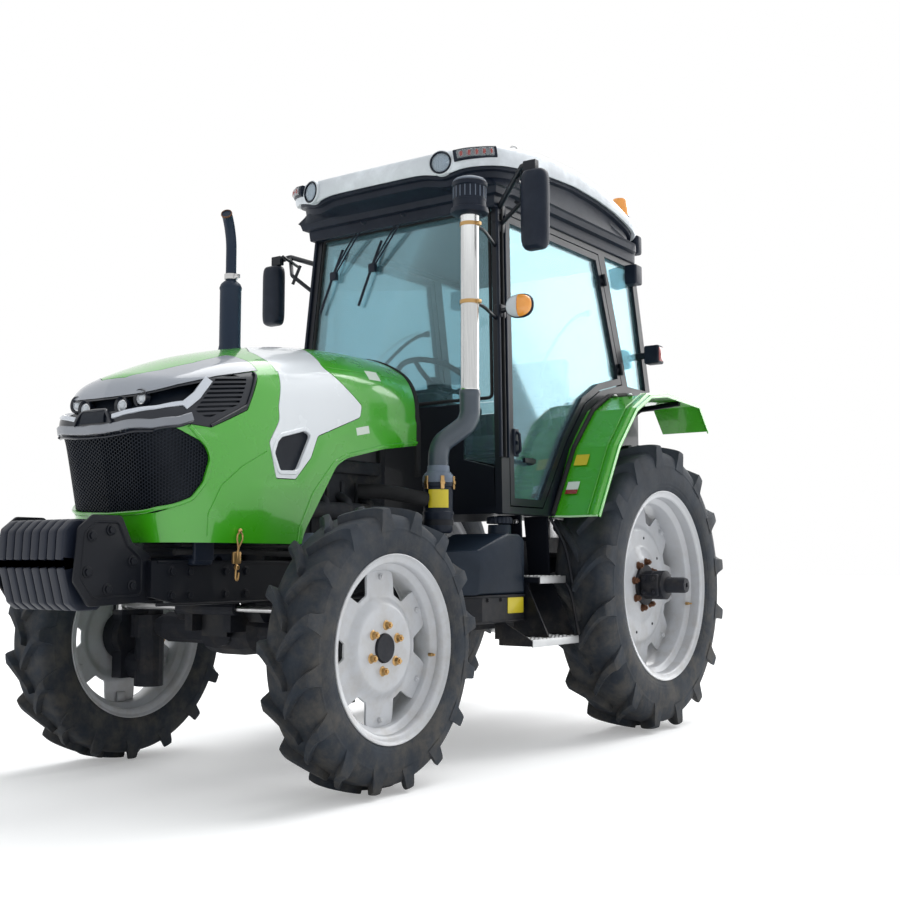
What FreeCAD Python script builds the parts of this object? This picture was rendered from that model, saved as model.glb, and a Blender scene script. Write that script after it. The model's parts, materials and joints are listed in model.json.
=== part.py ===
# A farm tractor with a closed cab, four driven wheels and a rear three-point linkage.
# Lengths are millimetres. X is the tractor's left, Y runs to the rear, Z is up.
# Places are measured from the ground under the front axle; the export moves the
# origin to the middle of the whole length.
import FreeCAD, Part
import os
from math import pi, sin, cos, tan, atan2, degrees, radians

V = FreeCAD.Vector
X_AXIS, Y_AXIS, Z_AXIS = V(1, 0, 0), V(0, 1, 0), V(0, 0, 1)
O = V(0, 0, 0)

# Driving dimensions: wheels
WHEELBASE = 2040.0
FRONT_TYRE_R, FRONT_TYRE_W = 497.5, 212.0
FRONT_SIDEWALL = 168.5    # from the rim's flange to the tread's outside
FRONT_TRACK = 1322.0      # between tyre centres
REAR_TYRE_R, REAR_TYRE_W = 685.0, 295.0
REAR_SIDEWALL = 231.0
REAR_TRACK = 1408.0
FRONT_LUG_H, REAR_LUG_H = 28.0, 34.0
LUGS = 16                 # on each side of a tyre's tread
WHEEL_SIDES = 20          # tyres and rims are many-sided rings, to keep the file light
RIM_WALL, DISC_PLATE = 8.0, 9.0

# Clearances
RUN_GAP = 0.3             # between a turning piece and its seat
PIN_GAP = 0.05            # round a pin in its bore
MOVE_GAP = 6.0            # between moving pieces that never meet

# Chassis: heights are above the front axle's beam or beside the rear axle
BEAM_RISE = 42.5          # of the front axle's beam above the wheels' centre
FRAME_RISE, FRAME_H = 112.0, 148.0    # side plates above the beam, and their depth
FRAME_X, FRAME_PLATE = 205.0, 22.0    # inside of the side plates, and their thickness
FRAME_AHEAD = 640.0       # ahead of the front axle
ENGINE_HALF_W, ENGINE_H, ENGINE_AHEAD = 185.0, 538.0, 60.0
GEARBOX_HALF_W, GEARBOX_BELOW, GEARBOX_ABOVE = 170.0, 205.0, 215.0

# Bonnet
BONNET_WALL = 6.0
BONNET_HALF_W = 335.0
BONNET_RISE = 62.0        # of its lower edge above the frame
NOSE_AHEAD = 694.0        # ahead of the front axle
BONNET_CAB_GAP = 245.0    # from the bonnet's rear edge to the cab's front posts

# Cab
CAB_AHEAD = 1105.0        # front posts ahead of the rear axle
CAB_FLOOR_RISE = 100.0    # above the gearbox
CAB_HALF_W = 600.0        # outside of a side frame at floor height
CAB_LEAN = 3.3            # degrees that the sides lean in
SIDE_T = 34.0             # thickness of a side frame and of a door
CAB_H = 1420.0            # from floor to roof
FLOOR_T = 28.0
DOOR_GAP, DOOR_RAIL, GLASS_T = 6.0, 32.0, 5.0
SEAT_AHEAD = 140.0        # middle of the seat ahead of the rear axle

# Places that follow
rear_y = WHEELBASE
front_rim_r = FRONT_TYRE_R - FRONT_SIDEWALL
rear_rim_r = REAR_TYRE_R - REAR_SIDEWALL
beam_z = FRONT_TYRE_R + BEAM_RISE
frame_z0 = beam_z + FRAME_RISE
frame_z1 = frame_z0 + FRAME_H
gear_z0, gear_z1 = REAR_TYRE_R - GEARBOX_BELOW, REAR_TYRE_R + GEARBOX_ABOVE
floor_z = gear_z1 + CAB_FLOOR_RISE
floor_top = floor_z + FLOOR_T
cab_y = rear_y - CAB_AHEAD
cab_top = floor_z + CAB_H
bonnet_y1 = cab_y - BONNET_CAB_GAP
bonnet_z0 = frame_z1 + BONNET_RISE
engine_y1 = bonnet_y1 - 50
engine_z0 = frame_z0 + 20
engine_z1 = engine_z0 + ENGINE_H


def box(x0, x1, y0, y1, z0, z1):
    x0, x1 = min(x0, x1), max(x0, x1)
    return Part.makeBox(x1 - x0, y1 - y0, z1 - z0, V(x0, y0, z0))


def rod(p0, p1, r):
    """A round bar from one point to another."""
    p0, p1 = V(*p0), V(*p1)
    return Part.makeCylinder(r, (p1 - p0).Length, p0, p1 - p0)


def polygon(points):
    return Part.makePolygon([V(*p) for p in points] + [V(*points[0])])


def plate_x(outline, x0, x1):
    """A flat plate across the tractor: outline in Y and Z, from x0 to x1."""
    face = Part.Face(polygon([(x0, y, z) for y, z in outline]))
    return face.extrude(V(x1 - x0, 0, 0))


def plate_y(outline, y0, y1):
    face = Part.Face(polygon([(x, y0, z) for x, z in outline]))
    return face.extrude(V(0, y1 - y0, 0))


def plate_z(outline, z0, z1):
    face = Part.Face(polygon([(x, y, z0) for x, y in outline]))
    return face.extrude(V(0, 0, z1 - z0))


def mirrored(shape):
    """The same piece on the tractor's right."""
    return shape.mirror(O, X_AXIS)


def pair(shape):
    return Part.makeCompound([shape, mirrored(shape)])


def flat_faces(a, b, c, d):
    """One face through four corners, or two triangles where they do not lie flat."""
    normal = (b - a).cross(c - a)
    if normal.Length > 1e-6 and abs(normal.normalize().dot(d - a)) < 1e-4:
        return [Part.Face(Part.makePolygon([a, b, c, d, a]))]
    faces = []
    for loop in ((a, b, c), (a, c, d)):
        if (loop[1] - loop[0]).cross(loop[2] - loop[0]).Length > 1e-6:
            faces.append(Part.Face(Part.makePolygon(list(loop) + [loop[0]])))
    return faces


def skinned(loops, closed=False):
    """A solid over loops of equally many points; closed joins the last loop to the first."""
    faces, count = [], len(loops[0])
    for here, there in zip(loops, loops[1:] + (loops[:1] if closed else [])):
        for j in range(count):
            k = (j + 1) % count
            faces += flat_faces(here[j], here[k], there[k], there[j])
    if not closed:
        faces += [Part.Face(Part.makePolygon(loop + loop[:1])) for loop in (loops[0], loops[-1])]
    solid = Part.Solid(Part.Shell(faces))
    if solid.Volume < 0:
        solid.reverse()
    return solid


def bent(points, r, sides=10):
    """A many-sided bar along straight runs, mitred where they meet."""
    points = [V(*p) for p in points]
    runs = [(b - a).normalize() for a, b in zip(points, points[1:])]
    side = runs[0].cross(Z_AXIS if abs(runs[0].z) < 0.9 else X_AXIS).normalize()
    ring_points = []
    for i in range(sides):
        a = 2 * pi * (i + 0.5) / sides
        ring_points.append(points[0] + side * (r * cos(a)) + runs[0].cross(side) * (r * sin(a)))
    loops = [ring_points]
    for i in range(1, len(points)):
        run = runs[i - 1]
        square = run if i == len(runs) else (run + runs[i]).normalize()
        loops.append([p + run * ((points[i] - p).dot(square) / run.dot(square)) for p in loops[-1]])
    return skinned(loops)


def bar(p0, p1, r, sides=10):
    """A many-sided straight bar."""
    return bent([p0, p1], r, sides)


def ring(profile, sides, centre):
    """A many-sided ring about the X axis: profile of (x, radius) points."""
    cx, cy, cz = centre
    loops = []
    for i in range(sides):
        a = 2 * pi * (i + 0.5) / sides
        loops.append([V(cx + x, cy + r * sin(a), cz - r * cos(a)) for x, r in profile])
    return skinned(loops, True)


def turned(profile, sides, centre):
    """A many-sided turned piece about the X axis: (x, radius) from one end to the other."""
    cx, cy, cz = centre
    loops = []
    for x, r in profile:
        loops.append([V(cx + x, cy + r * sin(2 * pi * (i + 0.5) / sides),
                        cz - r * cos(2 * pi * (i + 0.5) / sides)) for i in range(sides)])
    return skinned(loops)


out = {}

# Tyres: slanting bars meet the middle of the tread in turn from each side
front_bead_r, rear_bead_r = front_rim_r - 24, rear_rim_r - 25
LUG_SLANT = -13.5         # degrees of wheel turn to a bar's outer end: a V seen from the front


def lug(stations, turn, side, centre):
    """One tread bar: stations of (x, angle, half width, foot radius, top radius)."""
    cx, cy, cz = centre
    loops = []
    for x, angle, half, foot, top in stations:
        a = turn + radians(angle)
        corners = [(foot, a - half / foot), (foot, a + half / foot),
                   (top, a + half * 0.78 / top), (top, a - half * 0.78 / top)]
        loops.append([V(cx + side * x, cy + r * sin(t), cz - r * cos(t)) for r, t in corners])
    return skinned(loops)


def tyre(radius, width, lug_h, bead_r, flange_r, centre):
    w, crown = width / 2, radius - lug_h
    bead = w * 0.84
    wall_r = flange_r + (crown - flange_r) * 0.55
    half = [(bead, bead_r), (bead, flange_r), (w * 0.99, wall_r), (w * 0.86, crown)]
    body = ring(half + [(-x, r) for x, r in reversed(half)], WHEEL_SIDES, centre)
    stations = [  # x, angle in degrees, half width, foot radius, top radius
        (-w * 0.10, 0.0, lug_h * 0.60, crown - lug_h, radius - 1),
        (w * 0.99, LUG_SLANT, lug_h * 0.78, crown - lug_h * 2.2, radius - lug_h * 0.2)]
    bars = []
    for i in range(LUGS):
        bars.append(lug(stations, 2 * pi * i / LUGS, 1, centre))
        bars.append(lug(stations, 2 * pi * (i + 0.5) / LUGS, -1, centre))
    return body.fuse(bars)


front_c = (FRONT_TRACK / 2, 0.0, FRONT_TYRE_R)
rear_c = (REAR_TRACK / 2, rear_y, REAR_TYRE_R)
front_tyre = tyre(FRONT_TYRE_R, FRONT_TYRE_W, FRONT_LUG_H, front_bead_r, front_rim_r, front_c)
rear_tyre = tyre(REAR_TYRE_R, REAR_TYRE_W, REAR_LUG_H, rear_bead_r, rear_rim_r, rear_c)
out["front_tyre_left"], out["front_tyre_right"] = front_tyre, mirrored(front_tyre)
out["rear_tyre_left"], out["rear_tyre_right"] = rear_tyre, mirrored(rear_tyre)

# Rims: two flanges, two bead seats and the well, round a dished disc with lobes
front_well_r, rear_well_r = front_bead_r - 26, rear_bead_r - 30
FRONT_WAIST, REAR_WAIST = 0.735, 0.752       # of a disc between its lobes, as a share of the well
FRONT_FACE_X, REAR_FACE_X = 18.0, -22.0      # face of the disc, from the tyre's centre
FRONT_HUB_R, REAR_HUB_R = 52.0, 69.0
FRONT_FLANGE_R, REAR_FLANGE_R = 100.0, 150.0 # flange behind the disc
FRONT_HUB_T, REAR_HUB_T = 34.0, 30.0         # and its thickness
SHAFT_R = 37.0
SHAFT_OUT = 246.0         # of the rear shaft's end past the tyre's centre
TRUMPET_INSET = 144.0     # of the axle housing's end from the tyre's centre


def rim(radius, bead_r, width, well_r, centre):
    bead = width / 2 * 0.84
    outer = [(bead + RIM_WALL, radius), (bead, radius), (bead, bead_r), (bead * 0.46, well_r)]
    inner = [(bead * 0.46 - 4, well_r - RIM_WALL), (bead + RIM_WALL, bead_r - RIM_WALL)]
    profile = outer + [(-x, r) for x, r in reversed(outer)]
    profile += [(-x, r) for x, r in reversed(inner)] + inner
    return ring(profile, WHEEL_SIDES, centre)


def disc(well_r, waist_share, lobes, dish, face_x, centre):
    """A pressed disc: lobes that reach the well, and a dished middle."""
    cx, cy, cz = centre
    reach = (well_r - 4) * cos(pi / WHEEL_SIDES)
    waist = well_r * waist_share
    star = []
    for i in range(lobes):
        for share, r in ((-0.17, reach), (0.17, reach), (0.42, waist), (0.58, waist)):
            a = 2 * pi * (i + share) / lobes
            star.append((cy + r * sin(a), cz + r * cos(a)))
    plate = plate_x(star, cx + face_x - DISC_PLATE, cx + face_x)
    middle = turned([(face_x - DISC_PLATE / 2, waist * 0.9), (face_x, waist * 0.9),
                     (face_x + dish, waist * 0.68)], 12, centre)
    return plate.fuse(middle)


def holed(shape, r, centre):
    """The piece with a round hole along its axle."""
    cx, cy, cz = centre
    return shape.cut(rod((cx - 200, cy, cz), (cx + 300, cy, cz), r))


front_rim = rim(front_rim_r, front_bead_r, FRONT_TYRE_W, front_well_r, front_c)
front_rim = front_rim.fuse(disc(front_well_r, FRONT_WAIST, 6, 24.0, FRONT_FACE_X, front_c))
hub_x = front_c[0] + FRONT_FACE_X - DISC_PLATE
front_hub = bar((hub_x - FRONT_HUB_T, 0, FRONT_TYRE_R), (hub_x, 0, FRONT_TYRE_R),
                FRONT_FLANGE_R, 16).fuse(
    rod((hub_x, 0, FRONT_TYRE_R), (hub_x + 58, 0, FRONT_TYRE_R), FRONT_HUB_R))
front_wheel = front_rim.fuse(front_hub)
out["front_rim_left"], out["front_rim_right"] = front_wheel, mirrored(front_wheel)

rear_rim = rim(rear_rim_r, rear_bead_r, REAR_TYRE_W, rear_well_r, rear_c)
rear_rim = holed(rear_rim.fuse(disc(rear_well_r, REAR_WAIST, 8, 30.0, REAR_FACE_X, rear_c)),
                 REAR_HUB_R, rear_c)
rear_face = rear_c[0] + REAR_FACE_X - DISC_PLATE
trumpet_x = rear_c[0] - TRUMPET_INSET
rear_hub = bar((rear_face - REAR_HUB_T, rear_y, REAR_TYRE_R), (rear_face, rear_y, REAR_TYRE_R),
               REAR_FLANGE_R, 16)
rear_hub = rear_hub.fuse([
    rod((rear_face, rear_y, REAR_TYRE_R), (rear_face + 130, rear_y, REAR_TYRE_R), REAR_HUB_R),
    bar((trumpet_x + RUN_GAP, rear_y, REAR_TYRE_R), (rear_c[0] + SHAFT_OUT, rear_y, REAR_TYRE_R),
        SHAFT_R, 12)])
out["rear_rim_left"], out["rear_rim_right"] = rear_rim, mirrored(rear_rim)
out["rear_hub_left"], out["rear_hub_right"] = rear_hub, mirrored(rear_hub)

# Front axle: a beam with a middle housing, swung on a pin under the frame
KINGPIN_INSET = 161.0     # from the tyre's centre
KINGPIN_R = 52.0
EYE_HALF = 45.0           # half height of the beam's eye round the king pin
BEAM_R = 60.0
pin_x = FRONT_TRACK / 2 - KINGPIN_INSET
eye_r = KINGPIN_R + 22
half_beam = [(0, 92), (60, 96), (120, 88), (150, BEAM_R), (pin_x - 130, BEAM_R),
             (pin_x - 70, EYE_HALF - 4), (pin_x, EYE_HALF - 4)]
beam = turned([(-x, r) for x, r in reversed(half_beam)][:-1] + half_beam[1:], 12, (0, 0, beam_z))
hanger_z = beam_z - 20
swing = bar((0, -100, beam_z), (0, 170, beam_z), 58, 14)
axle = beam.fuse([swing, bar((0, 170, beam_z), (0, engine_y1, beam_z), 24)])
for s in (1, -1):
    axle = axle.fuse(bar((s * pin_x, 0, beam_z - EYE_HALF), (s * pin_x, 0, beam_z + EYE_HALF),
                         eye_r, 16))

# Knuckle: king pin above and below the beam's eye, arm, final drive and bearing housing
ARM_REACH = 165.0         # from the king pin forward to the steering rod's eye
ARM_T = 18.0
DROP = 240.0              # of the knuckle's foot below the beam
eye_top, eye_low = beam_z + EYE_HALF, beam_z - EYE_HALF
arm_z0 = eye_top + MOVE_GAP
arm_z1 = arm_z0 + ARM_T
back_x = pin_x + eye_r + MOVE_GAP
housing_x = hub_x - FRONT_HUB_T - RUN_GAP
knuckle = rod((pin_x, 0, eye_top + RUN_GAP), (pin_x, 0, arm_z1 + 40), KINGPIN_R)
knuckle = knuckle.fuse([
    bar((pin_x, 0, beam_z - DROP), (pin_x, 0, eye_low - RUN_GAP), KINGPIN_R + 6, 14),
    bar((pin_x, 0, beam_z - 155), (back_x + 8, 0, beam_z - 155), 60, 12),
    box(back_x, housing_x, -75, 75, beam_z - 210, arm_z1 + 30),
    bar((back_x, 0, FRONT_TYRE_R), (housing_x, 0, FRONT_TYRE_R), 98, 16),
    box(pin_x - 20, back_x + 2, -40, 40, arm_z0 + 4, arm_z1 + 30),
    plate_z([(pin_x - 30, 0), (pin_x + 30, 0), (pin_x + 8, -ARM_REACH - 20),
             (pin_x - 50, -ARM_REACH - 20)], arm_z0, arm_z1)])
out["knuckle_left"], out["knuckle_right"] = knuckle, mirrored(knuckle)

# Steering cylinder: its body on the axle, its rod from arm to arm
CYL_HALF, CYL_R, ROD_R = 150.0, 24.0, 11.0
cyl_y, cyl_z = -ARM_REACH, arm_z1 + 17
cylinder = bar((-CYL_HALF, cyl_y, cyl_z), (CYL_HALF, cyl_y, cyl_z), CYL_R, 12)
cylinder = cylinder.fuse([box(s * 80, s * 120, cyl_y, -20, beam_z, cyl_z) for s in (1, -1)])
cylinder = cylinder.cut(rod((-CYL_HALF, cyl_y, cyl_z), (CYL_HALF, cyl_y, cyl_z), ROD_R + PIN_GAP))
out["front_axle"] = axle.fuse(cylinder)
rod_half = pin_x - 50
steer_rod = rod((-rod_half, cyl_y, cyl_z), (rod_half, cyl_y, cyl_z), ROD_R)
for s in (1, -1):
    eye_x = s * (pin_x - 20)
    steer_rod = steer_rod.fuse([
        bar((eye_x, cyl_y, arm_z1 + RUN_GAP), (eye_x, cyl_y, cyl_z + 16), 20),
        bar((eye_x - s * 40, cyl_y, cyl_z), (eye_x, cyl_y, cyl_z), 14, 8)])
out["steering_rod"] = steer_rod

# Front frame: side plates, cross plates and the axle's hangers
frame_y0 = -FRAME_AHEAD
fx0, fx1 = FRAME_X, FRAME_X + FRAME_PLATE
side_plate = plate_x([(frame_y0, frame_z0 + 30), (frame_y0, frame_z1), (300, frame_z1),
                      (engine_y1 - 80, frame_z1 - 30), (engine_y1 - 80, frame_z0 + 50),
                      (200, frame_z0), (-500, frame_z0)], fx0, fx1)
frame = side_plate.fuse([
    mirrored(side_plate),
    box(-fx0, fx0, frame_y0, frame_y0 + 30, frame_z0 + 30, frame_z1),
    box(-fx0, fx0, -130, -95, frame_z0, frame_z0 + 18),
    box(-fx0, fx0, 110, 172, frame_z0, frame_z0 + 18),
    box(-66, 66, -130, -102, hanger_z, frame_z0), box(-66, 66, 110, 140, hanger_z, frame_z0)])
out["front_frame"] = frame.cut(axle)

# Weight carrier and front weights
WEIGHT_COUNT, WEIGHT_PITCH, WEIGHT_T = 8, 42.0, 38.0
WEIGHT_DEPTH = 190.0      # front to back
CARRIER_X, CARRIER_T, CARRIER_L = 190.0, 35.0, 120.0
hang_y = frame_y0 - CARRIER_L           # back of the weights
weight_y0 = hang_y - WEIGHT_DEPTH
cz = frame_z0             # the carrier's heights follow the frame
carrier_side = plate_x([(hang_y - 30, cz - 12), (hang_y - 30, cz + 198), (hang_y - 10, cz + 253),
                        (hang_y + 45, cz + 253), (hang_y + 65, cz + 198), (frame_y0, cz + 198),
                        (frame_y0, cz - 12)], CARRIER_X, CARRIER_X + CARRIER_T)
weight_outline = [(weight_y0, cz + 168), (weight_y0 + 18, cz + 228), (weight_y0 + 70, cz + 273),
                  (weight_y0 + 130, cz + 283), (hang_y, cz + 283), (hang_y, cz - 12),
                  (weight_y0 + 95, cz - 12), (weight_y0 + 20, cz + 103), (weight_y0 + 50, cz + 138),
                  (weight_y0, cz + 138)]
weights = [carrier_side, mirrored(carrier_side)]
for i in range(WEIGHT_COUNT):
    x = (i - (WEIGHT_COUNT - 1) / 2) * WEIGHT_PITCH
    weights.append(plate_x(weight_outline, x - WEIGHT_T / 2, x + WEIGHT_T / 2))
beam_plate = box(-CARRIER_X, CARRIER_X, hang_y, frame_y0, cz + 38, cz + 138)
out["front_weights"] = beam_plate.fuse(weights)

# Engine block, radiator, gearbox with the bonnet's hinge posts, rear axle housing
out["engine_block"] = box(-ENGINE_HALF_W, ENGINE_HALF_W, -ENGINE_AHEAD, engine_y1, engine_z0,
                          engine_z1)
RADIATOR_Y, RADIATOR_T, RADIATOR_H = -470.0, 80.0, 530.0
out["radiator"] = box(-250, 250, RADIATOR_Y, RADIATOR_Y + RADIATOR_T, frame_z1,
                      frame_z1 + RADIATOR_H)
housing_y0 = rear_y - 160
gear_front_z0 = min(gear_z0 + 60, beam_z - 30)
gear_front_z1 = max(gear_z1 + 30, engine_z0 + 60)
gearbox = plate_x([(engine_y1, gear_front_z0), (engine_y1, gear_front_z1), (cab_y - 35, gear_z1),
                   (housing_y0, gear_z1), (housing_y0, gear_z0), (cab_y + 65, gear_z0)],
                  -GEARBOX_HALF_W, GEARBOX_HALF_W)

HINGE_POST_X, HINGE_PIN_R = 175.0, 9.0
hinge_y, hinge_z = bonnet_y1 - 22, bonnet_z0 + 693
bonnet_pin = rod((-200, hinge_y, hinge_z), (200, hinge_y, hinge_z), HINGE_PIN_R)
post = box(HINGE_POST_X - 25, HINGE_POST_X - 4, hinge_y - 22, hinge_y + 12, gear_z1, hinge_z + 20)
out["gearbox"] = gearbox.fuse([post, mirrored(post), bonnet_pin])
housing = plate_x([(housing_y0, gear_z0), (housing_y0, gear_z1 + 20), (rear_y + 110, gear_z1 + 20),
                   (rear_y + 150, gear_z1 - 50), (rear_y + 260, gear_z1 - 60),
                   (rear_y + 260, gear_z0 + 40), (rear_y + 160, gear_z0)], -185, 185)
trumpet = [(0, 130), (185, 160), (330, 160), (352, 78), (trumpet_x - 30, 72), (trumpet_x - 30, 96),
           (trumpet_x, 96)]
housing = housing.fuse(turned([(-x, r) for x, r in reversed(trumpet)][:-1] + trumpet, 16,
                              (0, rear_y, REAR_TYRE_R)))


# Bonnet: a long skin over the engine, rounded in plan at the nose
NOSE_FLAT, NOSE_R = 130.0, 190.0      # half width of the nose's flat, and its corner's size
ARC_STEPS = 4


def arc_points(p, q, r, steps):
    """Points from p over q to r along a parabola that leaves along p-q and ends along q-r."""
    return [p * (1 - t) ** 2 + q * (2 * t * (1 - t)) + r * t ** 2
            for t in [i / steps for i in range(1, steps)]]


def bonnet_section(y, half, shoulder, crown, low):
    """Half round of the skin at one place along it, mirrored to the other side."""
    side = [V(half, y, low), V(half, y, shoulder - 70)]
    side += arc_points(V(half, y, shoulder - 70), V(half, y, shoulder), V(half - 75, y, shoulder + 26), 3)
    side += [V(half - 75, y, shoulder + 26)]
    side += arc_points(V(half - 75, y, shoulder + 26), V(half * 0.42, y, crown), V(0, y, crown), 3)
    return side + [V(0, y, crown)] + [V(-p.x, p.y, p.z) for p in reversed(side)]


def bonnet_volume(inset):
    """The bonnet's closed outer form, or the same form drawn in by a wall."""
    n, z0 = inset, bonnet_z0
    low = z0 - 10 * n
    rear = [  # ahead of the rear edge, half width, shoulder and crown above the lower edge
        (630, 335, 673, 776), (270, 335, 698, 810), (-60, 330, 698, 812)]
    stations = [(-NOSE_AHEAD - 50, 300, 428, 508), (-600, 320, 516, 588), (-330, 333, 614, 690)]
    stations += [(bonnet_y1 - ahead, half, shoulder, crown) for ahead, half, shoulder, crown in rear]
    body = skinned([bonnet_section(y, BONNET_HALF_W - 335 + half - n, z0 + shoulder - n,
                                   z0 + crown - n, low)
                    for y, half, shoulder, crown in stations])
    plans = []
    tips = [  # height above the lower edge, how far the nose falls back there
        (-100, 104), (95, 60), (345, 4), (375, -16), (432, -18), (512, 30), (900, 130)]
    for height, back in tips:
        z, y0, w = z0 + height, -NOSE_AHEAD + back + n, BONNET_HALF_W + 4 - n
        corner = V(w - 35, y0 + 12, z)
        side = [V(w, bonnet_y1 + 200, z), V(w, y0 + NOSE_R + 90, z)]
        side += arc_points(side[1], corner, V(NOSE_FLAT, y0 + 8, z), ARC_STEPS)
        side += [V(NOSE_FLAT, y0 + 8, z), V(0, y0, z)]
        plans.append(side + [V(-p.x, p.y, p.z) for p in reversed(side[:-1])])
    return body.common(skinned(plans))


WIDE = 500.0              # past either side of the bonnet
VENT_T, BAND_T = 16.0, 30.0
LAMP_R, LAMP_COUNT, LAMP_PITCH = 30.0, 3, 88.0
SLAT_COUNT, SLAT_PITCH = 8, 15.0
GRILLE_SLOTS, GRILLE_PITCH = 8, 26.0


def side_region(outline):
    """A prism across the bonnet: outline of Y and height above the bonnet's lower edge."""
    return plate_x([(y, bonnet_z0 + z) for y, z in outline], -WIDE, WIDE)


bonnet_outer = bonnet_volume(0)
bonnet_inner = bonnet_volume(BONNET_WALL)
shell = bonnet_outer.cut(bonnet_inner)
arch = plate_x([(-40, bonnet_z0 - 200), (-40, bonnet_z0 - 1), (215, bonnet_z0 + 285),
                (bonnet_y1 + 60, bonnet_z0 + 438), (bonnet_y1 + 60, bonnet_z0 - 200)], -WIDE, WIDE)
shell = shell.cut(arch)

white_outline = [(-317, 672), (-172, 628), (-160, 448), (-207, 354), (-170, 238), (-70, 238),
                 (30, 401), (90, 440), (190, 463), (305, 495), (311, 541), (95, 659), (65, 678)]
hex_outline = [(-147, 377), (-18, 410), (10, 400), (-78, 268), (-150, 263), (-178, 328)]
slat_outline = [(-505, 402), (-470, 388), (-335, 440), (-285, 478), (-272, 590), (-300, 600),
                (-400, 555)]
band_outline = [(-760, 482), (-760, 373), (-505, 402), (-400, 555), (-300, 600), (-275, 598),
                (-335, 618), (-500, 560), (-640, 510)]
window_outline = [(-760, 455), (-760, 410), (-520, 432), (-440, 530), (-500, 534), (-640, 492)]
grille_outline = [(-760, 373), (-760, 98), (-640, 103), (-545, 148), (-478, 268), (-500, 338),
                  (-560, 373)]
outer_strip = box(-WIDE, -250, -400, 400, bonnet_z0 + 138, bonnet_z0 + 838).fuse(
    box(250, WIDE, -400, 400, bonnet_z0 + 138, bonnet_z0 + 838))
white_all = shell.common(side_region(white_outline)).common(outer_strip)
hexes = shell.common(side_region(hex_outline)).common(outer_strip)
band_solid = bonnet_outer.cut(bonnet_volume(BAND_T)).common(side_region(band_outline))
window_skin = bonnet_outer.cut(bonnet_volume(BAND_T - BONNET_WALL)).common(
    side_region(window_outline))
vent_solid = bonnet_outer.cut(bonnet_volume(VENT_T)).common(side_region(slat_outline))
grille_solid = shell.common(side_region(grille_outline))

# Louvres: slots through the side vents, and through the grille's mesh
slots = []
for i in range(SLAT_COUNT):
    z = 428 + i * SLAT_PITCH
    slots.append(side_region([(-468 + i * 10, z), (-300, z + 38), (-300, z + 45), (-468 + i * 10, z + 7)]))
vents = vent_solid.cut(slots)
slots = []
for i in range(GRILLE_SLOTS):
    z = 128 + i * GRILLE_PITCH
    slots.append(box(-260, 260, -WIDE - 400, -250, bonnet_z0 + z, bonnet_z0 + z + 9))
grille = grille_solid.cut(slots)

lamps_in_band = []
for s in (1, -1):
    for i in range(LAMP_COUNT):
        x = s * (60 + i * LAMP_PITCH)
        face_y = -NOSE_AHEAD + 24 + 42 * i ** 1.7
        lamps_in_band.append(bar((x, face_y, bonnet_z0 + 434 + 12 * i),
                                 (x, face_y + 70, bonnet_z0 + 434 + 12 * i), LAMP_R - 4 * i, 12))
band = band_solid.cut(window_skin).fuse([lamp.cut(bonnet_volume(BAND_T - 1))
                                         for lamp in lamps_in_band])

# Hinge ears under the bonnet's rear edge, on the pin between the posts
ear = box(HINGE_POST_X, HINGE_POST_X + 12, hinge_y - 20, hinge_y + 20, hinge_z - 20,
          bonnet_z0 + 900)
ear = ear.common(bonnet_volume(BONNET_WALL / 2)).cut(
    rod((-210, hinge_y, hinge_z), (210, hinge_y, hinge_z), HINGE_PIN_R + PIN_GAP))
green = shell.cut([side_region(white_outline).common(outer_strip),
                   side_region(band_outline), side_region(slat_outline), side_region(grille_outline)])
out["bonnet"] = green.fuse([ear, mirrored(ear)])
out["bonnet_side_panels"] = white_all.cut(side_region(hex_outline))
out["lamp_band"] = band
out["grille"] = Part.makeCompound(grille.Solids + vents.Solids + hexes.Solids)

# Exhaust: silencer and stack through the bonnet's top
EX_X, EX_Y, EX_BASE_R, SILENCER_R, STACK_R = -205.0, 130.0, 62.0, 44.0, 22.0
ex_z = bonnet_z0 + 806
exhaust = bar((EX_X, EX_Y, ex_z - 128), (EX_X, EX_Y, ex_z), EX_BASE_R, 16)
exhaust = exhaust.fuse([
    bar((EX_X, EX_Y, ex_z - 10), (EX_X, EX_Y, ex_z + 268), SILENCER_R, 16),
    bent([(EX_X, EX_Y, ex_z + 262), (EX_X, EX_Y, ex_z + 455), (EX_X + 8, EX_Y - 20, ex_z + 500),
          (EX_X + 34, EX_Y - 66, ex_z + 548)], STACK_R, 12)])
out["exhaust"] = exhaust.cut(bonnet_outer)


# Cab: side frames built flat, then leaned in
def leaned(shape):
    """Moves a piece drawn at x from 0 out to the cab's leaning left side."""
    shape = shape.translated(V(CAB_HALF_W - SIDE_T, 0, 0))
    return shape.rotated(V(CAB_HALF_W, 0, floor_z), Y_AXIS, -CAB_LEAN)


def half_width(z, inside=SIDE_T):
    """From the middle to the inner face of the cab's side at a height."""
    lean = radians(CAB_LEAN)
    return CAB_HALF_W - inside / cos(lean) - (z - floor_z) * tan(lean) - RUN_GAP


# The wheel arch: turns from straight ahead of the rear axle, and room over the tyre
ARCH = [(24.6, 72), (52.5, 117), (70.0, 195), (81.3, 235), (92.4, 250), (115.3, 332), (124.7, 282)]


def arch_point(turn, room):
    a = radians(turn)
    r = REAR_TYRE_R + room
    return (rear_y - r * cos(a), REAR_TYRE_R + r * sin(a))


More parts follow.
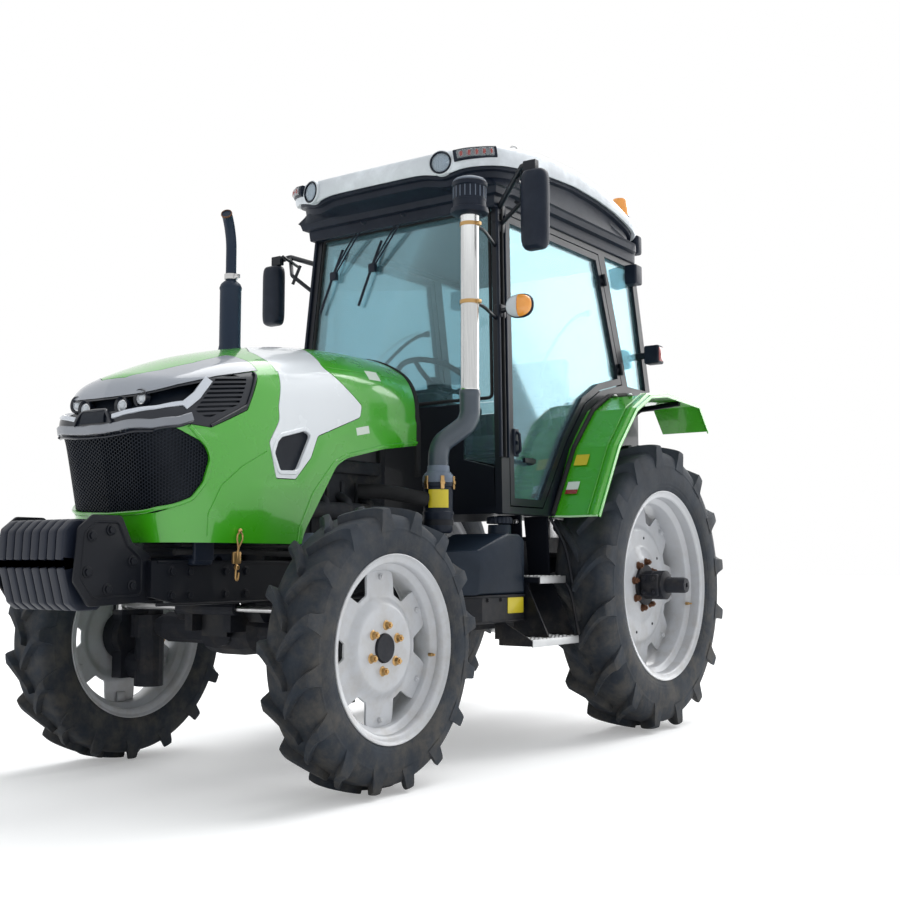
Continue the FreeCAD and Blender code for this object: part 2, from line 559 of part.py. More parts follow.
arch_line = [arch_point(turn, room) for turn, room in ARCH]
arch_foot_y = arch_line[0][0]
rear_z = arch_line[5][1]
FY, FZ, RY = cab_y, floor_z, rear_y
side_outline = [(FY, FZ), (arch_foot_y - 2, FZ), (arch_foot_y + 8, FZ + 15)]
side_outline += [(y - 6, z - 4) for y, z in arch_line[1:5]]
side_outline += [(RY + 435, rear_z - 4), (RY + 420, rear_z + 96), (RY + 330, FZ + 1400),
                 (FY + 95, FZ + 1400)]
door_low = [arch_point(turn, room + 38) for turn, room in ARCH[1:4]]
door_open = [(FY + 65, FZ + 30), (arch_foot_y - 78, FZ + 30), (arch_foot_y - 53, FZ + 60)]
door_open += door_low
door_open += [(RY + 100, rear_z + 86), (RY - 75, FZ + 1340), (FY + 150, FZ + 1340)]
quarter_open = [(RY + 160, rear_z + 86), (RY + 370, rear_z + 86), (RY + 290, FZ + 1340),
                (RY - 10, FZ + 1340)]


def inset_outline(points, d):
    """The same outline drawn in by d on every side."""
    return polygon([(0, y, z) for y, z in points]).makeOffset2D(-d, 2, False, False, False)


def solid_x(wire, x0, x1):
    return Part.Face(wire).translated(V(x0, 0, 0)).extrude(V(x1 - x0, 0, 0))


side_frame = plate_x(side_outline, 0, SIDE_T).cut(
    [plate_x(door_open, -5, SIDE_T + 5), plate_x(quarter_open, -5, SIDE_T + 5)])

# Door hinges: a pin on the rear post, a barrel on the door, on an axis along the post
HINGE_X, HINGE_R, DOOR_PIN_R = 46.0, 10.0, 6.5
BARREL_HALF, HINGE_HALF = 8.0, 30.0
hinge_low = V(HINGE_X, RY + 97, rear_z + 86)
hinge_high = V(HINGE_X, RY - 78, FZ + 1340)
hinge_dir = (hinge_high - hinge_low).normalize()
hinge_tilt = degrees(atan2(-hinge_dir.y, hinge_dir.z))


def along(centre, r, a, b):
    """A round bar on the hinge axis, from a to b past the hinge's centre."""
    return rod(tuple(centre + hinge_dir * a), tuple(centre + hinge_dir * b), r)


def knuckle_bar(centre, a, b):
    """A hinge's knuckle round the axis, eight-sided."""
    return bar(tuple(centre + hinge_dir * a), tuple(centre + hinge_dir * b), HINGE_R, 8)


def leaf(centre, y0, y1, a, b):
    """A flat leaf beside the hinge axis, turned with it."""
    flat = Part.makeBox(7, y1 - y0, b - a, V(SIDE_T - 1, centre.y + y0, centre.z + a))
    return flat.rotated(centre, X_AXIS, hinge_tilt)


fixed, turning = [], []
for share in (0.12, 0.80):
    c = hinge_low + (hinge_high - hinge_low) * share
    fixed.append(along(c, DOOR_PIN_R, -HINGE_HALF, HINGE_HALF))
    for a, b in ((-HINGE_HALF, -BARREL_HALF - 0.5), (BARREL_HALF + 0.5, HINGE_HALF)):
        fixed += [knuckle_bar(c, a, b), leaf(c, 0, 32, a, b)]
    barrel = knuckle_bar(c, -BARREL_HALF, BARREL_HALF)
    barrel = barrel.fuse(leaf(c, -34, 0, -BARREL_HALF, BARREL_HALF))
    turning.append(barrel.cut(along(c, DOOR_PIN_R + PIN_GAP, -HINGE_HALF, HINGE_HALF)))
side_frame = leaned(side_frame.fuse(fixed))

# Doors: a frame round its glass, with a handle through the glass
PANE_X = 14.0             # inner face of a side pane, from the side's inner face
door_wire = inset_outline(door_open, DOOR_GAP)
glass_wire = inset_outline(door_open, DOOR_GAP + DOOR_RAIL)
door = solid_x(door_wire, 4, SIDE_T).cut(solid_x(glass_wire, 0, SIDE_T + 5)).fuse(turning)
handle_y, handle_z = arch_foot_y - 158, FZ + 235
handle = bar((PANE_X + GLASS_T, handle_y, handle_z), (SIDE_T + 8, handle_y, handle_z), 16).fuse(
    box(SIDE_T + 2, SIDE_T + 16, handle_y - 75, handle_y + 15, handle_z - 9, handle_z + 11))
door = leaned(Part.makeCompound([door, handle]))
door_glass = leaned(solid_x(glass_wire, PANE_X, PANE_X + GLASS_T))
quarter_glass = leaned(plate_x(quarter_open, PANE_X, PANE_X + GLASS_T))
out["door_frame_left"], out["door_frame_right"] = door, mirrored(door)
out["door_glass_left"], out["door_glass_right"] = door_glass, mirrored(door_glass)

# Cab body: floor, wheel housings, front wall, rear wall and the roof ring
HOUSE_X = 500.0           # outside of the wheel housings inside the cab
HOUSE_T, WALL_T, DECK_T = 12.0, 15.0, 30.0
wall_y = FY + 33
deck_y, deck_z = RY - 280, FZ + 120
rear_wall_y = RY + 400
floor_front = box(-CAB_HALF_W + SIDE_T, CAB_HALF_W - SIDE_T, FY, arch_foot_y - 7, FZ, floor_top)
floor_mid = box(-HOUSE_X, HOUSE_X, arch_foot_y - 7, deck_y + DECK_T, FZ, floor_top)
seat_deck = box(-HOUSE_X, HOUSE_X, deck_y, rear_wall_y, deck_z, deck_z + DECK_T).fuse(
    box(-HOUSE_X, HOUSE_X, deck_y, deck_y + DECK_T, FZ, deck_z + DECK_T))
house_outline = [(arch_foot_y - 7, FZ), (arch_foot_y - 7, FZ + 15)]
house_outline += [(y - 14, z - 4) for y, z in arch_line[1:5]]
house_outline += [(rear_wall_y, rear_z - 4), (rear_wall_y, deck_z), (deck_y + DECK_T, deck_z),
                  (deck_y + DECK_T, FZ)]
house = plate_x(house_outline, HOUSE_X - HOUSE_T, HOUSE_X)
WINDOW_FOOT = 480.0       # of the low front panes and the windscreen, above the floor
front_wall = plate_y([(-545, FZ), (545, FZ), (535, FZ + 200), (380, FZ + 240), (380, FZ + WINDOW_FOOT),
                      (-380, FZ + WINDOW_FOOT), (-380, FZ + 240), (-535, FZ + 200)],
                     wall_y, wall_y + WALL_T)
rear_wall = box(-HOUSE_X, HOUSE_X, rear_wall_y - 12, rear_wall_y, deck_z, rear_z + 36)
ring_top = box(-520, 520, FY + 95, RY + 330, FZ + 1372, cab_top).cut(
    box(-460, 460, FY + 155, RY + 270, FZ + 1300, cab_top + 100))
shelf_line = [(arch_foot_y - 2, FZ), (arch_foot_y + 8, FZ + 15)]
shelf_line += [(y - 6, z - 4) for y, z in arch_line[1:5]] + [(RY + 435, rear_z - 4)]
shelf = plate_x(shelf_line + [(y + 7, z - 9) for y, z in reversed(shelf_line)], HOUSE_X - 5,
                CAB_HALF_W - SIDE_T + 6)
shelf = shelf.cut(box(-CAB_HALF_W, CAB_HALF_W, FY, RY + 600, FZ - 50, FZ))
cab = side_frame.fuse([mirrored(side_frame), floor_front, floor_mid, seat_deck, house,
                       mirrored(house), front_wall, rear_wall, ring_top, shelf, mirrored(shelf)])
out["cab_frame"] = cab


# Glass across the cab
def post_front(z):
    """Front edge of the front post."""
    return FY + 95 * (z - FZ) / 1400


def cross_pane(z0, z1, y0, y1):
    """A pane across the cab: bottom edge at (y0, z0), top edge at (y1, z1)."""
    a, b = half_width(z0), half_width(z1)
    return skinned([[V(-a, y0 + y, z0), V(a, y0 + y, z0), V(b, y1 + y, z1), V(-b, y1 + y, z1)]
                    for y in (0, GLASS_T)])


screen_z0, screen_z1 = FZ + WINDOW_FOOT + 5, FZ + 1368
windscreen = cross_pane(screen_z0, screen_z1, post_front(screen_z0) + 8, post_front(screen_z1) + 8)
rear_window = cross_pane(rear_z + 41, FZ + 1368, rear_wall_y, RY + 318)
low_z = FZ + WINDOW_FOOT
low_panes = [plate_y([(s * 380, FZ + 244), (s * half_width(FZ + 206), FZ + 206),
                      (s * half_width(low_z), low_z), (s * 380, low_z)],
                     wall_y + 4, wall_y + 4 + GLASS_T) for s in (1, -1)]
out["cab_glass"] = Part.makeCompound([windscreen, rear_window, quarter_glass,
                                      mirrored(quarter_glass)] + low_panes)

# Roof: a wide shell with a chamfered front, its rim standing out round the cab
ROOF_AHEAD, ROOF_BEHIND, ROOF_HALF_W = 195.0, 400.0, 640.0
roof_y0, roof_y1 = cab_y - ROOF_AHEAD, rear_y + ROOF_BEHIND
roof_half = [(400, 0.0), (590, 0.085), (640, 0.25), (640, 0.80), (560, 1.0)]   # half width, share of length
roof_levels = [(0, 0.93), (22, 0.985), (60, 1.0), (118, 0.97), (152, 0.90), (170, 0.76)]  # height, share


def roof_loop(height, share):
    middle, length = (roof_y0 + roof_y1) / 2, roof_y1 - roof_y0
    side = [(x + ROOF_HALF_W - 640, roof_y0 + length * part) for x, part in roof_half]
    loop = side + [(-x, y) for x, y in reversed(side)]
    return [V(x * share, middle + (y - middle) * share, cab_top + height) for x, y in loop]


roof = skinned([roof_loop(height, share) for height, share in roof_levels])
out["roof"] = roof

# Fenders: one bent sheet over each rear wheel, with a turned-down outer edge
FENDER_T, FENDER_LIP = 6.0, 18.0        # sheet, and depth of its turned-down edge
FENDER_OUT = 131.0        # of its outer edge past the tyre's centre
fender_in, fender_out = CAB_HALF_W - 26, REAR_TRACK / 2 + FENDER_OUT


def band_x(points, t, x0, x1):
    """A bent sheet across the tractor: its under side follows the points in Y and Z."""
    wire = Part.makePolygon([V(0, y, z) for y, z in points])
    return solid_x(wire.makeOffset2D(t, 2, True, True, False), x0, x1)


fender = band_x(arch_line, FENDER_T, fender_in, fender_out)
lip = plate_x(arch_line + [arch_point(turn, room - FENDER_LIP) for turn, room in reversed(ARCH)],
              fender_out - FENDER_T, fender_out)
fender = fender.fuse(lip).cut(cab)
out["fenders"] = pair(fender)

# Fuel tank on its tray on the left, battery box on the right
TANK_X0, TANK_X1 = 330.0, 620.0
TYRE_ROOM = 90.0          # from a front tyre to the tank behind it
TRAY_DROP, TRAY_H = 455.0, 115.0       # below the cab's floor, and the tray's height
tray_z0 = FZ - TRAY_DROP
tray_z1 = tray_z0 + TRAY_H
tank_y0 = max(FY - 345, FRONT_TYRE_R + TYRE_ROOM)
tray_plan = [(TANK_X0, tank_y0), (500, tank_y0), (612, tank_y0 + 170), (612, FY + 150),
             (TANK_X0, FY + 150)]
tank = plate_x([(tank_y0, tray_z1), (FY + 155, tray_z1), (FY + 155, FZ - 110), (FY + 125, FZ - 85),
                (FY + 15, FZ - 80), (tank_y0 + 130, FZ - 158), (tank_y0, FZ - 165)], TANK_X0, TANK_X1)
tank = tank.cut(plate_z([(500, tank_y0 - 10), (630, tank_y0 - 10), (630, tank_y0 + 170)],
                        FZ - 400, FZ))
NECK_R, CAP_R = 50.0, 56.0
neck = (540, FY + 70)
tank = tank.fuse([bar((*neck, FZ - 100), (*neck, FZ - 40), NECK_R, 16),
                  bar((*neck, FZ - 40), (*neck, FZ - 10), CAP_R, 20)])
out["fuel_tank"] = tank
tray = plate_z(tray_plan, tray_z0, tray_z1)
tray = tray.fuse(box(GEARBOX_HALF_W, TANK_X0, FY - 135, FY - 35, tray_z0 + 55, tray_z0 + 105))
out["tank_tray"] = tray
battery = plate_z(tray_plan, tray_z0, FZ - 170).fuse(
    box(GEARBOX_HALF_W, TANK_X0, FY - 135, FY - 35, tray_z0 + 55, tray_z0 + 105))
out["battery_box"] = mirrored(battery)

# Steps: two treads between side plates, under each door
STEP_PLATE, STEP_W = 10.0, 234.0
step_y1 = arch_foot_y - 22
step_y0 = step_y1 - STEP_W
tread_y0 = FY - 5
step_top = FZ - 2.5
step_outline = [(470, step_top), (590, step_top), (600, FZ - 260), (740, FZ - 550), (580, FZ - 550),
                (500, FZ - 300)]
steps = plate_y(step_outline, step_y0, step_y0 + STEP_PLATE)
steps = steps.fuse([plate_y(step_outline, step_y1 - STEP_PLATE, step_y1),
                    box(520, 680, step_y0, step_y1, FZ - 292, FZ - 270),
                    box(590, 745, tread_y0, step_y1, FZ - 550, FZ - 528),
                    plate_y([(560, tray_z0), (612, tray_z0), (745, FZ - 528), (745, FZ - 550),
                             (590, FZ - 550)], tread_y0, tread_y0 + 8)])
out["steps"] = pair(steps)

# Intake: pre-cleaner, steel pipe and elbow to the air cleaner's canister
PIPE_R, CAN_R = 41.0, 66.0
pipe_x, pipe_y = 570.0, FY - 200
can_x, can_y = 450.0, FY - 255
intake = bar((pipe_x, pipe_y, FZ + 470), (pipe_x, pipe_y, FZ + 1240), PIPE_R, 16)
elbow = [(pipe_x, pipe_y, FZ + 475), (pipe_x, pipe_y, FZ + 400), (pipe_x - 12, pipe_y - 6, FZ + 362),
         (pipe_x - 40, pipe_y - 18, FZ + 338), (can_x + 40, can_y + 18, FZ + 302),
         (can_x + 12, can_y + 6, FZ + 278), (can_x, can_y, FZ + 240), (can_x, can_y, FZ + 160)]
intake = intake.fuse([bar((pipe_x, pipe_y, FZ + 1240), (pipe_x, pipe_y, FZ + 1350), 71, 16),
                      bar((pipe_x, pipe_y, FZ + 1350), (pipe_x, pipe_y, FZ + 1400), 80, 16),
                      bent(elbow, PIPE_R + 4, 12)])
for z in (FZ + 830, FZ + 1140):
    intake = intake.fuse(bar((pipe_x, pipe_y + 20, z),
                             (half_width(z) + 17, post_front(z) + 6, z), 9, 8))
out["air_intake"] = intake.cut(cab)
cleaner = bar((can_x, can_y, FZ - 90), (can_x, can_y, FZ + 160), CAN_R, 20)
out["air_cleaner"] = cleaner.fuse(box(ENGINE_HALF_W, can_x - 40, engine_y1 - 40, engine_y1,
                                      FZ, FZ + 60))

# Mirrors on tube arms: side, head's place, its height and the arms' foot on the post
mirrors = []
for s, x, y, z0, z1, foot_z in ((1, 850, FY - 150, FZ + 1060, FZ + 1400, FZ + 1330),
                                (-1, 850, FY + 125, FZ + 980, FZ + 1290, FZ + 1200)):
    head = skinned([[V(s * (x + a * w), y + dy, (z0 + z1) / 2 + b * (z1 - z0) / 2)
                     for a, b in ((-1, -0.8), (-0.7, -1), (0.7, -1), (1, -0.8),
                                  (1, 0.8), (0.7, 1), (-0.7, 1), (-1, 0.8))]
                    for dy, w in ((-15, 54), (5, 60), (30, 42))])
    foot = (s * (half_width(foot_z) + 20), post_front(foot_z) + 12, foot_z)
    arm = bent([foot, (s * (x - 70), y + 25, z1 + 30), (s * x, y + 8, z1 + 10), (s * x, y + 8, z0 + 60)],
               12, 8)
    mirrors.append(head.fuse(arm).cut(cab))
out["mirrors"] = Part.makeCompound(mirrors)

# Lamps: roof lamps, a turn lamp on the left post, rear lamps and the beacon
roof_lamp = bar((370, roof_y0 - 20, cab_top + 60), (370, roof_y0 + 60, cab_top + 60), 48, 16).cut(roof)
turn_z = FZ + 880
turn_lamp = bar((640, FY + 25, turn_z), (700, FY + 25, turn_z), 40, 16).fuse(
    bar((half_width(turn_z) + 15, post_front(turn_z) + 14, turn_z), (645, FY + 25, turn_z), 10, 8))
work_z = FZ + 1290
tail_z = FZ + 872


def post_lamp(y0, z, half_h, depth, post_y):
    """A lamp outside the cab's side, on a short arm from the rear post."""
    x0 = half_width(z - half_h) + SIDE_T + 3
    arm = box(half_width(z) + 22, x0 + 30, y0 + 70, post_y, z - 15, z + 15)
    return box(x0, x0 + depth, y0, y0 + 85, z - half_h, z + half_h).fuse(arm).cut(cab)


work_lamp = post_lamp(RY + 215, work_z, 55, 60, RY + 330)
tail_lamp = post_lamp(RY + 300, tail_z, 51, 85, RY + 390)
beacon = bar((330, RY + 110, cab_top + 140), (330, RY + 110, cab_top + 270), 45, 16).cut(roof)
out["lamps"] = Part.makeCompound(
    [roof_lamp, mirrored(roof_lamp), turn_lamp.cut(cab), work_lamp, mirrored(work_lamp), tail_lamp,
     mirrored(tail_lamp), beacon])

# Seat, dash and steering wheel
seat_y, seat_z = rear_y - SEAT_AHEAD, deck_z + DECK_T
out["seat_base"] = box(-170, 170, seat_y - 190, seat_y + 200, seat_z, seat_z + 190)
cushion_z = seat_z + 190 + RUN_GAP
cushion = plate_x([(seat_y - 250, cushion_z + 20), (seat_y - 235, cushion_z),
                   (seat_y + 170, cushion_z), (seat_y + 170, cushion_z + 75),
                   (seat_y - 210, cushion_z + 92), (seat_y - 250, cushion_z + 60)], -240, 240)
back = plate_x([(seat_y + 170 + RUN_GAP, cushion_z + 5), (seat_y + 270, cushion_z + 5),
                (seat_y + 350, cushion_z + 540), (seat_y + 280, cushion_z + 540)], -225, 225)
out["seat_pads"] = Part.makeCompound([cushion, back])
dash_y = wall_y + WALL_T
dash = plate_x([(dash_y, floor_top), (FY + 195, floor_top), (FY + 215, FZ + 430),
                (FY + 165, FZ + 560), (FY + 85, FZ + 560), (dash_y, FZ + 480)], -190, 190)
COLUMN_TILT = 30.0        # degrees from upright
WHEEL_R, WHEEL_TUBE = 190.0, 14.0
wheel_c = V(0, FY + 355, FZ + 640)
col_dir = V(0, sin(radians(COLUMN_TILT)), cos(radians(COLUMN_TILT)))
column_foot = wheel_c - col_dir * 380
out["dash"] = dash.fuse(bar(tuple(column_foot), tuple(wheel_c - col_dir * 30), 28, 12))
section = [(WHEEL_TUBE * cos(2 * pi * i / 6), WHEEL_R + WHEEL_TUBE * sin(2 * pi * i / 6))
           for i in range(6)]
grip = ring(section, 24, (0, 0, 0)).rotated(O, Y_AXIS, -90).rotated(O, X_AXIS, -COLUMN_TILT)
grip = grip.translated(wheel_c)
hub = Part.makeCylinder(30, 28, wheel_c - col_dir * (30 - RUN_GAP), col_dir)
spokes = [hub]
for turn in (90, 210, 330):
    across = V(cos(radians(turn)), 0, 0) + V(0, -col_dir.z, col_dir.y) * sin(radians(turn))
    start = wheel_c - col_dir * 12
    spokes.append(bar(tuple(start), tuple(start + across * (WHEEL_R - 4)), 11, 6))
out["steering_wheel"] = grip.fuse(spokes)

# Rear linkage: lower links on their pins, lift arms on a cross shaft, lift rods between
LINK_EYE_R, LINK_BORE_R, LINK_PIN_R = 42.0, 14.35, 15.0
LINK_L, LINK_ROD_AT = 760.0, 400.0     # from pivot to eye, and to the lift rod
ARM_LEN, SHAFT_HALF = 240.0, 215.0
ROD_GAP = 15.0            # above the link, so that the open eye never meets it
pivot_y, pivot_z = rear_y + 160, gear_z0 - 25
eye_y = pivot_y + LINK_L
PIVOT_X, EYE_X = 242.5, 412.5
links = []
for s in (1, -1):
    link = plate_z([(s * (PIVOT_X - 12), pivot_y - 25), (s * (PIVOT_X + 12), pivot_y - 25),
                    (s * (EYE_X + 12), eye_y - 30), (s * (EYE_X - 12), eye_y - 30)],
                   pivot_z - 25, pivot_z + 25)
    link = link.fuse([bar((s * (EYE_X - 20), eye_y, pivot_z), (s * (EYE_X + 24), eye_y, pivot_z),
                          LINK_EYE_R, 16),
                      bar((s * (PIVOT_X - 17), pivot_y, pivot_z), (s * (PIVOT_X + 17), pivot_y, pivot_z),
                          36, 16)])
    links.append(link.cut([
        rod((s * (EYE_X - 30), eye_y, pivot_z), (s * (EYE_X + 34), eye_y, pivot_z), LINK_BORE_R),
        rod((s * (PIVOT_X - 40), pivot_y, pivot_z), (s * (PIVOT_X + 40), pivot_y, pivot_z),
            LINK_PIN_R + PIN_GAP)]))
out["lower_links"] = Part.makeCompound(links)

ROCK_R, LIFT_PIN_R = 26.0, 10.0
BEARING_X, BEARING_T = 152.0, 24.0     # of the cross shaft's bearings
rock_y, rock_z = rear_y + 200, gear_z1 + 5
top_y = rock_y + ARM_LEN
arms = bar((-SHAFT_HALF, rock_y, rock_z), (SHAFT_HALF, rock_y, rock_z), ROCK_R, 12)
for s in (1, -1):
    arms = arms.fuse([
        plate_x([(rock_y - 40, rock_z - 35), (top_y + 24, rock_z - 22), (top_y + 24, rock_z + 22),
                 (rock_y - 40, rock_z + 35)], s * 195, s * SHAFT_HALF),
        rod((s * (BEARING_X - 1), rock_y, rock_z), (s * (BEARING_X + BEARING_T + 1), rock_y, rock_z),
            ROCK_R)])
out["lift_arms"] = arms.cut(rod((-250, top_y, rock_z), (250, top_y, rock_z), LIFT_PIN_R + PIN_GAP))

housing = housing.fuse([box(s * BEARING_X, s * (BEARING_X + BEARING_T), rock_y - 45, rock_y + 45,
                            gear_z1 - 100, rock_z + 40) for s in (1, -1)])
housing = housing.cut(rod((-SHAFT_HALF, rock_y, rock_z), (SHAFT_HALF, rock_y, rock_z),
                          ROCK_R + PIN_GAP))
for s in (1, -1):
    housing = housing.fuse([
        bar((s * 150, pivot_y, pivot_z), (s * (PIVOT_X + 32), pivot_y, pivot_z), LINK_PIN_R, 12),
        rod((s * (PIVOT_X - 18), pivot_y, pivot_z), (s * (PIVOT_X + 18), pivot_y, pivot_z),
            LINK_PIN_R),
        box(s * 150, s * 185, pivot_y - 40, pivot_y + 40, pivot_z - 35, pivot_z + 105)])

rods = []
for s in (1, -1):
    rod_y = pivot_y + LINK_ROD_AT
    low_x = s * (PIVOT_X + (EYE_X - PIVOT_X) * LINK_ROD_AT / LINK_L)
    low_z = pivot_z + 25 + ROD_GAP
    body = bar((s * 232, top_y, rock_z), (low_x, rod_y, low_z + 38), 14)
    rods.append(body.fuse([
        bar((s * 218, top_y, rock_z), (s * 246, top_y, rock_z), 24, 12),
        rod((s * 194, top_y, rock_z), (s * 245, top_y, rock_z), LIFT_PIN_R),
        bar((low_x, rod_y, low_z), (low_x, rod_y, low_z + 48), 16, 10)]))
out["lift_rods"] = Part.makeCompound(rods)

# Drawbar, power take-off shaft and top link
DRAWBAR_T, DRAWBAR_HOLE_R = 30.0, 16.0
bar_z = gear_z0 - 108
hole_y = rear_y + 740
drawbar = box(-35, 35, rear_y - 140, hole_y + 40, bar_z, bar_z + DRAWBAR_T)
drawbar = drawbar.fuse([box(-60, 60, y, y + 60, bar_z + DRAWBAR_T, gear_z0)
                        for y in (rear_y + 40, rear_y - 140)])
out["drawbar"] = drawbar.cut(rod((0, hole_y, bar_z - 20), (0, hole_y, bar_z + 50), DRAWBAR_HOLE_R))
PTO_R, PTO_L = 17.5, 85.0
pto_y, pto_z = rear_y + 260, gear_z0 + 130
out["rear_axle_housing"] = housing.fuse([
    rod((0, pto_y, pto_z), (0, pto_y + PTO_L, pto_z), PTO_R),
    bar((0, pto_y, pto_z), (0, pto_y + 10, pto_z), 60, 16)])
TOP_BORE_R = 12.85
top_eye = (rear_y + 608, gear_z1 + 350)
top_link = bar((0, rear_y + 300, gear_z1 - 100), (0, top_eye[0] - 8, top_eye[1] - 20), 18)
top_link = top_link.fuse([box(-40, 40, rear_y + 260, rear_y + 325, gear_z1 - 130, gear_z1 - 70),
                          bar((-22, *top_eye), (22, *top_eye), 30, 16)])
out["top_link"] = top_link.cut(rod((-30, *top_eye), (30, *top_eye), TOP_BORE_R))

# Export: the origin goes to the middle of the length
middle_y = (weight_y0 + eye_y + LINK_EYE_R) / 2
os.makedirs("parts", exist_ok=True)
for node, shape in out.items():
    shape.removeSplitter().translated(V(0, -middle_y, 0)).exportStep("parts/" + node + ".step")
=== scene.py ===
"""A farm tractor with a closed cab, dressed for a plain studio picture.

Lengths are metres. X is the tractor's left, Y runs to the rear, Z is up. Every new piece is a
surface worked out with numpy and rides on the body that carries it.
"""
import json
import math

import bpy
import numpy as np
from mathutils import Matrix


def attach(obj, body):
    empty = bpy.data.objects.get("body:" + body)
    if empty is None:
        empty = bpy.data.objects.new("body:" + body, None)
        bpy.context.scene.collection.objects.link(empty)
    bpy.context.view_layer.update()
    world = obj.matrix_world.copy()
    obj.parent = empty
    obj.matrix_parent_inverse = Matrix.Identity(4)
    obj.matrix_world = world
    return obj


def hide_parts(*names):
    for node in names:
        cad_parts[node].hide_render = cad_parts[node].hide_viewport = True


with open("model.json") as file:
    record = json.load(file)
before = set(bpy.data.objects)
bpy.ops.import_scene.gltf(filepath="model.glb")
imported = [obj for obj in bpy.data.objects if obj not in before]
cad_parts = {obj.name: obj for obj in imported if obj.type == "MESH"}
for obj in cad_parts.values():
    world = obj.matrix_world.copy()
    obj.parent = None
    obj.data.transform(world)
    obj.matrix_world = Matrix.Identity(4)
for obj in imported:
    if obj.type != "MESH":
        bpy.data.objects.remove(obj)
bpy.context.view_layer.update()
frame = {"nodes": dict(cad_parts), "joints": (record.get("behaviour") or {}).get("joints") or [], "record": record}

joint_at = {j["name"]: np.array(j["pos_m"]) for j in frame["joints"] if "pos_m" in j}
FRONT_Y = joint_at["steer_left"][1]          # over the front axle
REAR_Y = joint_at["rear_wheel_left_roll"][1]
TAU = 2 * math.pi


# Surfaces

class Skin:
    """Points and faces of one surface, as arrays that can be moved, mirrored and joined."""

    def __init__(self, points, faces):
        self.points = np.asarray(points, float).reshape(-1, 3)
        self.faces = [np.asarray(f, int) for f in faces]

    def __add__(self, other):
        shift = len(self.points)
        return Skin(np.vstack([self.points, other.points]), self.faces + [f + shift for f in other.faces])

    def move(self, x=0.0, y=0.0, z=0.0):
        return Skin(self.points + (x, y, z), self.faces)

    def turn(self, axis, degrees, about=(0, 0, 0)):
        """The skin turned about an axis through a point, by the right-hand rule."""
        a = np.array(axis, float)
        a /= np.linalg.norm(a)
        t = math.radians(degrees)
        p = self.points - about
        turned = p * math.cos(t) + np.cross(a, p) * math.sin(t) + np.outer(p @ a, a) * (1 - math.cos(t))
        return Skin(turned + about, self.faces)

    def mirror(self):
        """The same surface on the tractor's right, still facing outwards."""
        return Skin(self.points * (-1, 1, 1), [f[:, ::-1] for f in self.faces])

    def both(self):
        return self + self.mirror()


def joined(skins):
    """All the skins as one."""
    shifts = np.cumsum([0] + [len(s.points) for s in skins[:-1]])
    faces = [f + shift for s, shift in zip(skins, shifts) for f in s.faces]
    return Skin(np.vstack([s.points for s in skins]), faces)


def grid(points, wrap_u=False, wrap_v=False, cap_start=False, cap_end=False):
    """Quads over points[u, v]; a wrapped side closes, and a cap fills the first or last row of u.

    A surface that closes round v is turned to face outwards: its volume sum(p . n dA) / 3,
    taken about its middle, comes out positive."""
    points = np.asarray(points, float)
    nu, nv = points.shape[:2]
    u = np.arange(nu if wrap_u else nu - 1)[:, None]
    v = np.arange(nv if wrap_v else nv - 1)[None, :]
    u1, v1 = (u + 1) % nu, (v + 1) % nv
    quads = np.stack([u * nv + v, u * nv + v1, u1 * nv + v1, u1 * nv + v], -1).reshape(-1, 4)
    faces = [quads]
    if cap_start:
        faces.append(np.arange(nv)[None, ::-1])
    if cap_end:
        faces.append((nu - 1) * nv + np.arange(nv)[None, :])
    flat = points.reshape(-1, 3)
    if wrap_v:
        p, q, r, t = (flat - flat.mean(0))[quads].transpose(1, 0, 2)
        if np.einsum("ij,ij->", np.cross(q - p, t - p) + np.cross(t - r, q - r), p + q + r + t) < 0:
            faces = [f[:, ::-1] for f in faces]
    return Skin(flat, faces)


def frame_about(direction):
    """Two unit vectors square to a direction and to each other."""
    d = np.array(direction, float)
    d /= np.linalg.norm(d)
    side = np.cross((0, 0, 1) if abs(d[2]) < 0.9 else (1, 0, 0), d)
    side /= np.linalg.norm(side)
    return side, np.cross(d, side), d


def turned(profile, centre=(0, 0, 0), axis=(0, 0, 1), sides=48, closed=False):
    """A turned surface: (along, radius) points of a profile carried round an axis.

    P(u, v) = centre + axis * along(u) + radius(u) * (side cos v + up sin v)."""
    s, t, d = frame_about(axis)
    prof = np.asarray(profile, float)
    v = np.arange(sides) * TAU / sides
    around = np.cos(v)[:, None] * s + np.sin(v)[:, None] * t
    pts = np.asarray(centre) + prof[:, 0, None, None] * d + prof[:, 1, None, None] * around[None]
    return grid(pts, wrap_u=closed, wrap_v=True, cap_start=not closed and prof[0, 1] > 1e-6,
                cap_end=not closed and prof[-1, 1] > 1e-6)


def upright(profile, centre, sides=48, closed=False):
    """A turned surface round an upright axis, with heights from the ground."""
    return turned(profile, (*centre, 0), sides=sides, closed=closed)


def smooth_line(points, count, closed=False):
    """Points evenly spread along a Catmull-Rom curve through the given ones."""
    p = np.asarray(points, float)
    if closed:
        ext = np.vstack([p[-1:], p, p[:2]])
        spans = len(p)
    else:
        ext = np.vstack([2 * p[0] - p[1], p, 2 * p[-1] - p[-2]])
        spans = len(p) - 1
    t = np.linspace(0, spans, spans * 24 + 1)
    i = np.minimum(t.astype(int), spans - 1)
    f = (t - i)[:, None]
    a, b, c, d = ext[i], ext[i + 1], ext[i + 2], ext[i + 3]
    dense = 0.5 * (2 * b + (c - a) * f + (2 * a - 5 * b + 4 * c - d) * f ** 2 + (3 * b - a - 3 * c + d)
                   * f ** 3)
    gaps = np.linalg.norm(np.diff(dense, axis=0), axis=1)
    run = np.concatenate([[0], np.cumsum(gaps)])
    at = np.linspace(0, run[-1], count + 1 if closed else count)
    if closed:
        at = at[:-1]
    return np.stack([np.interp(at, run, dense[:, k]) for k in range(dense.shape[1])], -1)


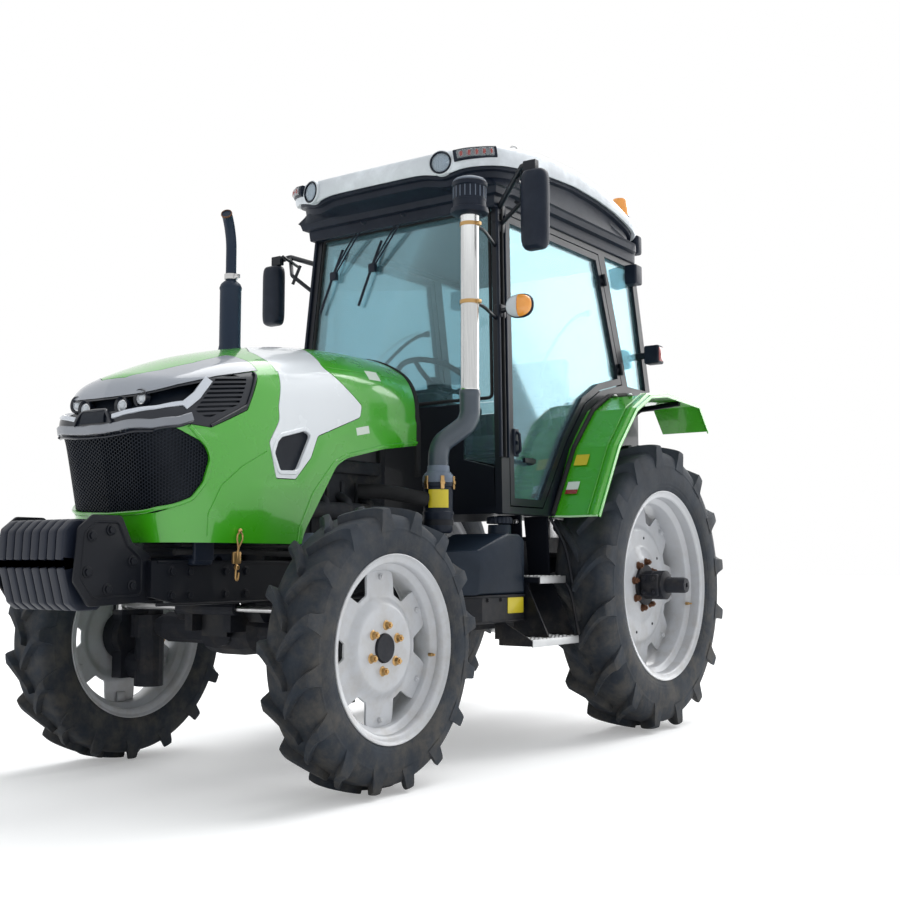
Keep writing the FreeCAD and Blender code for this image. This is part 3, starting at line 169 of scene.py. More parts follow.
def rounded(points, radius, steps=4, closed=True):
    """An outline with its corners rounded by arcs: each corner gives steps + 1 points."""
    p = np.asarray(points, float)
    radius = np.broadcast_to(np.asarray(radius, float), len(p))
    before, after = np.roll(p, 1, 0), np.roll(p, -1, 0)
    a, b = before - p, after - p
    la, lb = np.linalg.norm(a, axis=1), np.linalg.norm(b, axis=1)
    a, b = a / la[:, None], b / lb[:, None]
    half = np.arccos(np.clip((a * b).sum(1), -1, 1)) / 2
    reach = np.minimum(radius / np.maximum(np.tan(half), 1e-6), 0.48 * np.minimum(la, lb))
    s = np.linspace(0, 1, steps + 1)[None, :, None]
    start, end = (p + a * reach[:, None])[:, None], (p + b * reach[:, None])[:, None]
    corner = p[:, None]
    arc = start * (1 - s) ** 2 + corner * 2 * s * (1 - s) + end * s ** 2
    if not closed:
        return np.vstack([p[:1], arc[1:-1].reshape(-1, p.shape[1]), p[-1:]])
    return arc.reshape(-1, p.shape[1])


def swept(path, profile, closed=False, up=None, scale=None):
    """A profile of (side, up) points carried along a path.

    P(u, v) = path(u) + scale(u) * (profile_x(v) * side(u) + profile_y(v) * up(u))."""
    path = np.asarray(path, float)
    prof = np.asarray(profile, float)
    if closed:
        tangent = np.roll(path, -1, 0) - np.roll(path, 1, 0)
    else:
        tangent = np.gradient(path, axis=0)
    tangent /= np.linalg.norm(tangent, axis=1, keepdims=True)
    if up is None:
        spread = np.linalg.svd(path - path.mean(0))[2] if len(path) > 2 else np.eye(3)
        up = spread[2]
        if abs(np.abs(tangent @ up).max()) > 0.95 or len(path) == 2:
            up = frame_about(tangent[0])[1]
    side = np.cross(tangent, np.asarray(up, float))
    side /= np.linalg.norm(side, axis=1, keepdims=True)
    over = np.cross(side, tangent)
    size = np.ones(len(path)) if scale is None else np.asarray(scale, float)
    pts = path[:, None] + size[:, None, None] * (prof[None, :, 0, None] * side[:, None]
                                                 + prof[None, :, 1, None] * over[:, None])
    return grid(pts, wrap_u=closed, wrap_v=True, cap_start=not closed, cap_end=not closed)


def circle(radius, sides=16):
    """A round section of (side, up) points."""
    v = np.arange(sides) * TAU / sides
    return np.stack([radius * np.cos(v), radius * np.sin(v)], -1)


def tube(points, radius, count=None, sides=16, smooth=True, bend=None):
    """A round tube along a curve through the points, or along runs with rounded corners."""
    if bend is not None:
        path = rounded(points, bend, 8, closed=False)
    elif smooth and len(points) > 2:
        path = smooth_line(points, count or 12 * len(points))
    else:
        path = np.asarray(points, float)
    return swept(path, circle(radius, sides))


def slab(outline, low, high, axis=2, edge=0.0, steps=2):
    """A plate: an outline of two coordinates, from low to high along the third axis.

    Its rows are the outline drawn in by the edge's round at both faces."""
    o = np.asarray(outline, float)
    area = 0.5 * np.sum(o[:, 0] * np.roll(o[:, 1], -1) - np.roll(o[:, 0], -1) * o[:, 1])
    if area < 0:
        o = o[::-1]
    before, after = np.roll(o, 1, 0), np.roll(o, -1, 0)
    n1, n2 = o - before, after - o
    n1 /= np.linalg.norm(n1, axis=1, keepdims=True)
    n2 /= np.linalg.norm(n2, axis=1, keepdims=True)
    inward = np.stack([-(n1[:, 1] + n2[:, 1]), n1[:, 0] + n2[:, 0]], -1)
    inward /= np.maximum((inward * inward).sum(1, keepdims=True), 1.0) / 2
    rows = [(0.0, low), (0.0, high)]
    if edge:
        t = np.linspace(0, math.pi / 2, steps + 1)
        rows = [(edge * (1 - math.sin(a)), low + edge * (1 - math.cos(a)))
                for a in t] + [(edge * (1 - math.cos(a)), high - edge * (1 - math.sin(a))) for a in t]
    order = {0: (2, 0, 1), 1: (1, 2, 0), 2: (0, 1, 2)}[axis]
    rows_pts = []
    for inset, level in rows:
        flat = o + inward * inset
        rows_pts.append(np.column_stack([flat, np.full(len(flat), level)])[:, order])
    return grid(rows_pts, wrap_v=True, cap_start=True, cap_end=True)


def block(low, high, edge=0.003, corner=None, axis=2):
    """A box between two corners with rounded edges, its outline square to one axis."""
    low, high = np.minimum(low, high), np.maximum(low, high)
    i, j = {0: (1, 2), 1: (2, 0), 2: (0, 1)}[axis]
    outline = np.array([(low[i], low[j]), (high[i], low[j]), (high[i], high[j]), (low[i], high[j])])
    outline = rounded(outline, edge if corner is None else corner, 3)
    return slab(outline, low[axis], high[axis], axis, edge)


def plate(points, radius, low, high, axis=2, edge=0.0, steps=4, edge_steps=2):
    """A slab whose outline has corners rounded by one radius or by one radius each."""
    return slab(rounded(points, radius, steps), low, high, axis, edge, edge_steps)


def bulb(centre, radii, power=2.0, rows=16, sides=24):
    """A superellipsoid: |x/a|^p + |y/b|^p + |z/c|^p = 1, by signed powers of sine and cosine."""
    u = np.linspace(-math.pi / 2, math.pi / 2, rows)[:, None]
    v = np.arange(sides)[None] * TAU / sides
    k = 2.0 / power

    def signed(value):
        return np.sign(value) * np.abs(value) ** k

    x = signed(np.cos(u)) * signed(np.cos(v))
    y = signed(np.cos(u)) * signed(np.sin(v))
    z = signed(np.sin(u)) * np.ones_like(v)
    pts = np.stack([x, y, z], -1) * radii + centre
    return grid(pts, wrap_v=True)


def skin_of(mesh):
    """The points and faces of a finished mesh, its faces grouped by their number of corners."""
    points = np.empty(len(mesh.vertices) * 3)
    mesh.vertices.foreach_get("co", points)
    sizes = np.empty(len(mesh.polygons), int)
    mesh.polygons.foreach_get("loop_total", sizes)
    corners = np.empty(len(mesh.loops), int)
    mesh.loops.foreach_get("vertex_index", corners)
    starts = np.cumsum(sizes) - sizes
    return Skin(points, [corners[starts[sizes == n][:, None] + np.arange(n)] for n in np.unique(sizes)])


def bare_object(skin):
    """An object in the scene with the skin as its mesh."""
    mesh = bpy.data.meshes.new("bare")
    counts = np.concatenate([np.full(len(f), f.shape[1]) for f in skin.faces])
    corners = np.concatenate([f.ravel() for f in skin.faces])
    mesh.vertices.add(len(skin.points))
    mesh.vertices.foreach_set("co", skin.points.ravel())
    mesh.loops.add(len(corners))
    mesh.loops.foreach_set("vertex_index", corners)
    mesh.polygons.add(len(counts))
    mesh.polygons.foreach_set("loop_start", np.concatenate([[0], np.cumsum(counts)[:-1]]))
    mesh.polygons.foreach_set("use_smooth", np.ones(len(counts), bool))
    mesh.update(calc_edges=True)
    obj = bpy.data.objects.new("bare", mesh)
    bpy.context.scene.collection.objects.link(obj)
    return obj


def carved(skin, steps):
    """A closed skin after a row of steps: cut takes a closed skin away, keep leaves what lies
    in it, and add joins it on."""
    operations = {"cut": "DIFFERENCE", "keep": "INTERSECT", "add": "UNION"}
    obj = bare_object(skin)
    tools = []
    for step, tool in steps:
        tools.append(bare_object(tool))
        change = obj.modifiers.new(step, "BOOLEAN")
        change.operation, change.solver, change.object = operations[step], "MANIFOLD", tools[-1]
    made = obj.evaluated_get(bpy.context.evaluated_depsgraph_get())
    result = skin_of(made.to_mesh())
    made.to_mesh_clear()
    for used in [obj] + tools:
        mesh = used.data
        bpy.data.objects.remove(used)
        bpy.data.meshes.remove(mesh)
    return result


def piece(name, skin, material, slot=None, body="chassis", smooth=35.0, replaces=()):
    """Makes the object, with its material and its body, and hides the nodes it stands for.

    Skins are drawn with the front axle at y = 0, as in the part's source. The slot argument is not used."""
    obj = bare_object(skin.move(y=FRONT_Y))
    obj.name = obj.data.name = name
    mesh = obj.data
    mesh.validate()
    mesh.set_sharp_from_angle(angle=math.radians(smooth))
    mesh.materials.append(material)
    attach(obj, body)
    slot or USUAL_SLOT[material.name]
    if replaces:
        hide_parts(*replaces)
    return obj


# Finishes

class Value:
    """A node's output that takes part in arithmetic: each operation adds a Math node."""

    def __init__(self, finish, socket):
        self.finish, self.socket = finish, socket

    def _math(self, operation, *terms):
        return self.finish.node("ShaderNodeMath", {"operation": operation},
                                {i: t for i, t in enumerate(terms)})

    def __add__(self, other):
        return self._math("ADD", self, other)

    __radd__ = __add__

    def __mul__(self, other):
        return self._math("MULTIPLY", self, other)

    __rmul__ = __mul__

    def step(self, low, high, to_low=0.0, to_high=1.0):
        """A smooth step from low to high."""
        return self.finish.node("ShaderNodeMapRange", {"interpolation_type": "SMOOTHSTEP"},
                                {"Value": self, "From Min": low, "From Max": high, "To Min": to_low,
                                 "To Max": to_high})


class Finish:
    """One procedural material; node() adds any node and gives back its output."""

    def __init__(self, name):
        self.material = bpy.data.materials.new(name)
        self.material.use_nodes = True
        self.tree = self.material.node_tree
        self.tree.nodes.clear()
        self.place = self.node("ShaderNodeTexCoord", out="Object")

    def node(self, kind, settings=None, inputs=None, out=0):
        made = self.tree.nodes.new(kind)
        for key, value in (settings or {}).items():
            setattr(made, key, value)
        for key, value in (inputs or {}).items():
            socket = made.inputs[key]
            if isinstance(value, Value):
                self.tree.links.new(value.socket, socket)
            elif isinstance(value, (tuple, list)) and len(value) == 3 and (socket.type == "RGBA"):
                socket.default_value = *value, 1.0
            else:
                socket.default_value = value
        return Value(self, made.outputs[out])

    def noise(self, scale, detail=3.0, rough=0.5, place=None, out=0):
        return self.node("ShaderNodeTexNoise", None, {"Vector": place or self.place, "Scale": scale,
                                                      "Detail": detail, "Roughness": rough}, out)

    def stretched(self, x, y, z):
        """Object coordinates scaled by axis, for grain that runs one way."""
        return self.node("ShaderNodeMapping", None, {"Vector": self.place, "Scale": (x, y, z)})

    def part(self, axis):
        """One Object coordinate as a value."""
        return self.node("ShaderNodeSeparateXYZ", None, {"Vector": self.place}, axis)

    def mix(self, share, a, b):
        """Colour a where share is 0 and colour b where it is 1."""
        return self.node("ShaderNodeMix", {"data_type": "RGBA"}, {0: share, 6: a, 7: b}, 2)

    def bump(self, height, strength, distance):
        return self.node("ShaderNodeBump", None, {"Height": height, "Strength": strength,
                                                  "Distance": distance})

    def shade(self, **inputs):
        """The Principled shader, with sockets named in words joined by underscores."""
        named = {key.replace("_", " "): value for key, value in inputs.items()}
        return self.show(self.node("ShaderNodeBsdfPrincipled", None, named))

    def show(self, shader):
        output = self.tree.nodes.new("ShaderNodeOutputMaterial")
        self.tree.links.new(shader.socket, output.inputs["Surface"])
        return self.material


def linear(r, g, b):
    """A colour read off a screen, 0 to 255, as the linear values that shaders take."""
    def one(c):
        c /= 255.0
        return c / 12.92 if c <= 0.04045 else ((c + 0.055) / 1.055) ** 2.4
    return one(r), one(g), one(b)


DUST = linear(150, 138, 118)


def painted(name, colour, shade, rough=0.28, coat=0.6, dust=0.0, dust_top=1.0, gloss=0.5):
    """Sprayed paint: slight mottling, orange peel in the gloss, dust that settles low down."""
    f = Finish(name)
    base = f.mix(f.noise(2.2, 4.0) * 0.6, colour, shade)
    rough_value = f.noise(9.0, 5.0) * 0.12 + rough
    if dust:
        low = f.part(2).step(0.25, dust_top, 1.0, 0.0)
        settle = low * f.noise(14.0, 6.0, 0.65).step(0.38, 0.72) * dust
        base = f.mix(settle, base, DUST)
        rough_value = rough_value + settle * 0.45
    normal = f.bump(f.noise(260.0, 2.0), 0.1, 0.0006)
    return f.shade(Base_Color=base, Roughness=rough_value, Normal=normal, Coat_Weight=coat,
                   Coat_Roughness=0.06, Specular_IOR_Level=gloss)


def moulded(name, colour, rough=0.5, grain=900.0, depth=0.25, dust=0.0, dust_top=1.0, gloss=0.25):
    """Moulded plastic: fine leather grain, faint scuffs and settled dust."""
    f = Finish(name)
    lighter = tuple((min(1.0, c * 1.35 + 0.006) for c in colour))
    base = f.mix(f.noise(6.0, 5.0, 0.6).step(0.35, 0.75), colour, lighter)
    scuff = f.noise(30.0, 8.0, 0.7).step(0.55, 0.8)
    rough_value = scuff * 0.15 + rough
    if dust:
        low = f.part(2).step(0.25, dust_top, 1.0, 0.0)
        settle = low * f.noise(11.0, 7.0, 0.65).step(0.35, 0.75) * dust
        base = f.mix(settle, base, DUST)
        rough_value = rough_value + settle * 0.3
    cells = f.node("ShaderNodeTexVoronoi", {"feature": "F1"}, {"Vector": f.place, "Scale": grain})
    normal = f.bump(cells, depth, 0.0004)
    return f.shade(Base_Color=base, Roughness=rough_value, Normal=normal, Specular_IOR_Level=gloss)


def cast(name, colour, rough=0.55, dust=0.35):
    """Painted casting: sand-cast lumps and patches of dust."""
    f = Finish(name)
    lighter = tuple((c * 1.8 + 0.01 for c in colour))
    base = f.mix(f.noise(18.0, 6.0, 0.6), colour, lighter)
    settle = f.noise(7.0, 8.0, 0.7).step(0.45, 0.8) * dust
    base = f.mix(settle, base, DUST)
    normal = f.bump(f.noise(140.0, 6.0, 0.7), 0.35, 0.0015)
    return f.shade(Base_Color=base, Roughness=f.noise(24.0) * 0.2 + rough, Normal=normal,
                   Specular_IOR_Level=0.25)


def metal(name, colour, rough=0.22, across=(1, 1, 60), depth=0.08, spots=0.0):
    """Bare metal, brushed one way, with faint water spots."""
    f = Finish(name)
    streak = f.noise(9.0, 4.0, 0.5, f.stretched(*across))
    darker = tuple((c * 0.72 for c in colour))
    base = f.mix(streak, colour, darker)
    if spots:
        base = f.mix(f.noise(22.0, 8.0, 0.7).step(0.6, 0.75) * spots, base, linear(110, 78, 48))
    return f.shade(Base_Color=base, Metallic=1.0, Roughness=streak * 0.16 + rough,
                   Normal=f.bump(streak, depth, 0.0005))


def tinted_glass(name, tint, strength, haze=0.1):
    """A thin tinted pane: see-through with a faint haze, more mirror-like at a glancing angle."""
    f = Finish(name)
    clear = f.node("ShaderNodeBsdfTransparent", None, {"Color": tint})
    gloss = f.node("ShaderNodeBsdfGlossy", None, {"Color": (0.8, 0.95, 1.0), "Roughness": 0.03})
    facing = f.node("ShaderNodeLayerWeight", None, {"Blend": 0.35}, "Fresnel")
    pane = f.node("ShaderNodeMixShader", None, {0: facing * strength, 1: clear, 2: gloss})
    film = f.node("ShaderNodeBsdfDiffuse", None, {"Color": (0.4, 0.62, 0.68)})
    return f.show(f.node("ShaderNodeMixShader", None, {0: haze, 1: pane, 2: film}))


def clear_cover(name, tint, cloudiness):
    """Clear moulded plastic: see-through face on, brighter at a glancing angle, finely ribbed."""
    f = Finish(name)
    ribs = f.node("ShaderNodeTexWave", {"wave_type": "BANDS", "bands_direction": "X"},
                  {"Vector": f.place, "Scale": 38.0, "Distortion": 0.6})
    normal = f.bump(ribs, 0.35, 0.002)
    clear = f.node("ShaderNodeBsdfTransparent", None, {"Color": tint})
    gloss = f.node("ShaderNodeBsdfPrincipled", None, {"Base Color": tint, "Roughness": 0.08,
                                                      "Normal": normal, "Coat Weight": 1.0})
    facing_share = f.node("ShaderNodeLayerWeight", None, {"Blend": 0.4, "Normal": normal}, "Fresnel")
    return f.show(f.node("ShaderNodeMixShader", None, {0: facing_share * 0.6 + cloudiness, 1: clear,
                                                       2: gloss}))


m_green = painted("gloss_green_paint", linear(66, 172, 18), linear(38, 148, 10), 0.22, 0.9, dust=0.05,
                  dust_top=1.1)
m_white = painted("gloss_white_panel", linear(236, 240, 244), linear(222, 228, 234), 0.2, 0.7)
m_band = painted("dark_grey_moulding", linear(26, 31, 42), linear(16, 20, 29), 0.24, 0.35, gloss=0.3)
m_visor = painted("silver_visor_paint", linear(150, 156, 166), linear(128, 134, 144), 0.24, 0.8)
m_trim = painted("grey_trim_bar", linear(128, 132, 140), linear(110, 114, 122), 0.32, 0.4)
m_silver_trim = painted("silver_lamp_trim", linear(206, 211, 220), linear(190, 196, 206), 0.22, 0.8)
m_weight = painted("weight_black_paint", linear(24, 31, 46), linear(17, 22, 34), 0.42, 0.1, dust=0.05,
                   gloss=0.25)
m_chrome = metal("bright_lamp_ring", (0.85, 0.86, 0.88), 0.08, (1, 1, 1), 0.02)
m_label = painted("blank_label", linear(222, 232, 222), linear(206, 218, 206), 0.35, 0.2)
m_cab = painted("satin_black_paint", linear(14, 20, 30), linear(9, 13, 21), 0.38, 0.12, dust=0.06,
                gloss=0.25)
m_chassis = painted("black_chassis_paint", linear(13, 17, 26), linear(8, 11, 18), 0.42, 0.05, dust=0.16,
                    dust_top=0.8, gloss=0.22)
m_cast = cast("black_castings", linear(15, 18, 26), dust=0.12)
m_engine = cast("engine_castings", linear(30, 33, 38), 0.6, 0.25)
m_silver = painted("silver_wheel_paint", linear(196, 198, 202), linear(176, 178, 183), 0.34, 0.3,
                   dust=0.3, dust_top=1.4)
m_plastic = moulded("black_plastic", linear(15, 24, 38), 0.45, gloss=0.22)
m_tank = moulded("slate_tank_plastic", linear(15, 28, 42), 0.42, dust=0.04, gloss=0.22)
m_roof = moulded("light_grey_roof", linear(208, 213, 218), 0.38, 700.0, 0.12)
m_grille = moulded("grille_plastic", linear(11, 19, 30), 0.5, gloss=0.2)
m_exhaust = painted("heatproof_black", linear(24, 40, 60), linear(17, 30, 46), 0.45, 0.05, gloss=0.25)
m_steel = metal("polished_steel", (0.66, 0.67, 0.67), 0.16, (40, 40, 1), 0.04)
m_bright = metal("ground_steel", (0.62, 0.62, 0.62), 0.25)
m_rubber = moulded("black_rubber", linear(22, 23, 25), 0.7, 600.0)
m_lens = painted("clear_lens", linear(210, 216, 222), linear(190, 198, 206), 0.08, 1.0)
m_fabric = moulded("seat_fabric", linear(52, 54, 58), 0.85, 1500.0, 0.6)
m_bronze = metal("gold_plated_steel", linear(196, 160, 108), 0.32, (1, 1, 1), 0.1)
m_rust = metal("rusty_steel", linear(120, 88, 70), 0.6, (1, 1, 1), 0.5, 0.8)
m_glass = tinted_glass("tinted_glass", (0.735, 0.845, 0.87), 0.6, 0.08)
m_tyre = moulded("tyre_rubber", linear(38, 44, 52), 0.72, 400.0, 0.3, dust=0.2, dust_top=1.6, gloss=0.2)
m_amber = painted("amber_lens", linear(250, 168, 60), linear(240, 140, 36), 0.12, 1.0)
m_red = painted("red_lens", linear(158, 44, 40), linear(120, 26, 26), 0.12, 1.0)
m_yellow = painted("yellow_blank_plate", linear(214, 196, 40), linear(200, 180, 30), 0.35, 0.2)
m_clear = clear_cover("clear_lamp_cover", linear(226, 234, 240), 0.22)
m_mirror = metal("mirror_glass", (0.86, 0.9, 0.92), 0.03, (1, 1, 1), 0.0)
m_elbow = painted("grey_elbow", linear(58, 70, 82), linear(44, 55, 66), 0.36, 0.3)
m_cap_grey = moulded("grey_cap", linear(98, 108, 122), 0.45)
m_alu = metal("pressed_aluminium", (0.62, 0.63, 0.64), 0.34, (1, 1, 1), 0.15)
# pale green that paints the highlight along the fenders' rounded outer edge and foot
m_painted_highlight_edge = painted("pale_edge_paint", linear(196, 236, 190), linear(176, 222, 168), 0.25, 0.8)

# Each slot's finish on the CAD's nodes, then what else new pieces of the slot usually wear. A
# finish that stands twice has the later slot as its usual one.
FINISHES = {"radiator": [m_plastic], "linkage_steel": [m_chassis], "cab_glass": [m_glass],
            "body_green": [m_green, m_painted_highlight_edge, m_yellow], "panel_white": [m_white, m_label],
            "band_grey": [m_band, m_visor, m_trim, m_silver_trim], "grille_black": [m_grille],
            "cab_black": [m_cab], "roof_grey": [m_roof], "tank_plastic": [m_tank],
            "cab_plastic": [m_plastic, m_cap_grey, m_mirror], "chassis_black": [m_chassis, m_alu],
            "lamp_plastic": [m_lens, m_clear, m_chrome, m_red, m_amber], "cast_black": [m_cast, m_weight],
            "engine_iron": [m_engine], "exhaust_black": [m_exhaust], "polished_steel": [m_steel, m_elbow],
            "bright_steel": [m_bright, m_bronze, m_rust], "rim_silver": [m_silver],
            "tyre_rubber": [m_tyre], "soft_rubber": [m_rubber], "seat_fabric": [m_fabric]}
USUAL_SLOT = {finish.name: slot for slot, finishes in FINISHES.items() for finish in finishes}
slot_of = {s["node"]: s["material_slot"] for s in frame["record"]["subparts"]}
for node, obj in frame["nodes"].items():
    obj.data.materials.clear()
    obj.data.materials.append(FINISHES[slot_of[node]][0])

# Wheels: every piece is drawn with the front axle at y = 0, as the part's source does

def wheel_skin(rows, centre, x_sign=1):
    """Points (x, radius, angle) placed round a wheel's centre: angle 0 is at the ground."""
    x, r, a = rows[..., 0], rows[..., 1], rows[..., 2]
    return np.stack([centre[0] + x_sign * x, centre[1] + r * np.sin(a), centre[2] - r * np.cos(a)], -1)


def tyre(centre, radius, half_w, flange, seat_r, lug_h, lugs, slant):
    """Casing and tread bars.

    Casing: a smooth half profile (x, r), mirrored and carried round. Bar i on one side, with s
    from the middle of the tread to the shoulder: x = half_w * (-0.07 + 1.06 s), wheel angle
    a = i * pitch + slant * (1 - (1 - s)^1.5), and a section of foot, flanks and rounded top."""
    crown = radius - lug_h
    flange_x, flange_r = flange
    wall = crown - flange_r
    half = smooth_line([(flange_x - 0.013, seat_r), (flange_x - 0.01, flange_r - 0.004),
                        (flange_x - 0.003, flange_r + 0.003), (half_w * 0.965, flange_r + wall * 0.22),
                        (half_w * 0.985, flange_r + wall * 0.45), (half_w * 0.96, flange_r + wall * 0.7),
                        (half_w * 0.88, flange_r + wall * 0.88), (half_w * 0.7, crown - lug_h * 0.12),
                        (half_w * 0.4, crown), (0.0, crown + lug_h * 0.05)], 64)
    for at, height, width in ((0.1, 0.0016, 0.0022), (0.18, 0.001, 0.0016), (0.62, 0.0014, 0.002)):
        half[:, 0] += height * np.exp(-((half[:, 1] - flange_r - wall * at) / width) ** 2)
    profile = np.vstack([half, (half * (-1, 1))[::-1][1:]])
    v = np.arange(144) * TAU / 144
    rows = np.empty((len(profile), len(v), 3))
    rows[..., 0], rows[..., 1], rows[..., 2] = profile[:, None, 0], profile[:, None, 1], v[None]
    skins = [grid(wheel_skin(rows, centre), wrap_v=True)]

    s = np.linspace(0, 1, 15)
    x = half_w * (-0.07 + 1.06 * s)
    a = slant * (1 - (1 - s) ** 1.5)
    top = radius - lug_h * (0.02 + 0.3 * s ** 6)
    tread = half[half[:, 0].argmax():][::-1]
    foot = np.interp(np.abs(x), tread[:, 0], tread[:, 1]) - 0.012
    foot[-2:] = flange_r + wall * 0.72, flange_r + wall * 0.6
    wide = lug_h * (0.52 + 0.16 * s + 0.1 * s ** 8)
    section = [  # share of the half width, share of the way from foot to top
        (1.75, 0.0), (1.30, 0.40), (1.06, 0.86), (0.86, 0.985), (0.0, 1.0),
        (-0.86, 0.985), (-1.06, 0.86), (-1.30, 0.40), (-1.75, 0.0)]
    across, up = np.array(section).T
    r = foot[:, None] + (top - foot)[:, None] * up
    bar = np.empty(r.shape + (3,))
    bar[..., 0], bar[..., 1], bar[..., 2] = x[:, None], r, a[:, None] + wide[:, None] * across / r
    end = bar[-1:].copy()
    end[..., 0] += half_w * 0.008
    end[..., 1] -= lug_h * 0.05
    bar = np.concatenate([bar, end])
    for i in range(lugs):
        for sign, shift in ((1, 0.0), (-1, 0.5)):
            turned_bar = bar + (0, 0, TAU * (i + shift) / lugs)
            skins.append(grid(wheel_skin(turned_bar, centre, sign), wrap_v=True, cap_start=True,
                              cap_end=True))
    return joined(skins)


def rim_skin(centre, flange, seat_r, well_r, inner_x):
    """The rim: a bent strip turned round the axle, rolled over at both flanges."""
    fx, fr = flange
    half = [(fx - 0.001, fr - 0.0005), (fx, fr - 0.003), (fx - 0.002, fr - 0.006),
            (fx - 0.008, fr - 0.01), (fx - 0.01, fr - 0.016), (fx - 0.011, seat_r + 0.002),
            (fx - 0.016, seat_r - 0.003), (inner_x + 0.02, seat_r - 0.006),
            (inner_x + 0.014, seat_r - 0.004), (inner_x + 0.008, seat_r - 0.01),
            (inner_x, well_r + 0.004), (inner_x - 0.006, well_r)]
    inside = np.array(half)
    skin_out = inside + (0.0, 0.0045)
    skin_out[:2] = [(fx - 0.005, fr), (fx - 0.0055, fr - 0.002)]
    skin_out[2:6, 0] -= 0.004
    both = np.vstack([inside, (inside * (-1, 1))[::-1], skin_out * (-1, 1), skin_out[::-1]])
    v = np.arange(128) * TAU / 128
    rows = np.empty((len(both), len(v), 3))
    rows[..., 0], rows[..., 1], rows[..., 2] = both[:, None, 0], both[:, None, 1], v[None]
    return grid(wheel_skin(rows, centre), wrap_u=True, wrap_v=True)


def disc_skin(centre, bore, waist, reach, lobes, steps, half_lobe, thick):
    """A pressed disc whose edge swings between a waist and lobes that reach the rim.

    Edge: R(v) = waist + (reach - waist) * smooth(|v| / lobe), face: x = steps(r)."""
    v = np.arange(lobes * 36) * TAU / (lobes * 36)
    off = np.abs((v * lobes / TAU + 0.5) % 1 - 0.5) * TAU / lobes
    t = np.clip((off - half_lobe) / (half_lobe * 0.75), 0, 1)
    edge = reach + (waist - reach) * t * t * (3 - 2 * t)
    k = np.linspace(0, 1, 48)[:, None]
    r = bore + (edge[None] - bore) * k
    at, face = np.array(steps).T
    x = np.interp(r, at, face)
    soft = [np.interp(r + d, at, face) for d in (-0.006, -0.003, 0.003, 0.006)]
    x = (x + sum(soft)) / 5
    front, back = np.stack([x, r], -1), np.stack([x - thick, r], -1)
    lip = np.stack([x[-1] - thick / 2, r[-1] + thick * 0.35], -1)[None]
    both = np.concatenate([front, lip, back[::-1]])
    rows = np.concatenate([both, np.broadcast_to((v + math.pi)[None, :, None], both.shape[:2] + (1,))],
                          -1)
    return grid(wheel_skin(rows, centre), wrap_u=True, wrap_v=True)


def nut(place, axis, across, height):
    """A six-sided nut or bolt head with a chamfered top, on a washer."""
    r = across / 2 / math.cos(math.pi / 6)
    washer = turned([(0, r * 1.25), (height * 0.12, r * 1.25), (height * 0.16, r * 1.18)], place, axis,
                    20)
    head = turned([(0, r), (height * 0.85, r), (height, r * 0.86)], place, axis, 6)
    end = turned([(0, r * 0.5), (height * 1.25, r * 0.5), (height * 1.32, r * 0.42)], place, axis, 14)
    return joined([washer, head, end])


def ring_of(make, centre, radius, count, x, start=0.0):
    """Copies of one small skin round a wheel's axle, at an x and a radius."""
    skins = []
    for i in range(count):
        a = start + TAU * i / count
        skins.append(make((centre[0] + x, centre[1] + radius * math.sin(a), centre[2] + radius
                           * math.cos(a))))
    return joined(skins)


def tab(place, back, half):
    """A welded tab behind the rim's bolts, from its back to 10 mm short of a place."""
    return block(np.array(place) - (back, half, half), np.array(place) + (-0.01, half, half), 0.003)


OUT = 1, 0, 0
WHEELBASE = REAR_Y - FRONT_Y
FRONT_C = np.array(joint_at["front_wheel_left_roll"]) - (0, FRONT_Y, 0)
REAR_C = np.array(joint_at["rear_wheel_left_roll"]) - (0, FRONT_Y, 0)
SLANT = -math.radians(14)

front_flange, rear_flange = (0.0965, 0.329), (0.1315, 0.454)
front_tyre = tyre(FRONT_C, FRONT_C[2] - 0.0012, 0.1045, front_flange, 0.306, 0.028, 16, SLANT)
rear_tyre = tyre(REAR_C, REAR_C[2] - 0.0012, 0.1455, rear_flange, 0.43, 0.034, 16, SLANT)

front_rim = rim_skin(FRONT_C, front_flange, 0.3, 0.272, 0.042)
front_disc = disc_skin(FRONT_C, 0.052, 0.196, 0.2735, 6, [(0.0, 0.04), (0.15, 0.044), (0.18, 0.024),
                                                          (0.3, 0.018)], 0.235, 0.009)
front_tabs = ring_of(lambda p: tab(p, 0.02, 0.02), FRONT_C, 0.252, 6, 0.018)
front_bolts = ring_of(lambda p: nut(p, OUT, 0.02, 0.012), FRONT_C, 0.248, 6, 0.018)
rear_rim = rim_skin(REAR_C, rear_flange, 0.424, 0.392, 0.058)
rear_disc = disc_skin(REAR_C, 0.066, 0.318, 0.3935, 8, [(0.0, 0.012), (0.125, 0.01), (0.185, -0.012),
                                                        (0.27, -0.01), (0.292, -0.022), (0.42, -0.024)],
                      0.19, 0.01)
rear_tabs = ring_of(lambda p: tab(p, 0.022, 0.024), REAR_C, 0.372, 8, -0.02)
rear_bolts = ring_of(lambda p: nut(p, OUT, 0.024, 0.014), REAR_C, 0.364, 8, -0.023)
rear_dots = ring_of(lambda p: turned([(0, 0.007), (0.0015, 0.0065)], p, OUT, 14), REAR_C, 0.232, 8,
                    -0.0105, 0.2)

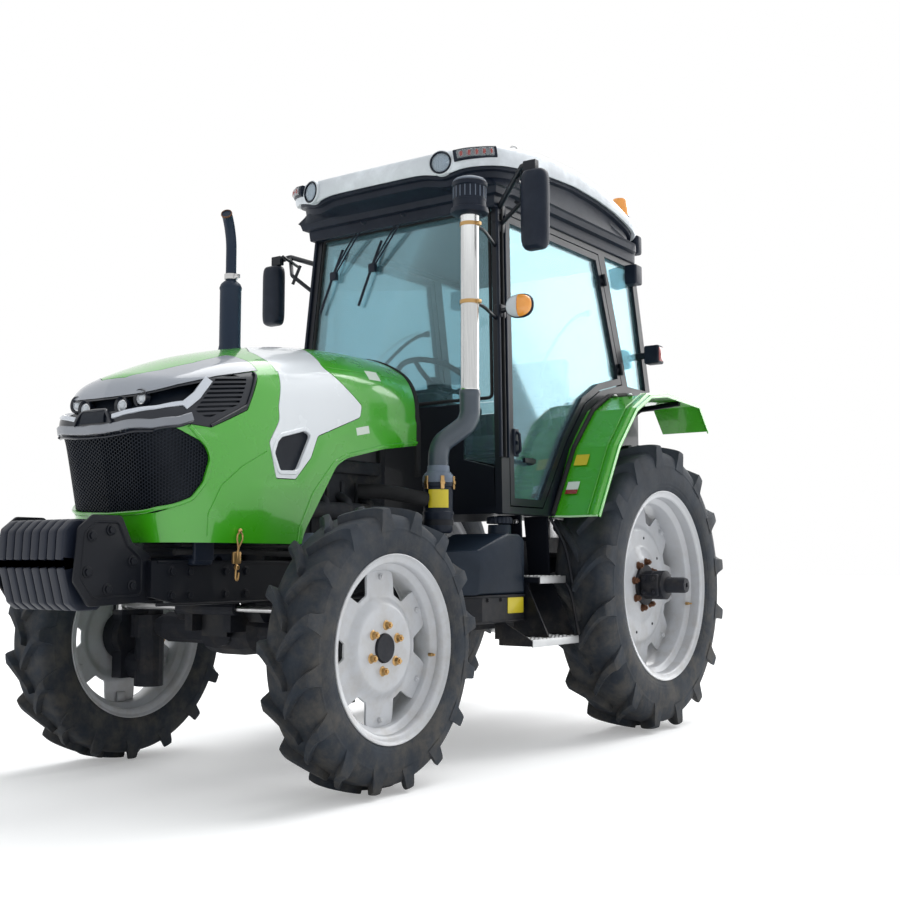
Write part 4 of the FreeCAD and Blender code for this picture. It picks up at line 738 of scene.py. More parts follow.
front_hub = turned([(-0.045, 0.098), (0.008, 0.098), (0.009, 0.0515), (0.046, 0.0512), (0.05, 0.048),
                    (0.051, 0.0)], FRONT_C, OUT, 40)
front_nuts = ring_of(lambda p: joined([nut(p, OUT, 0.024, 0.02), turned([(0, 0.019), (0.006, 0.0135)], p,
                                                                        OUT, 20)]), FRONT_C, 0.08, 6,
                     0.041, 0.12)
valve = turned([(0, 0.0065), (0.016, 0.0065), (0.017, 0.005), (0.026, 0.0045), (0.027, 0.002)], FRONT_C
               + (0.044, 0.262, -0.038), OUT, 14)
rear_valve = turned([(0, 0.0075), (0.018, 0.0075), (0.02, 0.005), (0.032, 0.0045), (0.033, 0.002)], REAR_C
                    + (0.06, 0.375, -0.1), OUT, 14)
clamp = turned([(0.0, 0.0), (0.0, 0.098), (0.012, 0.098), (0.016, 0.069), (0.058, 0.069), (0.06, 0.062),
                (0.068, 0.062), (0.07, 0.069), (0.118, 0.069), (0.124, 0.06), (0.124, 0.0372)], REAR_C
               + (0.01, 0, 0), OUT, 48)
shaft = turned([(-0.12, 0.0368), (0.225, 0.0368), (0.232, 0.033), (0.233, 0.012), (0.226, 0.01),
                (0.226, 0.0)], REAR_C, OUT, 40)
keyway = block(REAR_C + (0.1, -0.006, 0.0355), REAR_C + (0.22, 0.006, 0.0372), 0.001)
clamp_ears = joined([block(REAR_C + (0.03, s * 0.06, -0.052), REAR_C + (0.118, s * 0.082, 0.052), 0.006)
                     for s in (1, -1)])
clamp_bolts = joined([nut(REAR_C + (x, s * 0.082, z), (0, s, 0), 0.02, 0.014) for s in (1, -1)
                      for x in (0.05, 0.098) for z in (-0.032, 0.032)])
rear_nuts = ring_of(lambda p: nut(p, OUT, 0.027, 0.022), REAR_C, 0.112, 8, 0.01, 0.2)

WHEEL_PIECES = [  # name, skin, finish, axle, smooth angle, the node it stands for
    ("front_tread", front_tyre, m_tyre, "front", 40, "front_tyre"),
    ("front_wheel_steel", joined([front_rim, front_disc, front_tabs, front_bolts]), m_silver, "front",
     40, "front_rim"),
    ("front_hub_cap", front_hub, m_cast, "front", 40, None),
    ("front_wheel_nuts", joined([front_nuts, valve]), m_bronze, "front", 30, None),
    ("rear_tread", rear_tyre, m_tyre, "rear", 40, "rear_tyre"),
    ("rear_wheel_steel", joined([rear_rim, rear_disc, rear_tabs, rear_bolts]), m_silver, "rear", 40,
     "rear_rim"),
    ("rear_hub_clamp", joined([clamp, shaft, keyway, clamp_ears, clamp_bolts, rear_dots]), m_cast,
     "rear", 35, "rear_hub"),
    ("rear_wheel_nuts", rear_nuts, m_rust, "rear", 30, None),
    ("rear_valve", rear_valve, m_bronze, "rear", 30, None)]
for side in ("left", "right"):
    for name, skin, finish, axle, angle, node in WHEEL_PIECES:
        piece(f"{name}_{side}", skin if side == "left" else skin.mirror(), finish,
              body=f"{axle}_wheel_{side}", smooth=angle, replaces=(f"{node}_{side}",) if node else ())

# Bonnet: one smooth form, cut into its panels

BONNET_LOW, BONNET_END = 0.862, 0.69
SPINE_Y, SPINE_Z = -0.38, 1.13        # rays start on this line inside the bonnet
SKIN_T, GAP = 0.005, 0.0016
bonnet_run = smooth_line([            # y, half width, shoulder, crown
    (-0.900, 0.285, 1.200, 1.270), (-0.744, 0.300, 1.290, 1.372), (-0.600, 0.320, 1.378, 1.450),
    (-0.330, 0.333, 1.476, 1.552), (0.060, 0.335, 1.535, 1.638), (0.420, 0.335, 1.560, 1.672),
    (0.800, 0.330, 1.560, 1.674)], 400)
nose_run = smooth_line([              # z, how far the nose falls back there
    (0.762, 0.104), (0.957, 0.060), (1.207, 0.004), (1.237, -0.016), (1.294, -0.018),
    (1.374, 0.030), (1.762, 0.130)], 400)
corner_t = np.linspace(0, 1, 60)
nose_plan = np.vstack([(0, 0), np.stack([0.13 * (1 - corner_t) ** 2 + 0.608 * corner_t * (1 - corner_t)
                                         + 0.339 * corner_t ** 2, 0.008 * (1 - corner_t) ** 2 + 0.024
                                         * corner_t * (1 - corner_t) + 0.28 * corner_t ** 2], -1),
                       (0.345, 0.7)])
nose_slope = np.gradient(nose_plan[:, 1]) / np.maximum(np.gradient(nose_plan[:, 0]), 0.0001)
FLARE_LINE = np.array([(-0.6, 1.08), (-0.165, 1.082), (-0.045, 1.09), (0.024, 1.167), (0.088, 1.258),
                       (0.3, 1.338), (0.8, 1.408)])
FLARE, FLARE_T = 0.013, 0.03


def smooth_max(a, b, reach):
    """The larger value, rounded where the two are within reach of each other."""
    h = np.maximum(reach - np.abs(a - b), 0) / reach
    return np.maximum(a, b) + h * h * reach / 4


def bonnet_form(p, inset=0.0):
    """How far points lie outside the bonnet, its skin drawn in by an inset.

    side = |x| - half(y) - flare, top = z - crown + drop * (|x| / shoulder x)^2,
    front = nose(z) + plan(|x|) - y, floor under the lower edge; smooth maxima join them."""
    a, y, z = np.abs(p[..., 0]), p[..., 1], p[..., 2]
    half, shoulder, crown = (np.interp(y, bonnet_run[:, 0], bonnet_run[:, k]) for k in (1, 2, 3))
    under = np.clip((np.interp(y, *FLARE_LINE.T) - z) / FLARE_T, 0, 1)
    fade = np.clip((y + 0.34) / 0.16, 0, 1)
    side = a - half + inset - FLARE * under * fade * fade * (3 - 2 * fade)
    drop = crown - shoulder - 0.026
    share = a / (half - inset - 0.075)
    top = (z - crown + inset + drop * share ** 2) / np.sqrt(1 + (2 * drop * share / (half - 0.075)) ** 2)
    front = inset - 0.694 + np.interp(z, *nose_run.T) + np.interp(a, *nose_plan.T) - y
    front /= np.sqrt(1 + np.interp(a, nose_plan[:, 0], nose_slope) ** 2)
    return np.maximum(smooth_max(smooth_max(side, top, 0.085), front, 0.045), 0.8 - 4 * inset - z)


def meet(start, direction, inset=0.0, far=1.3):
    """Where rays from inside leave the bonnet's form: halved 26 times."""
    start, direction = np.broadcast_arrays(start, direction)
    near, out = np.zeros(start.shape[:-1]), np.full(start.shape[:-1], far)
    for _ in range(26):
        middle = (near + out) / 2
        inside = bonnet_form(start + direction * middle[..., None], inset) < 0
        near, out = np.where(inside, middle, near), np.where(inside, out, middle)
    return start + direction * out[..., None]


def on_bonnet(points, inset=0.0):
    """Points moved onto the skin along rays from the spine."""
    p = np.asarray(points, float)
    start = np.stack([0 * p[..., 0], np.maximum(p[..., 1], SPINE_Y), 0 * p[..., 0] + SPINE_Z], -1)
    ray = p - start
    return meet(start, ray / np.linalg.norm(ray, axis=-1, keepdims=True), inset)


def bonnet_normal(points):
    """The direction in which the form grows fastest, by small steps along each axis."""
    step = 0.001
    slope = np.stack([bonnet_form(points + step * e) - bonnet_form(points - step * e) for e in np.eye(3)],
                     -1)
    return slope / np.linalg.norm(slope, axis=-1, keepdims=True)


def bonnet_solid(inset, end, columns=240, body_rows=84, nose_rows=64):
    """The closed form: rows of rays from the spine, tilted forwards for the nose."""
    turn = np.arange(columns) * TAU / columns
    tilt = np.radians(np.linspace(0.5, 90, nose_rows))[:, None]
    rays = np.stack([np.sin(tilt) * np.sin(turn), -np.cos(tilt) * np.ones(columns), np.sin(tilt)
                     * np.cos(turn)], -1)
    level = np.broadcast_to(rays[-1], (body_rows, columns, 3))
    starts = np.zeros((nose_rows + body_rows, 1, 3)) + (0, SPINE_Y, SPINE_Z)
    starts[nose_rows:, 0, 1] = np.linspace(SPINE_Y, end, body_rows + 1)[1:]
    return grid(meet(starts, np.concatenate([rays, level]), inset), wrap_v=True, cap_start=True,
                cap_end=True)


def across(outline, low=-0.6, high=0.6):
    """A prism across the bonnet: its outline is (y, height above the bonnet's lower edge)."""
    o = np.asarray(outline, float)
    return slab(o + (0, BONNET_LOW), low, high, 0)


def grown(outline, room):
    """An outline moved outwards by a small room."""
    o = np.asarray(outline, float)
    area = np.sum(o[:, 0] * np.roll(o[:, 1], -1) - np.roll(o[:, 0], -1) * o[:, 1])
    o = o if area > 0 else o[::-1]
    a, b = o - np.roll(o, 1, 0), np.roll(o, -1, 0) - o
    a, b = (d / np.linalg.norm(d, axis=1, keepdims=True) for d in (a, b))
    out = np.stack([a[:, 1] + b[:, 1], -a[:, 0] - b[:, 0]], -1)
    return o + out * room / np.maximum((out * out).sum(1, keepdims=True) / 2, 0.3)


def ribbon(points, profile, count=60, bend=0.0, closed=False, inset=0.0):
    """A strip on the bonnet's skin: a (side, up) profile carried along a path, up off the skin."""
    path = rounded(points, bend, 6, closed) if bend else np.asarray(points, float)
    if closed:
        path = np.vstack([path, path[:1]])
    gaps = np.linalg.norm(np.diff(path, axis=0), axis=1)
    run = np.concatenate([[0], np.cumsum(gaps)])
    at = np.linspace(0, run[-1], count + 1 if closed else count)
    path = np.stack([np.interp(at, run, path[:, k]) for k in range(3)], -1)
    path = on_bonnet(path[:-1] if closed else path, inset)
    return swept(path, profile, closed=closed, up=bonnet_normal(path))


def on_both_sides(x, line, profile, count, bend=0.0, closed=False):
    """A strip on each side of the bonnet, along (y, height above its lower edge)."""
    return joined([ribbon([(s * x, y, z + BONNET_LOW) for y, z in line], profile, count, bend, closed)
                   for s in (1, -1)])


def flat_profile(width, low, high, edge=0.0015):
    """A strip's section: width across, from low to high off the skin, with broken corners."""
    w = width / 2
    return [(-w, low), (w, low), (w, high - edge), (w - edge, high), (edge - w, high), (-w, high - edge)]


shell = carved(bonnet_solid(0.0, 0.72), [("cut", bonnet_solid(SKIN_T, 0.76, 160, 56, 48)),
                                         ("keep", slab([(-0.6, -1), (0.6, -1), (0.6, BONNET_END),
                                                        (-0.6, BONNET_END)], BONNET_LOW, 2.0))])
arch_line = rounded([(-0.04, -0.2), (-0.03, 0.02), (0.168, 0.302), (0.23, 0.334), (0.457, 0.386),
                     (0.8, 0.434), (0.8, -0.2)], [0.001, 0.2, 0.1, 0.15, 0.3, 0.001, 0.001], 6)

white_line = rounded([(-0.131, 0.72), (-0.134, 0.641), (-0.155, 0.496), (-0.15, 0.444), (-0.201, 0.362),
                      (-0.163, 0.234), (-0.06, 0.236), (0.024, 0.321), (0.062, 0.405), (0.273, 0.485),
                      (0.312, 0.5), (0.322, 0.547), (0.235, 0.605), (0.14, 0.676), (0.134, 0.72)],
                     [0.004, 0.03, 0.05, 0.05, 0.02, 0.01, 0.012, 0.03, 0.02, 0.05, 0.02, 0.02, 0.05,
                      0.01, 0.004], 4)
white_top = [(0.0, 0.0), (0.154, -0.128), (0.25, -0.15), (0.42, -0.131), (0.42, 0.134), (0.284, 0.136),
             (0.066, 0.235), (0.0, 0.25), (-0.066, 0.235), (-0.284, 0.136), (-0.42, 0.134),
             (-0.42, -0.131), (-0.25, -0.15), (-0.154, -0.128)]
hex_line = rounded([(-0.156, 0.366), (-0.136, 0.385), (-0.015, 0.417), (0.02, 0.404), (-0.05, 0.276),
                    (-0.066, 0.268), (-0.143, 0.264), (-0.172, 0.325)], 0.012, 4)
vent_line = rounded([(-0.436, 0.566), (-0.36, 0.588), (-0.304, 0.58), (-0.312, 0.56), (-0.349, 0.482),
                     (-0.487, 0.42), (-0.534, 0.443)], 0.006, 3)
band_line = rounded([(-0.9, 0.478), (-0.667, 0.494), (-0.574, 0.53), (-0.437, 0.572), (-0.262, 0.612),
                     (-0.255, 0.588), (-0.309, 0.467), (-0.398, 0.425), (-0.473, 0.391), (-0.565, 0.397),
                     (-0.69, 0.362), (-0.9, 0.352)], 0.008, 3)
brow_line = [(-0.9, 0.479), (-0.667, 0.495), (-0.574, 0.531), (-0.437, 0.573), (-0.262, 0.613),
             (-0.2, 0.624), (-0.2, 0.9), (-0.9, 0.9)]
visor_half = [(0.0, -0.632), (0.06, -0.628), (0.105, -0.602), (0.15, -0.547), (0.186, -0.44),
              (0.186, -0.35), (0.176, -0.268), (0.19, -0.256), (0.316, -0.24), (0.42, -0.238)]
grille_line = rounded([(-0.9, 0.362), (-0.69, 0.361), (-0.606, 0.381), (-0.484, 0.33), (-0.466, 0.288),
                       (-0.493, 0.2), (-0.54, 0.14), (-0.61, 0.1), (-0.66, 0.092), (-0.9, 0.088)],
                      [0.001, 0.02, 0.03, 0.03, 0.05, 0.06, 0.04, 0.02, 0.01, 0.001], 4)


def plan_prism(half, room=0.0):
    """An upright prism over the bonnet's front, from half of its outline."""
    h = np.array(half + [(0.42, -0.95)])
    whole = np.vstack([h, (h * (-1, 1))[::-1]])[:-1]
    return slab(grown(whole, room), 1.25, 1.8)


def white_prism(room):
    """The white panel's prism: from the side below the shoulder, from above over the top."""
    middle = slab([(-0.22, -0.5), (0.22, -0.5), (0.22, 0.6), (-0.22, 0.6)], 0.8, 1.9)
    return carved(across(grown(white_line, room)), [("cut", middle),
                                                    ("add", slab(grown(white_top, room), 1.49, 1.8))])


def visor_prism(room):
    return carved(plan_prism(visor_half, room), [("keep", across(grown(brow_line, room)))])


SEAM = circle(0.0022, 8)
seams = joined([ribbon(points, SEAM, 50, 0.05) for side in (1, -1)
                for points in ([(side * 0.287, 0.15, 1.546), (side * 0.3, 0.36, 1.556),
                                (side * 0.296, 0.675, 1.565)], [(side * 0.334, -0.215, 1.19),
                                                                (side * 0.33, -0.33, 1.13),
                                                                (side * 0.318, -0.42, 1.06),
                                                                (side * 0.31, -0.47, 0.96),
                                                                (side * 0.31, -0.47, 0.88)])])
green = carved(shell, [("cut", across(arch_line)), ("cut", white_prism(GAP)),
                       ("cut", across(grown(band_line, GAP))), ("cut", visor_prism(GAP)),
                       ("cut", across(grown(grille_line, GAP))), ("cut", seams)])
white = carved(shell, [("keep", white_prism(-GAP)), ("cut", across(grown(hex_line, 0.0))),
                       ("cut", across(arch_line))])
visor = carved(shell, [("keep", visor_prism(-GAP / 2))])


def layer(outer, inner, outline=None, room=0.0, end=-0.2, fine=(200, 14, 60), coarse=(160, 14, 48)):
    """The form between two insets, kept within a side outline that grows by a room."""
    steps = [("cut", bonnet_solid(inner, end + 0.02, *coarse))]
    if outline is not None:
        steps.append(("keep", across(grown(outline, room))))
    return carved(bonnet_solid(outer, end, *fine), steps)


thick = layer(0.003, 0.016, fine=(240, 14, 64), coarse=(200, 14, 60))
slats = joined([across([(-0.6, z - 0.024), (-0.25, z + 0.018), (-0.25, z + 0.0255), (-0.6, z - 0.0165)])
                for z in 0.436 + 0.0155 * np.arange(10)])
vent = carved(thick, [("keep", across(vent_line)), ("cut", slats)])
recess_line = rounded([(-0.9, 0.47), (-0.667, 0.488), (-0.574, 0.523), (-0.47, 0.552), (-0.56, 0.455),
                       (-0.9, 0.415)], 0.004, 3)
frame_skin = carved(thick, [("keep", across(grown(band_line, -GAP / 2))), ("cut", across(vent_line)),
                            ("cut", across(recess_line))])
bed = layer(0.034, 0.038, band_line, 0.01)
vent_bed = layer(0.017, 0.02, vent_line, 0.01)
hex_bed = layer(0.012, 0.016, hex_line, 0.008, 0.3, (160, 40, 40), (120, 40, 30))

# Strips on the bonnet: trim bar, silver brow line, lips, seals
bar_half = [(0.304, -0.545, 1.282), (0.3, -0.6, 1.268), (0.242, -0.665, 1.252), (0.12, -0.69, 1.243),
            (0.04, -0.7, 1.24)]
bar_path = bar_half + [(-x, y, z) for x, y, z in bar_half[::-1]]
trim_bar = ribbon(bar_path, flat_profile(0.03, -0.004, 0.005, 0.003), 120, 0.05)
trim_lip = ribbon([(x, y, z - 0.019) for x, y, z in bar_path], flat_profile(0.008, -0.004, 0.008, 0.003),
                  120, 0.05)
BROW_STRIPS = [([(0.092, -0.7, 1.279), (0.18, -0.69, 1.296), (0.25, -0.655, 1.313),
                 (0.297, -0.56, 1.333)], 0.016, 50, 0.05), ([(0.297, -0.575, 1.322), (0.3, -0.52, 1.36),
                                                             (0.302, -0.468, 1.424)], 0.03, 24, 0.02)]
silver = joined([ribbon([(s * x, y, z) for x, y, z in line], flat_profile(width, -0.014, 0.003, 0.002),
                        count, bend) for s in (1, -1) for line, width, count, bend in BROW_STRIPS])
notch_path = [(-0.092, -0.7, 1.258), (-0.058, -0.7, 1.305), (0.058, -0.7, 1.305), (0.092, -0.7, 1.258)]
notch = ribbon(notch_path, flat_profile(0.01, -0.012, 0.008, 0.002), 60, 0.01)
notch_plate = ribbon([(0.0, -0.7, 1.258), (0.0, -0.7, 1.3)], flat_profile(0.12, -0.014, 0.002), 4)
frame_lip = on_both_sides(0.31, [(-0.47, 0.392), (-0.398, 0.427), (-0.31, 0.469), (-0.258, 0.588),
                                 (-0.262, 0.606)], flat_profile(0.01, -0.004, 0.004, 0.002), 50, 0.012)

grille_edge = [(-0.56, 0.392), (-0.482, 0.326), (-0.462, 0.288), (-0.489, 0.2), (-0.536, 0.14),
               (-0.604, 0.1)]
side_lips = [[(s * 0.31, y, z + BONNET_LOW) for y, z in grille_edge]
             + [(s * x, -0.64, 0.954) for x in (0.245, 0.16, 0.06)] for s in (1, -1)]
grille_path = side_lips[0] + side_lips[1][::-1]
grille_lip = ribbon(grille_path, flat_profile(0.013, -0.006, 0.007, 0.003), 200, 0.05)
arch_lip = on_both_sides(0.34, [(-0.046, 0.006), (-0.036, 0.06), (0.036, 0.19), (0.158, 0.316),
                                (0.23, 0.346), (0.457, 0.398), (0.685, 0.43)],
                         flat_profile(0.012, -0.003, 0.0035, 0.002), 90, 0.06)
hex_lip = on_both_sides(0.335, grown(hex_line, 0.008), flat_profile(0.016, -0.01, 0.004, 0.003), 110,
                        closed=True)
rear_path = [(0.331 * math.sin(a), BONNET_END - 0.004, SPINE_Z + 0.5 * math.cos(a))
             for a in np.radians(np.linspace(-88, 88, 60))]
rear_seal = swept(on_bonnet(rear_path) + (0, 0.006, 0), [(-0.012, -0.012), (0.01, -0.012), (0.014, 0.0),
                                                         (0.01, 0.0035), (-0.012, 0.0035)],
                  up=bonnet_normal(on_bonnet(rear_path)))
labels = joined([ribbon(path, flat_profile(width, -0.001, 0.0008, 0.0003), 6) for path,
                 width in (([(0.3, 0.395, 1.545), (0.3, 0.47, 1.548)], 0.046),
                           ([(0.345, 0.285, 1.306), (0.345, 0.362, 1.322)], 0.03))])


def honeycomb(cell, wall, depth):
    """A mesh of six-sided cells bent round the nose.

    Cell (i, j) is centred at u = 1.5 * cell * i, v = sqrt(3) * cell * (j + i / 2), its walls run
    from the mesh's face to a depth behind it; u is carried to an angle round an upright axis and
    each corner goes along a ray to the bonnet's form."""
    beta = np.radians(np.linspace(-74, 74, 300))
    face = meet(np.array((0, SPINE_Y, 1.1)), np.stack([np.sin(beta), -np.cos(beta), 0 * beta], -1))
    run = np.concatenate([[0], np.cumsum(np.linalg.norm(np.diff(face, axis=0), axis=1))])
    run -= run[-1] / 2
    i, j = np.meshgrid(np.arange(-44, 45), np.arange(-16, 17), indexing="ij")
    u, v = (1.5 * cell * i).ravel(), (math.sqrt(3) * cell * (j + i % 2 / 2)).ravel() + 1.1
    keep = (np.abs(u) < run[-1]) & (v > 0.95) & (v < 1.25)
    u, v = u[keep], v[keep]
    corner = np.arange(6) * TAU / 6
    rings = []
    for size, back in ((cell, 0.0), (cell - wall, 0.0), (cell - wall * 1.3, depth)):
        cu = u[:, None] + size * np.cos(corner)
        cv = v[:, None] + size * np.sin(corner)
        angle = np.interp(cu, run, beta)
        start = np.stack([0 * cu, 0 * cu + SPINE_Y, cv], -1)
        ray = np.stack([np.sin(angle), -np.cos(angle), 0 * cu], -1)
        rings.append(meet(start, ray, GRILLE_INSET + back))
    points = np.stack(rings, 1)
    middle = points[:, 0].mean(1)
    inside = within(middle[:, 1:], grille_line + (0, BONNET_LOW), 0.004)
    points = points[inside]
    n = len(points)
    base = (np.arange(n) * 18)[:, None]
    k = np.arange(6)[None]
    k1 = (k + 1) % 6
    return Skin(points, [np.stack([base + level + k, base + level + k1, base + level + 6 + k1, base
                                   + level + 6 + k], -1).reshape(-1, 4) for level in (0, 6)])


def within(points, outline, room=0.0):
    """Which points lie in an outline: the angles to its corners add up to a turn."""
    o = grown(outline, room)
    a = o[None] - points[:, None]
    b = np.roll(a, -1, 1)
    turn = np.arctan2(a[..., 0] * b[..., 1] - a[..., 1] * b[..., 0], (a * b).sum(-1)).sum(1)
    return np.abs(turn) > math.pi


GRILLE_INSET = 0.009
mesh_face = honeycomb(0.0072, 0.0016, 0.006)
grille_bed = layer(0.018, 0.022, grille_line, 0.01)
grille_frame = ribbon(grille_path, flat_profile(0.01, -0.02, -0.002, 0.002), 200, 0.05)


def projector(x, z, size):
    """A lamp in the nose: a dark cup, a bright ring and a domed lens, facing forwards."""
    place = meet(np.array((0.0, SPINE_Y, z)), np.array((x, -0.3, 0.0)) / math.hypot(x, 0.3), 0.03)
    profiles = (((0.0, 1.45), (0.022, 1.55), (0.024, 1.5), (0.018, 1.22), (0.006, 1.1)),
                ((0.006, 1.12), (0.016, 1.12), (0.018, 1.04), (0.014, 0.98)),
                ((0.008, 0.98), (0.013, 0.9), (0.018, 0.7), (0.0205, 0.4), (0.0215, 0.06)))
    return [turned([(along, size * r) for along, r in rows], place, (0, -1, 0), 40) for rows in profiles]


lamp_cups, lamp_rings, lamp_lenses = zip(*[projector(s * x, z, r) for s in (1, -1) for x, z,
                                           r in ((0.105, 1.322, 0.021), (0.198, 1.346, 0.02))])
latch_loops = [tube([(0.338, -0.345 - s * 0.011, 0.892), (0.338, -0.345 - s * 0.013, 0.875),
                     (0.334, -0.346 - s * 0.003, 0.85), (0.332, -0.346, 0.835)], 0.0032, 30, 10)
               for s in (1, -1)]
latch = joined([bulb((0.338, -0.345, 0.905), (0.008, 0.008, 0.008)), *latch_loops,
                tube([(0.338, -0.356, 0.892), (0.339, -0.345, 0.898), (0.338, -0.334, 0.892)], 0.0032, 16,
                     10), tube([(0.331, -0.346, 0.838), (0.327, -0.347, 0.8), (0.325, -0.35, 0.745),
                                (0.325, -0.34, 0.735), (0.326, -0.336, 0.76)], 0.0038, 40, 10),
                block((0.32, -0.366, 0.79), (0.331, -0.328, 0.832), 0.003, 0.006, 0),
                turned([(0, 0.009), (0.01, 0.009), (0.012, 0.007)], (0.322, -0.347, 0.778), OUT, 20)])

rib_inner = joined([ribbon([(s * 0.3, -0.3, 1.5), (s * 0.3, 0.6, 1.5)], flat_profile(0.02, -0.02, -0.006),
                           20) for s in (1, -1)])
BONNET_PIECES = [  # name, skin, finish, the node it stands for
    ("bonnet_panels", green + arch_lip + grille_lip, m_green, "bonnet"),
    ("bonnet_stiffeners", rib_inner, m_green, None),
    ("white_side_panels", white + hex_lip, m_white, "bonnet_side_panels"),
    ("silver_visor", visor, m_visor, "lamp_band"),
    ("lamp_frame", joined([frame_skin, frame_lip, trim_lip, notch]), m_band, None),
    ("lamp_trim_bar", trim_bar, m_trim, None),
    ("silver_brow_lines", silver, m_silver_trim, None),
    ("lamp_bed", joined([bed, vent_bed, hex_bed, notch_plate]), m_grille, None),
    ("side_louvres", vent, m_band, None),
    ("grille_mesh", mesh_face, m_grille, "grille"),
    ("grille_backing", grille_bed + grille_frame, m_grille, None),
    ("bonnet_rear_seal", rear_seal, m_rubber, None),
    ("bonnet_blank_labels", labels, m_label, None),
    ("bonnet_latch", latch, m_bronze, None)]
for name, skin, finish, node in BONNET_PIECES:
    piece(name, skin, finish, body="bonnet", smooth=30, replaces=(node,) if node else ())
piece("nose_lamp_cups", joined(lamp_cups), m_band, "lamp_plastic", "bonnet", 30)
piece("nose_lamp_rings", joined(lamp_rings), m_chrome, "lamp_plastic", "bonnet", 30)
piece("nose_lamp_lenses", joined(lamp_lenses), m_lens, "lamp_plastic", "bonnet", 40)

# Cab: roof, header, lamps, wipers, mirrors and seals


def side_x(z):
    """Half width of the cab over the outside of its leaning side."""
    return 0.6 - (z - 1.0) * 0.05766


def post_y(z):
    """Front edge of the front post."""
    return 0.935 + 0.0679 * (z - 1.0)


def outset(plan, reach):
    """A closed plan moved outwards by a reach, along its normals."""
    along = np.roll(plan, -1, 0) - np.roll(plan, 1, 0)
    along /= np.linalg.norm(along, axis=1, keepdims=True)
    normal = np.stack([along[:, 1], -along[:, 0]], -1)
    if ((plan - plan.mean(0)) * normal).sum() < 0:
        normal = -normal
    return plan + normal * reach


ROOF_LEFT = [(0.0, 0.8), (0.2, 0.802), (0.37, 0.812), (0.49, 0.85), (0.575, 0.945), (0.612, 1.15),
             (0.62, 1.6), (0.606, 2.05), (0.56, 2.32), (0.43, 2.42), (0.22, 2.435)]
roof_plan = smooth_line(ROOF_LEFT + [(0.0, 2.436)] + [(-x, y) for x, y in ROOF_LEFT[:0:-1]], 220,
                        closed=True)
EDGE_Y = [0.8, 0.97, 1.27, 1.57, 1.8, 2.0, 2.2, 2.43]
edge_low = np.interp(roof_plan[:, 1], EDGE_Y, [2.486, 2.512, 2.548, 2.566, 2.56, 2.545, 2.52, 2.495])
edge_high = np.interp(roof_plan[:, 1], EDGE_Y, [2.572, 2.6, 2.638, 2.65, 2.636, 2.606, 2.574, 2.548])
near_lamp = np.exp(-((np.abs(roof_plan[:, 0]) - 0.37) / 0.075) ** 2) * (roof_plan[:, 1] < 1.0)
edge_low = edge_low - 0.02 * near_lamp
CROWN = 2.662


def roof_row(reach, height):
    """The roof's plan moved outwards by a reach, each point at its own height."""
    return np.column_stack([outset(roof_plan, reach), height])


def dome_row(share):
    """The plan shrunk by a share to the middle, on the crown z = edge + rise (1 - (1 - s)^2)."""
    inner = roof_row(-0.045, edge_high + 0.001)
    height = inner[:, 2] + (CROWN - inner[:, 2]) * (1 - (1 - share) ** 2)
    middle = np.array([0.0, 1.6])
    return np.column_stack([middle + (inner[:, :2] - middle) * (1 - share), height])


roof_rows = [roof_row(-0.06, edge_low + 0.03), roof_row(-0.014, edge_low + 0.002),
             roof_row(-0.005, edge_low), roof_row(0.0, edge_low + 0.007),
             roof_row(0.004, edge_low * 0.55 + edge_high * 0.45), roof_row(0.0, edge_high - 0.02),
             roof_row(-0.006, edge_high - 0.008), roof_row(-0.016, edge_high),
             roof_row(-0.03, edge_high + 0.001), roof_row(-0.033, edge_high - 0.005),
             roof_row(-0.04, edge_high - 0.005), roof_row(-0.043, edge_high + 0.001)]
roof_rows += [dome_row(s) for s in (0.0, 0.08, 0.2, 0.35, 0.5, 0.65, 0.8, 0.93, 0.99)]
piece("roof_shell", grid(roof_rows, wrap_v=True, cap_start=True, cap_end=True), m_roof,
      replaces=("roof",))
groove = swept(roof_row(-0.0365, edge_high - 0.0035), circle(0.0042, 8), closed=True, up=(0, 0, 1))
piece("roof_edge_seam", groove, m_rubber)


def hugging(reach, z):
    """The header's plan round the top of the cab, moved outwards by a reach."""
    x = np.clip(roof_plan[:, 0], -0.505 - reach, 0.505 + reach)
    y = np.clip(roof_plan[:, 1], 1.01 - reach, 2.366 + reach)
    front = np.clip((1.1 - y) / 0.08, 0, 1)
    return np.column_stack([x, y, z - 0.022 * front])


header_rows = [roof_row(-0.02, edge_low + 0.02), roof_row(-0.026, edge_low - 0.01),
               roof_row(-0.046, edge_low - 0.014), roof_row(-0.05, edge_low - 0.04), hugging(0.07, 2.452),
               hugging(0.06, 2.446), hugging(0.052, 2.42), hugging(0.03, 2.414), hugging(0.026, 2.372),
               hugging(0.022, 2.368), hugging(-0.03, 2.368)]
piece("roof_header", grid(header_rows, wrap_v=True, cap_start=True, cap_end=True), m_plastic, smooth=28)

# End caps of the gutter under the roof's rear edge
end_caps = block((0.3, 2.395, 2.43), (0.535, 2.45, 2.535), 0.014).both()
piece("roof_end_caps", end_caps, m_plastic)

# Roof lamps: a pale pod, a black ring, a bright bowl and a clear ribbed cover
LAMP_AT = np.array([0.37, 0.812, 2.52])
LAMP_TURN = 14.0          # degrees outwards


def facing(skin, at, degrees):
    """A skin drawn along -Y at the origin, turned about the upright and put in place."""
    return skin.turn((0, 0, 1), degrees).move(*at)


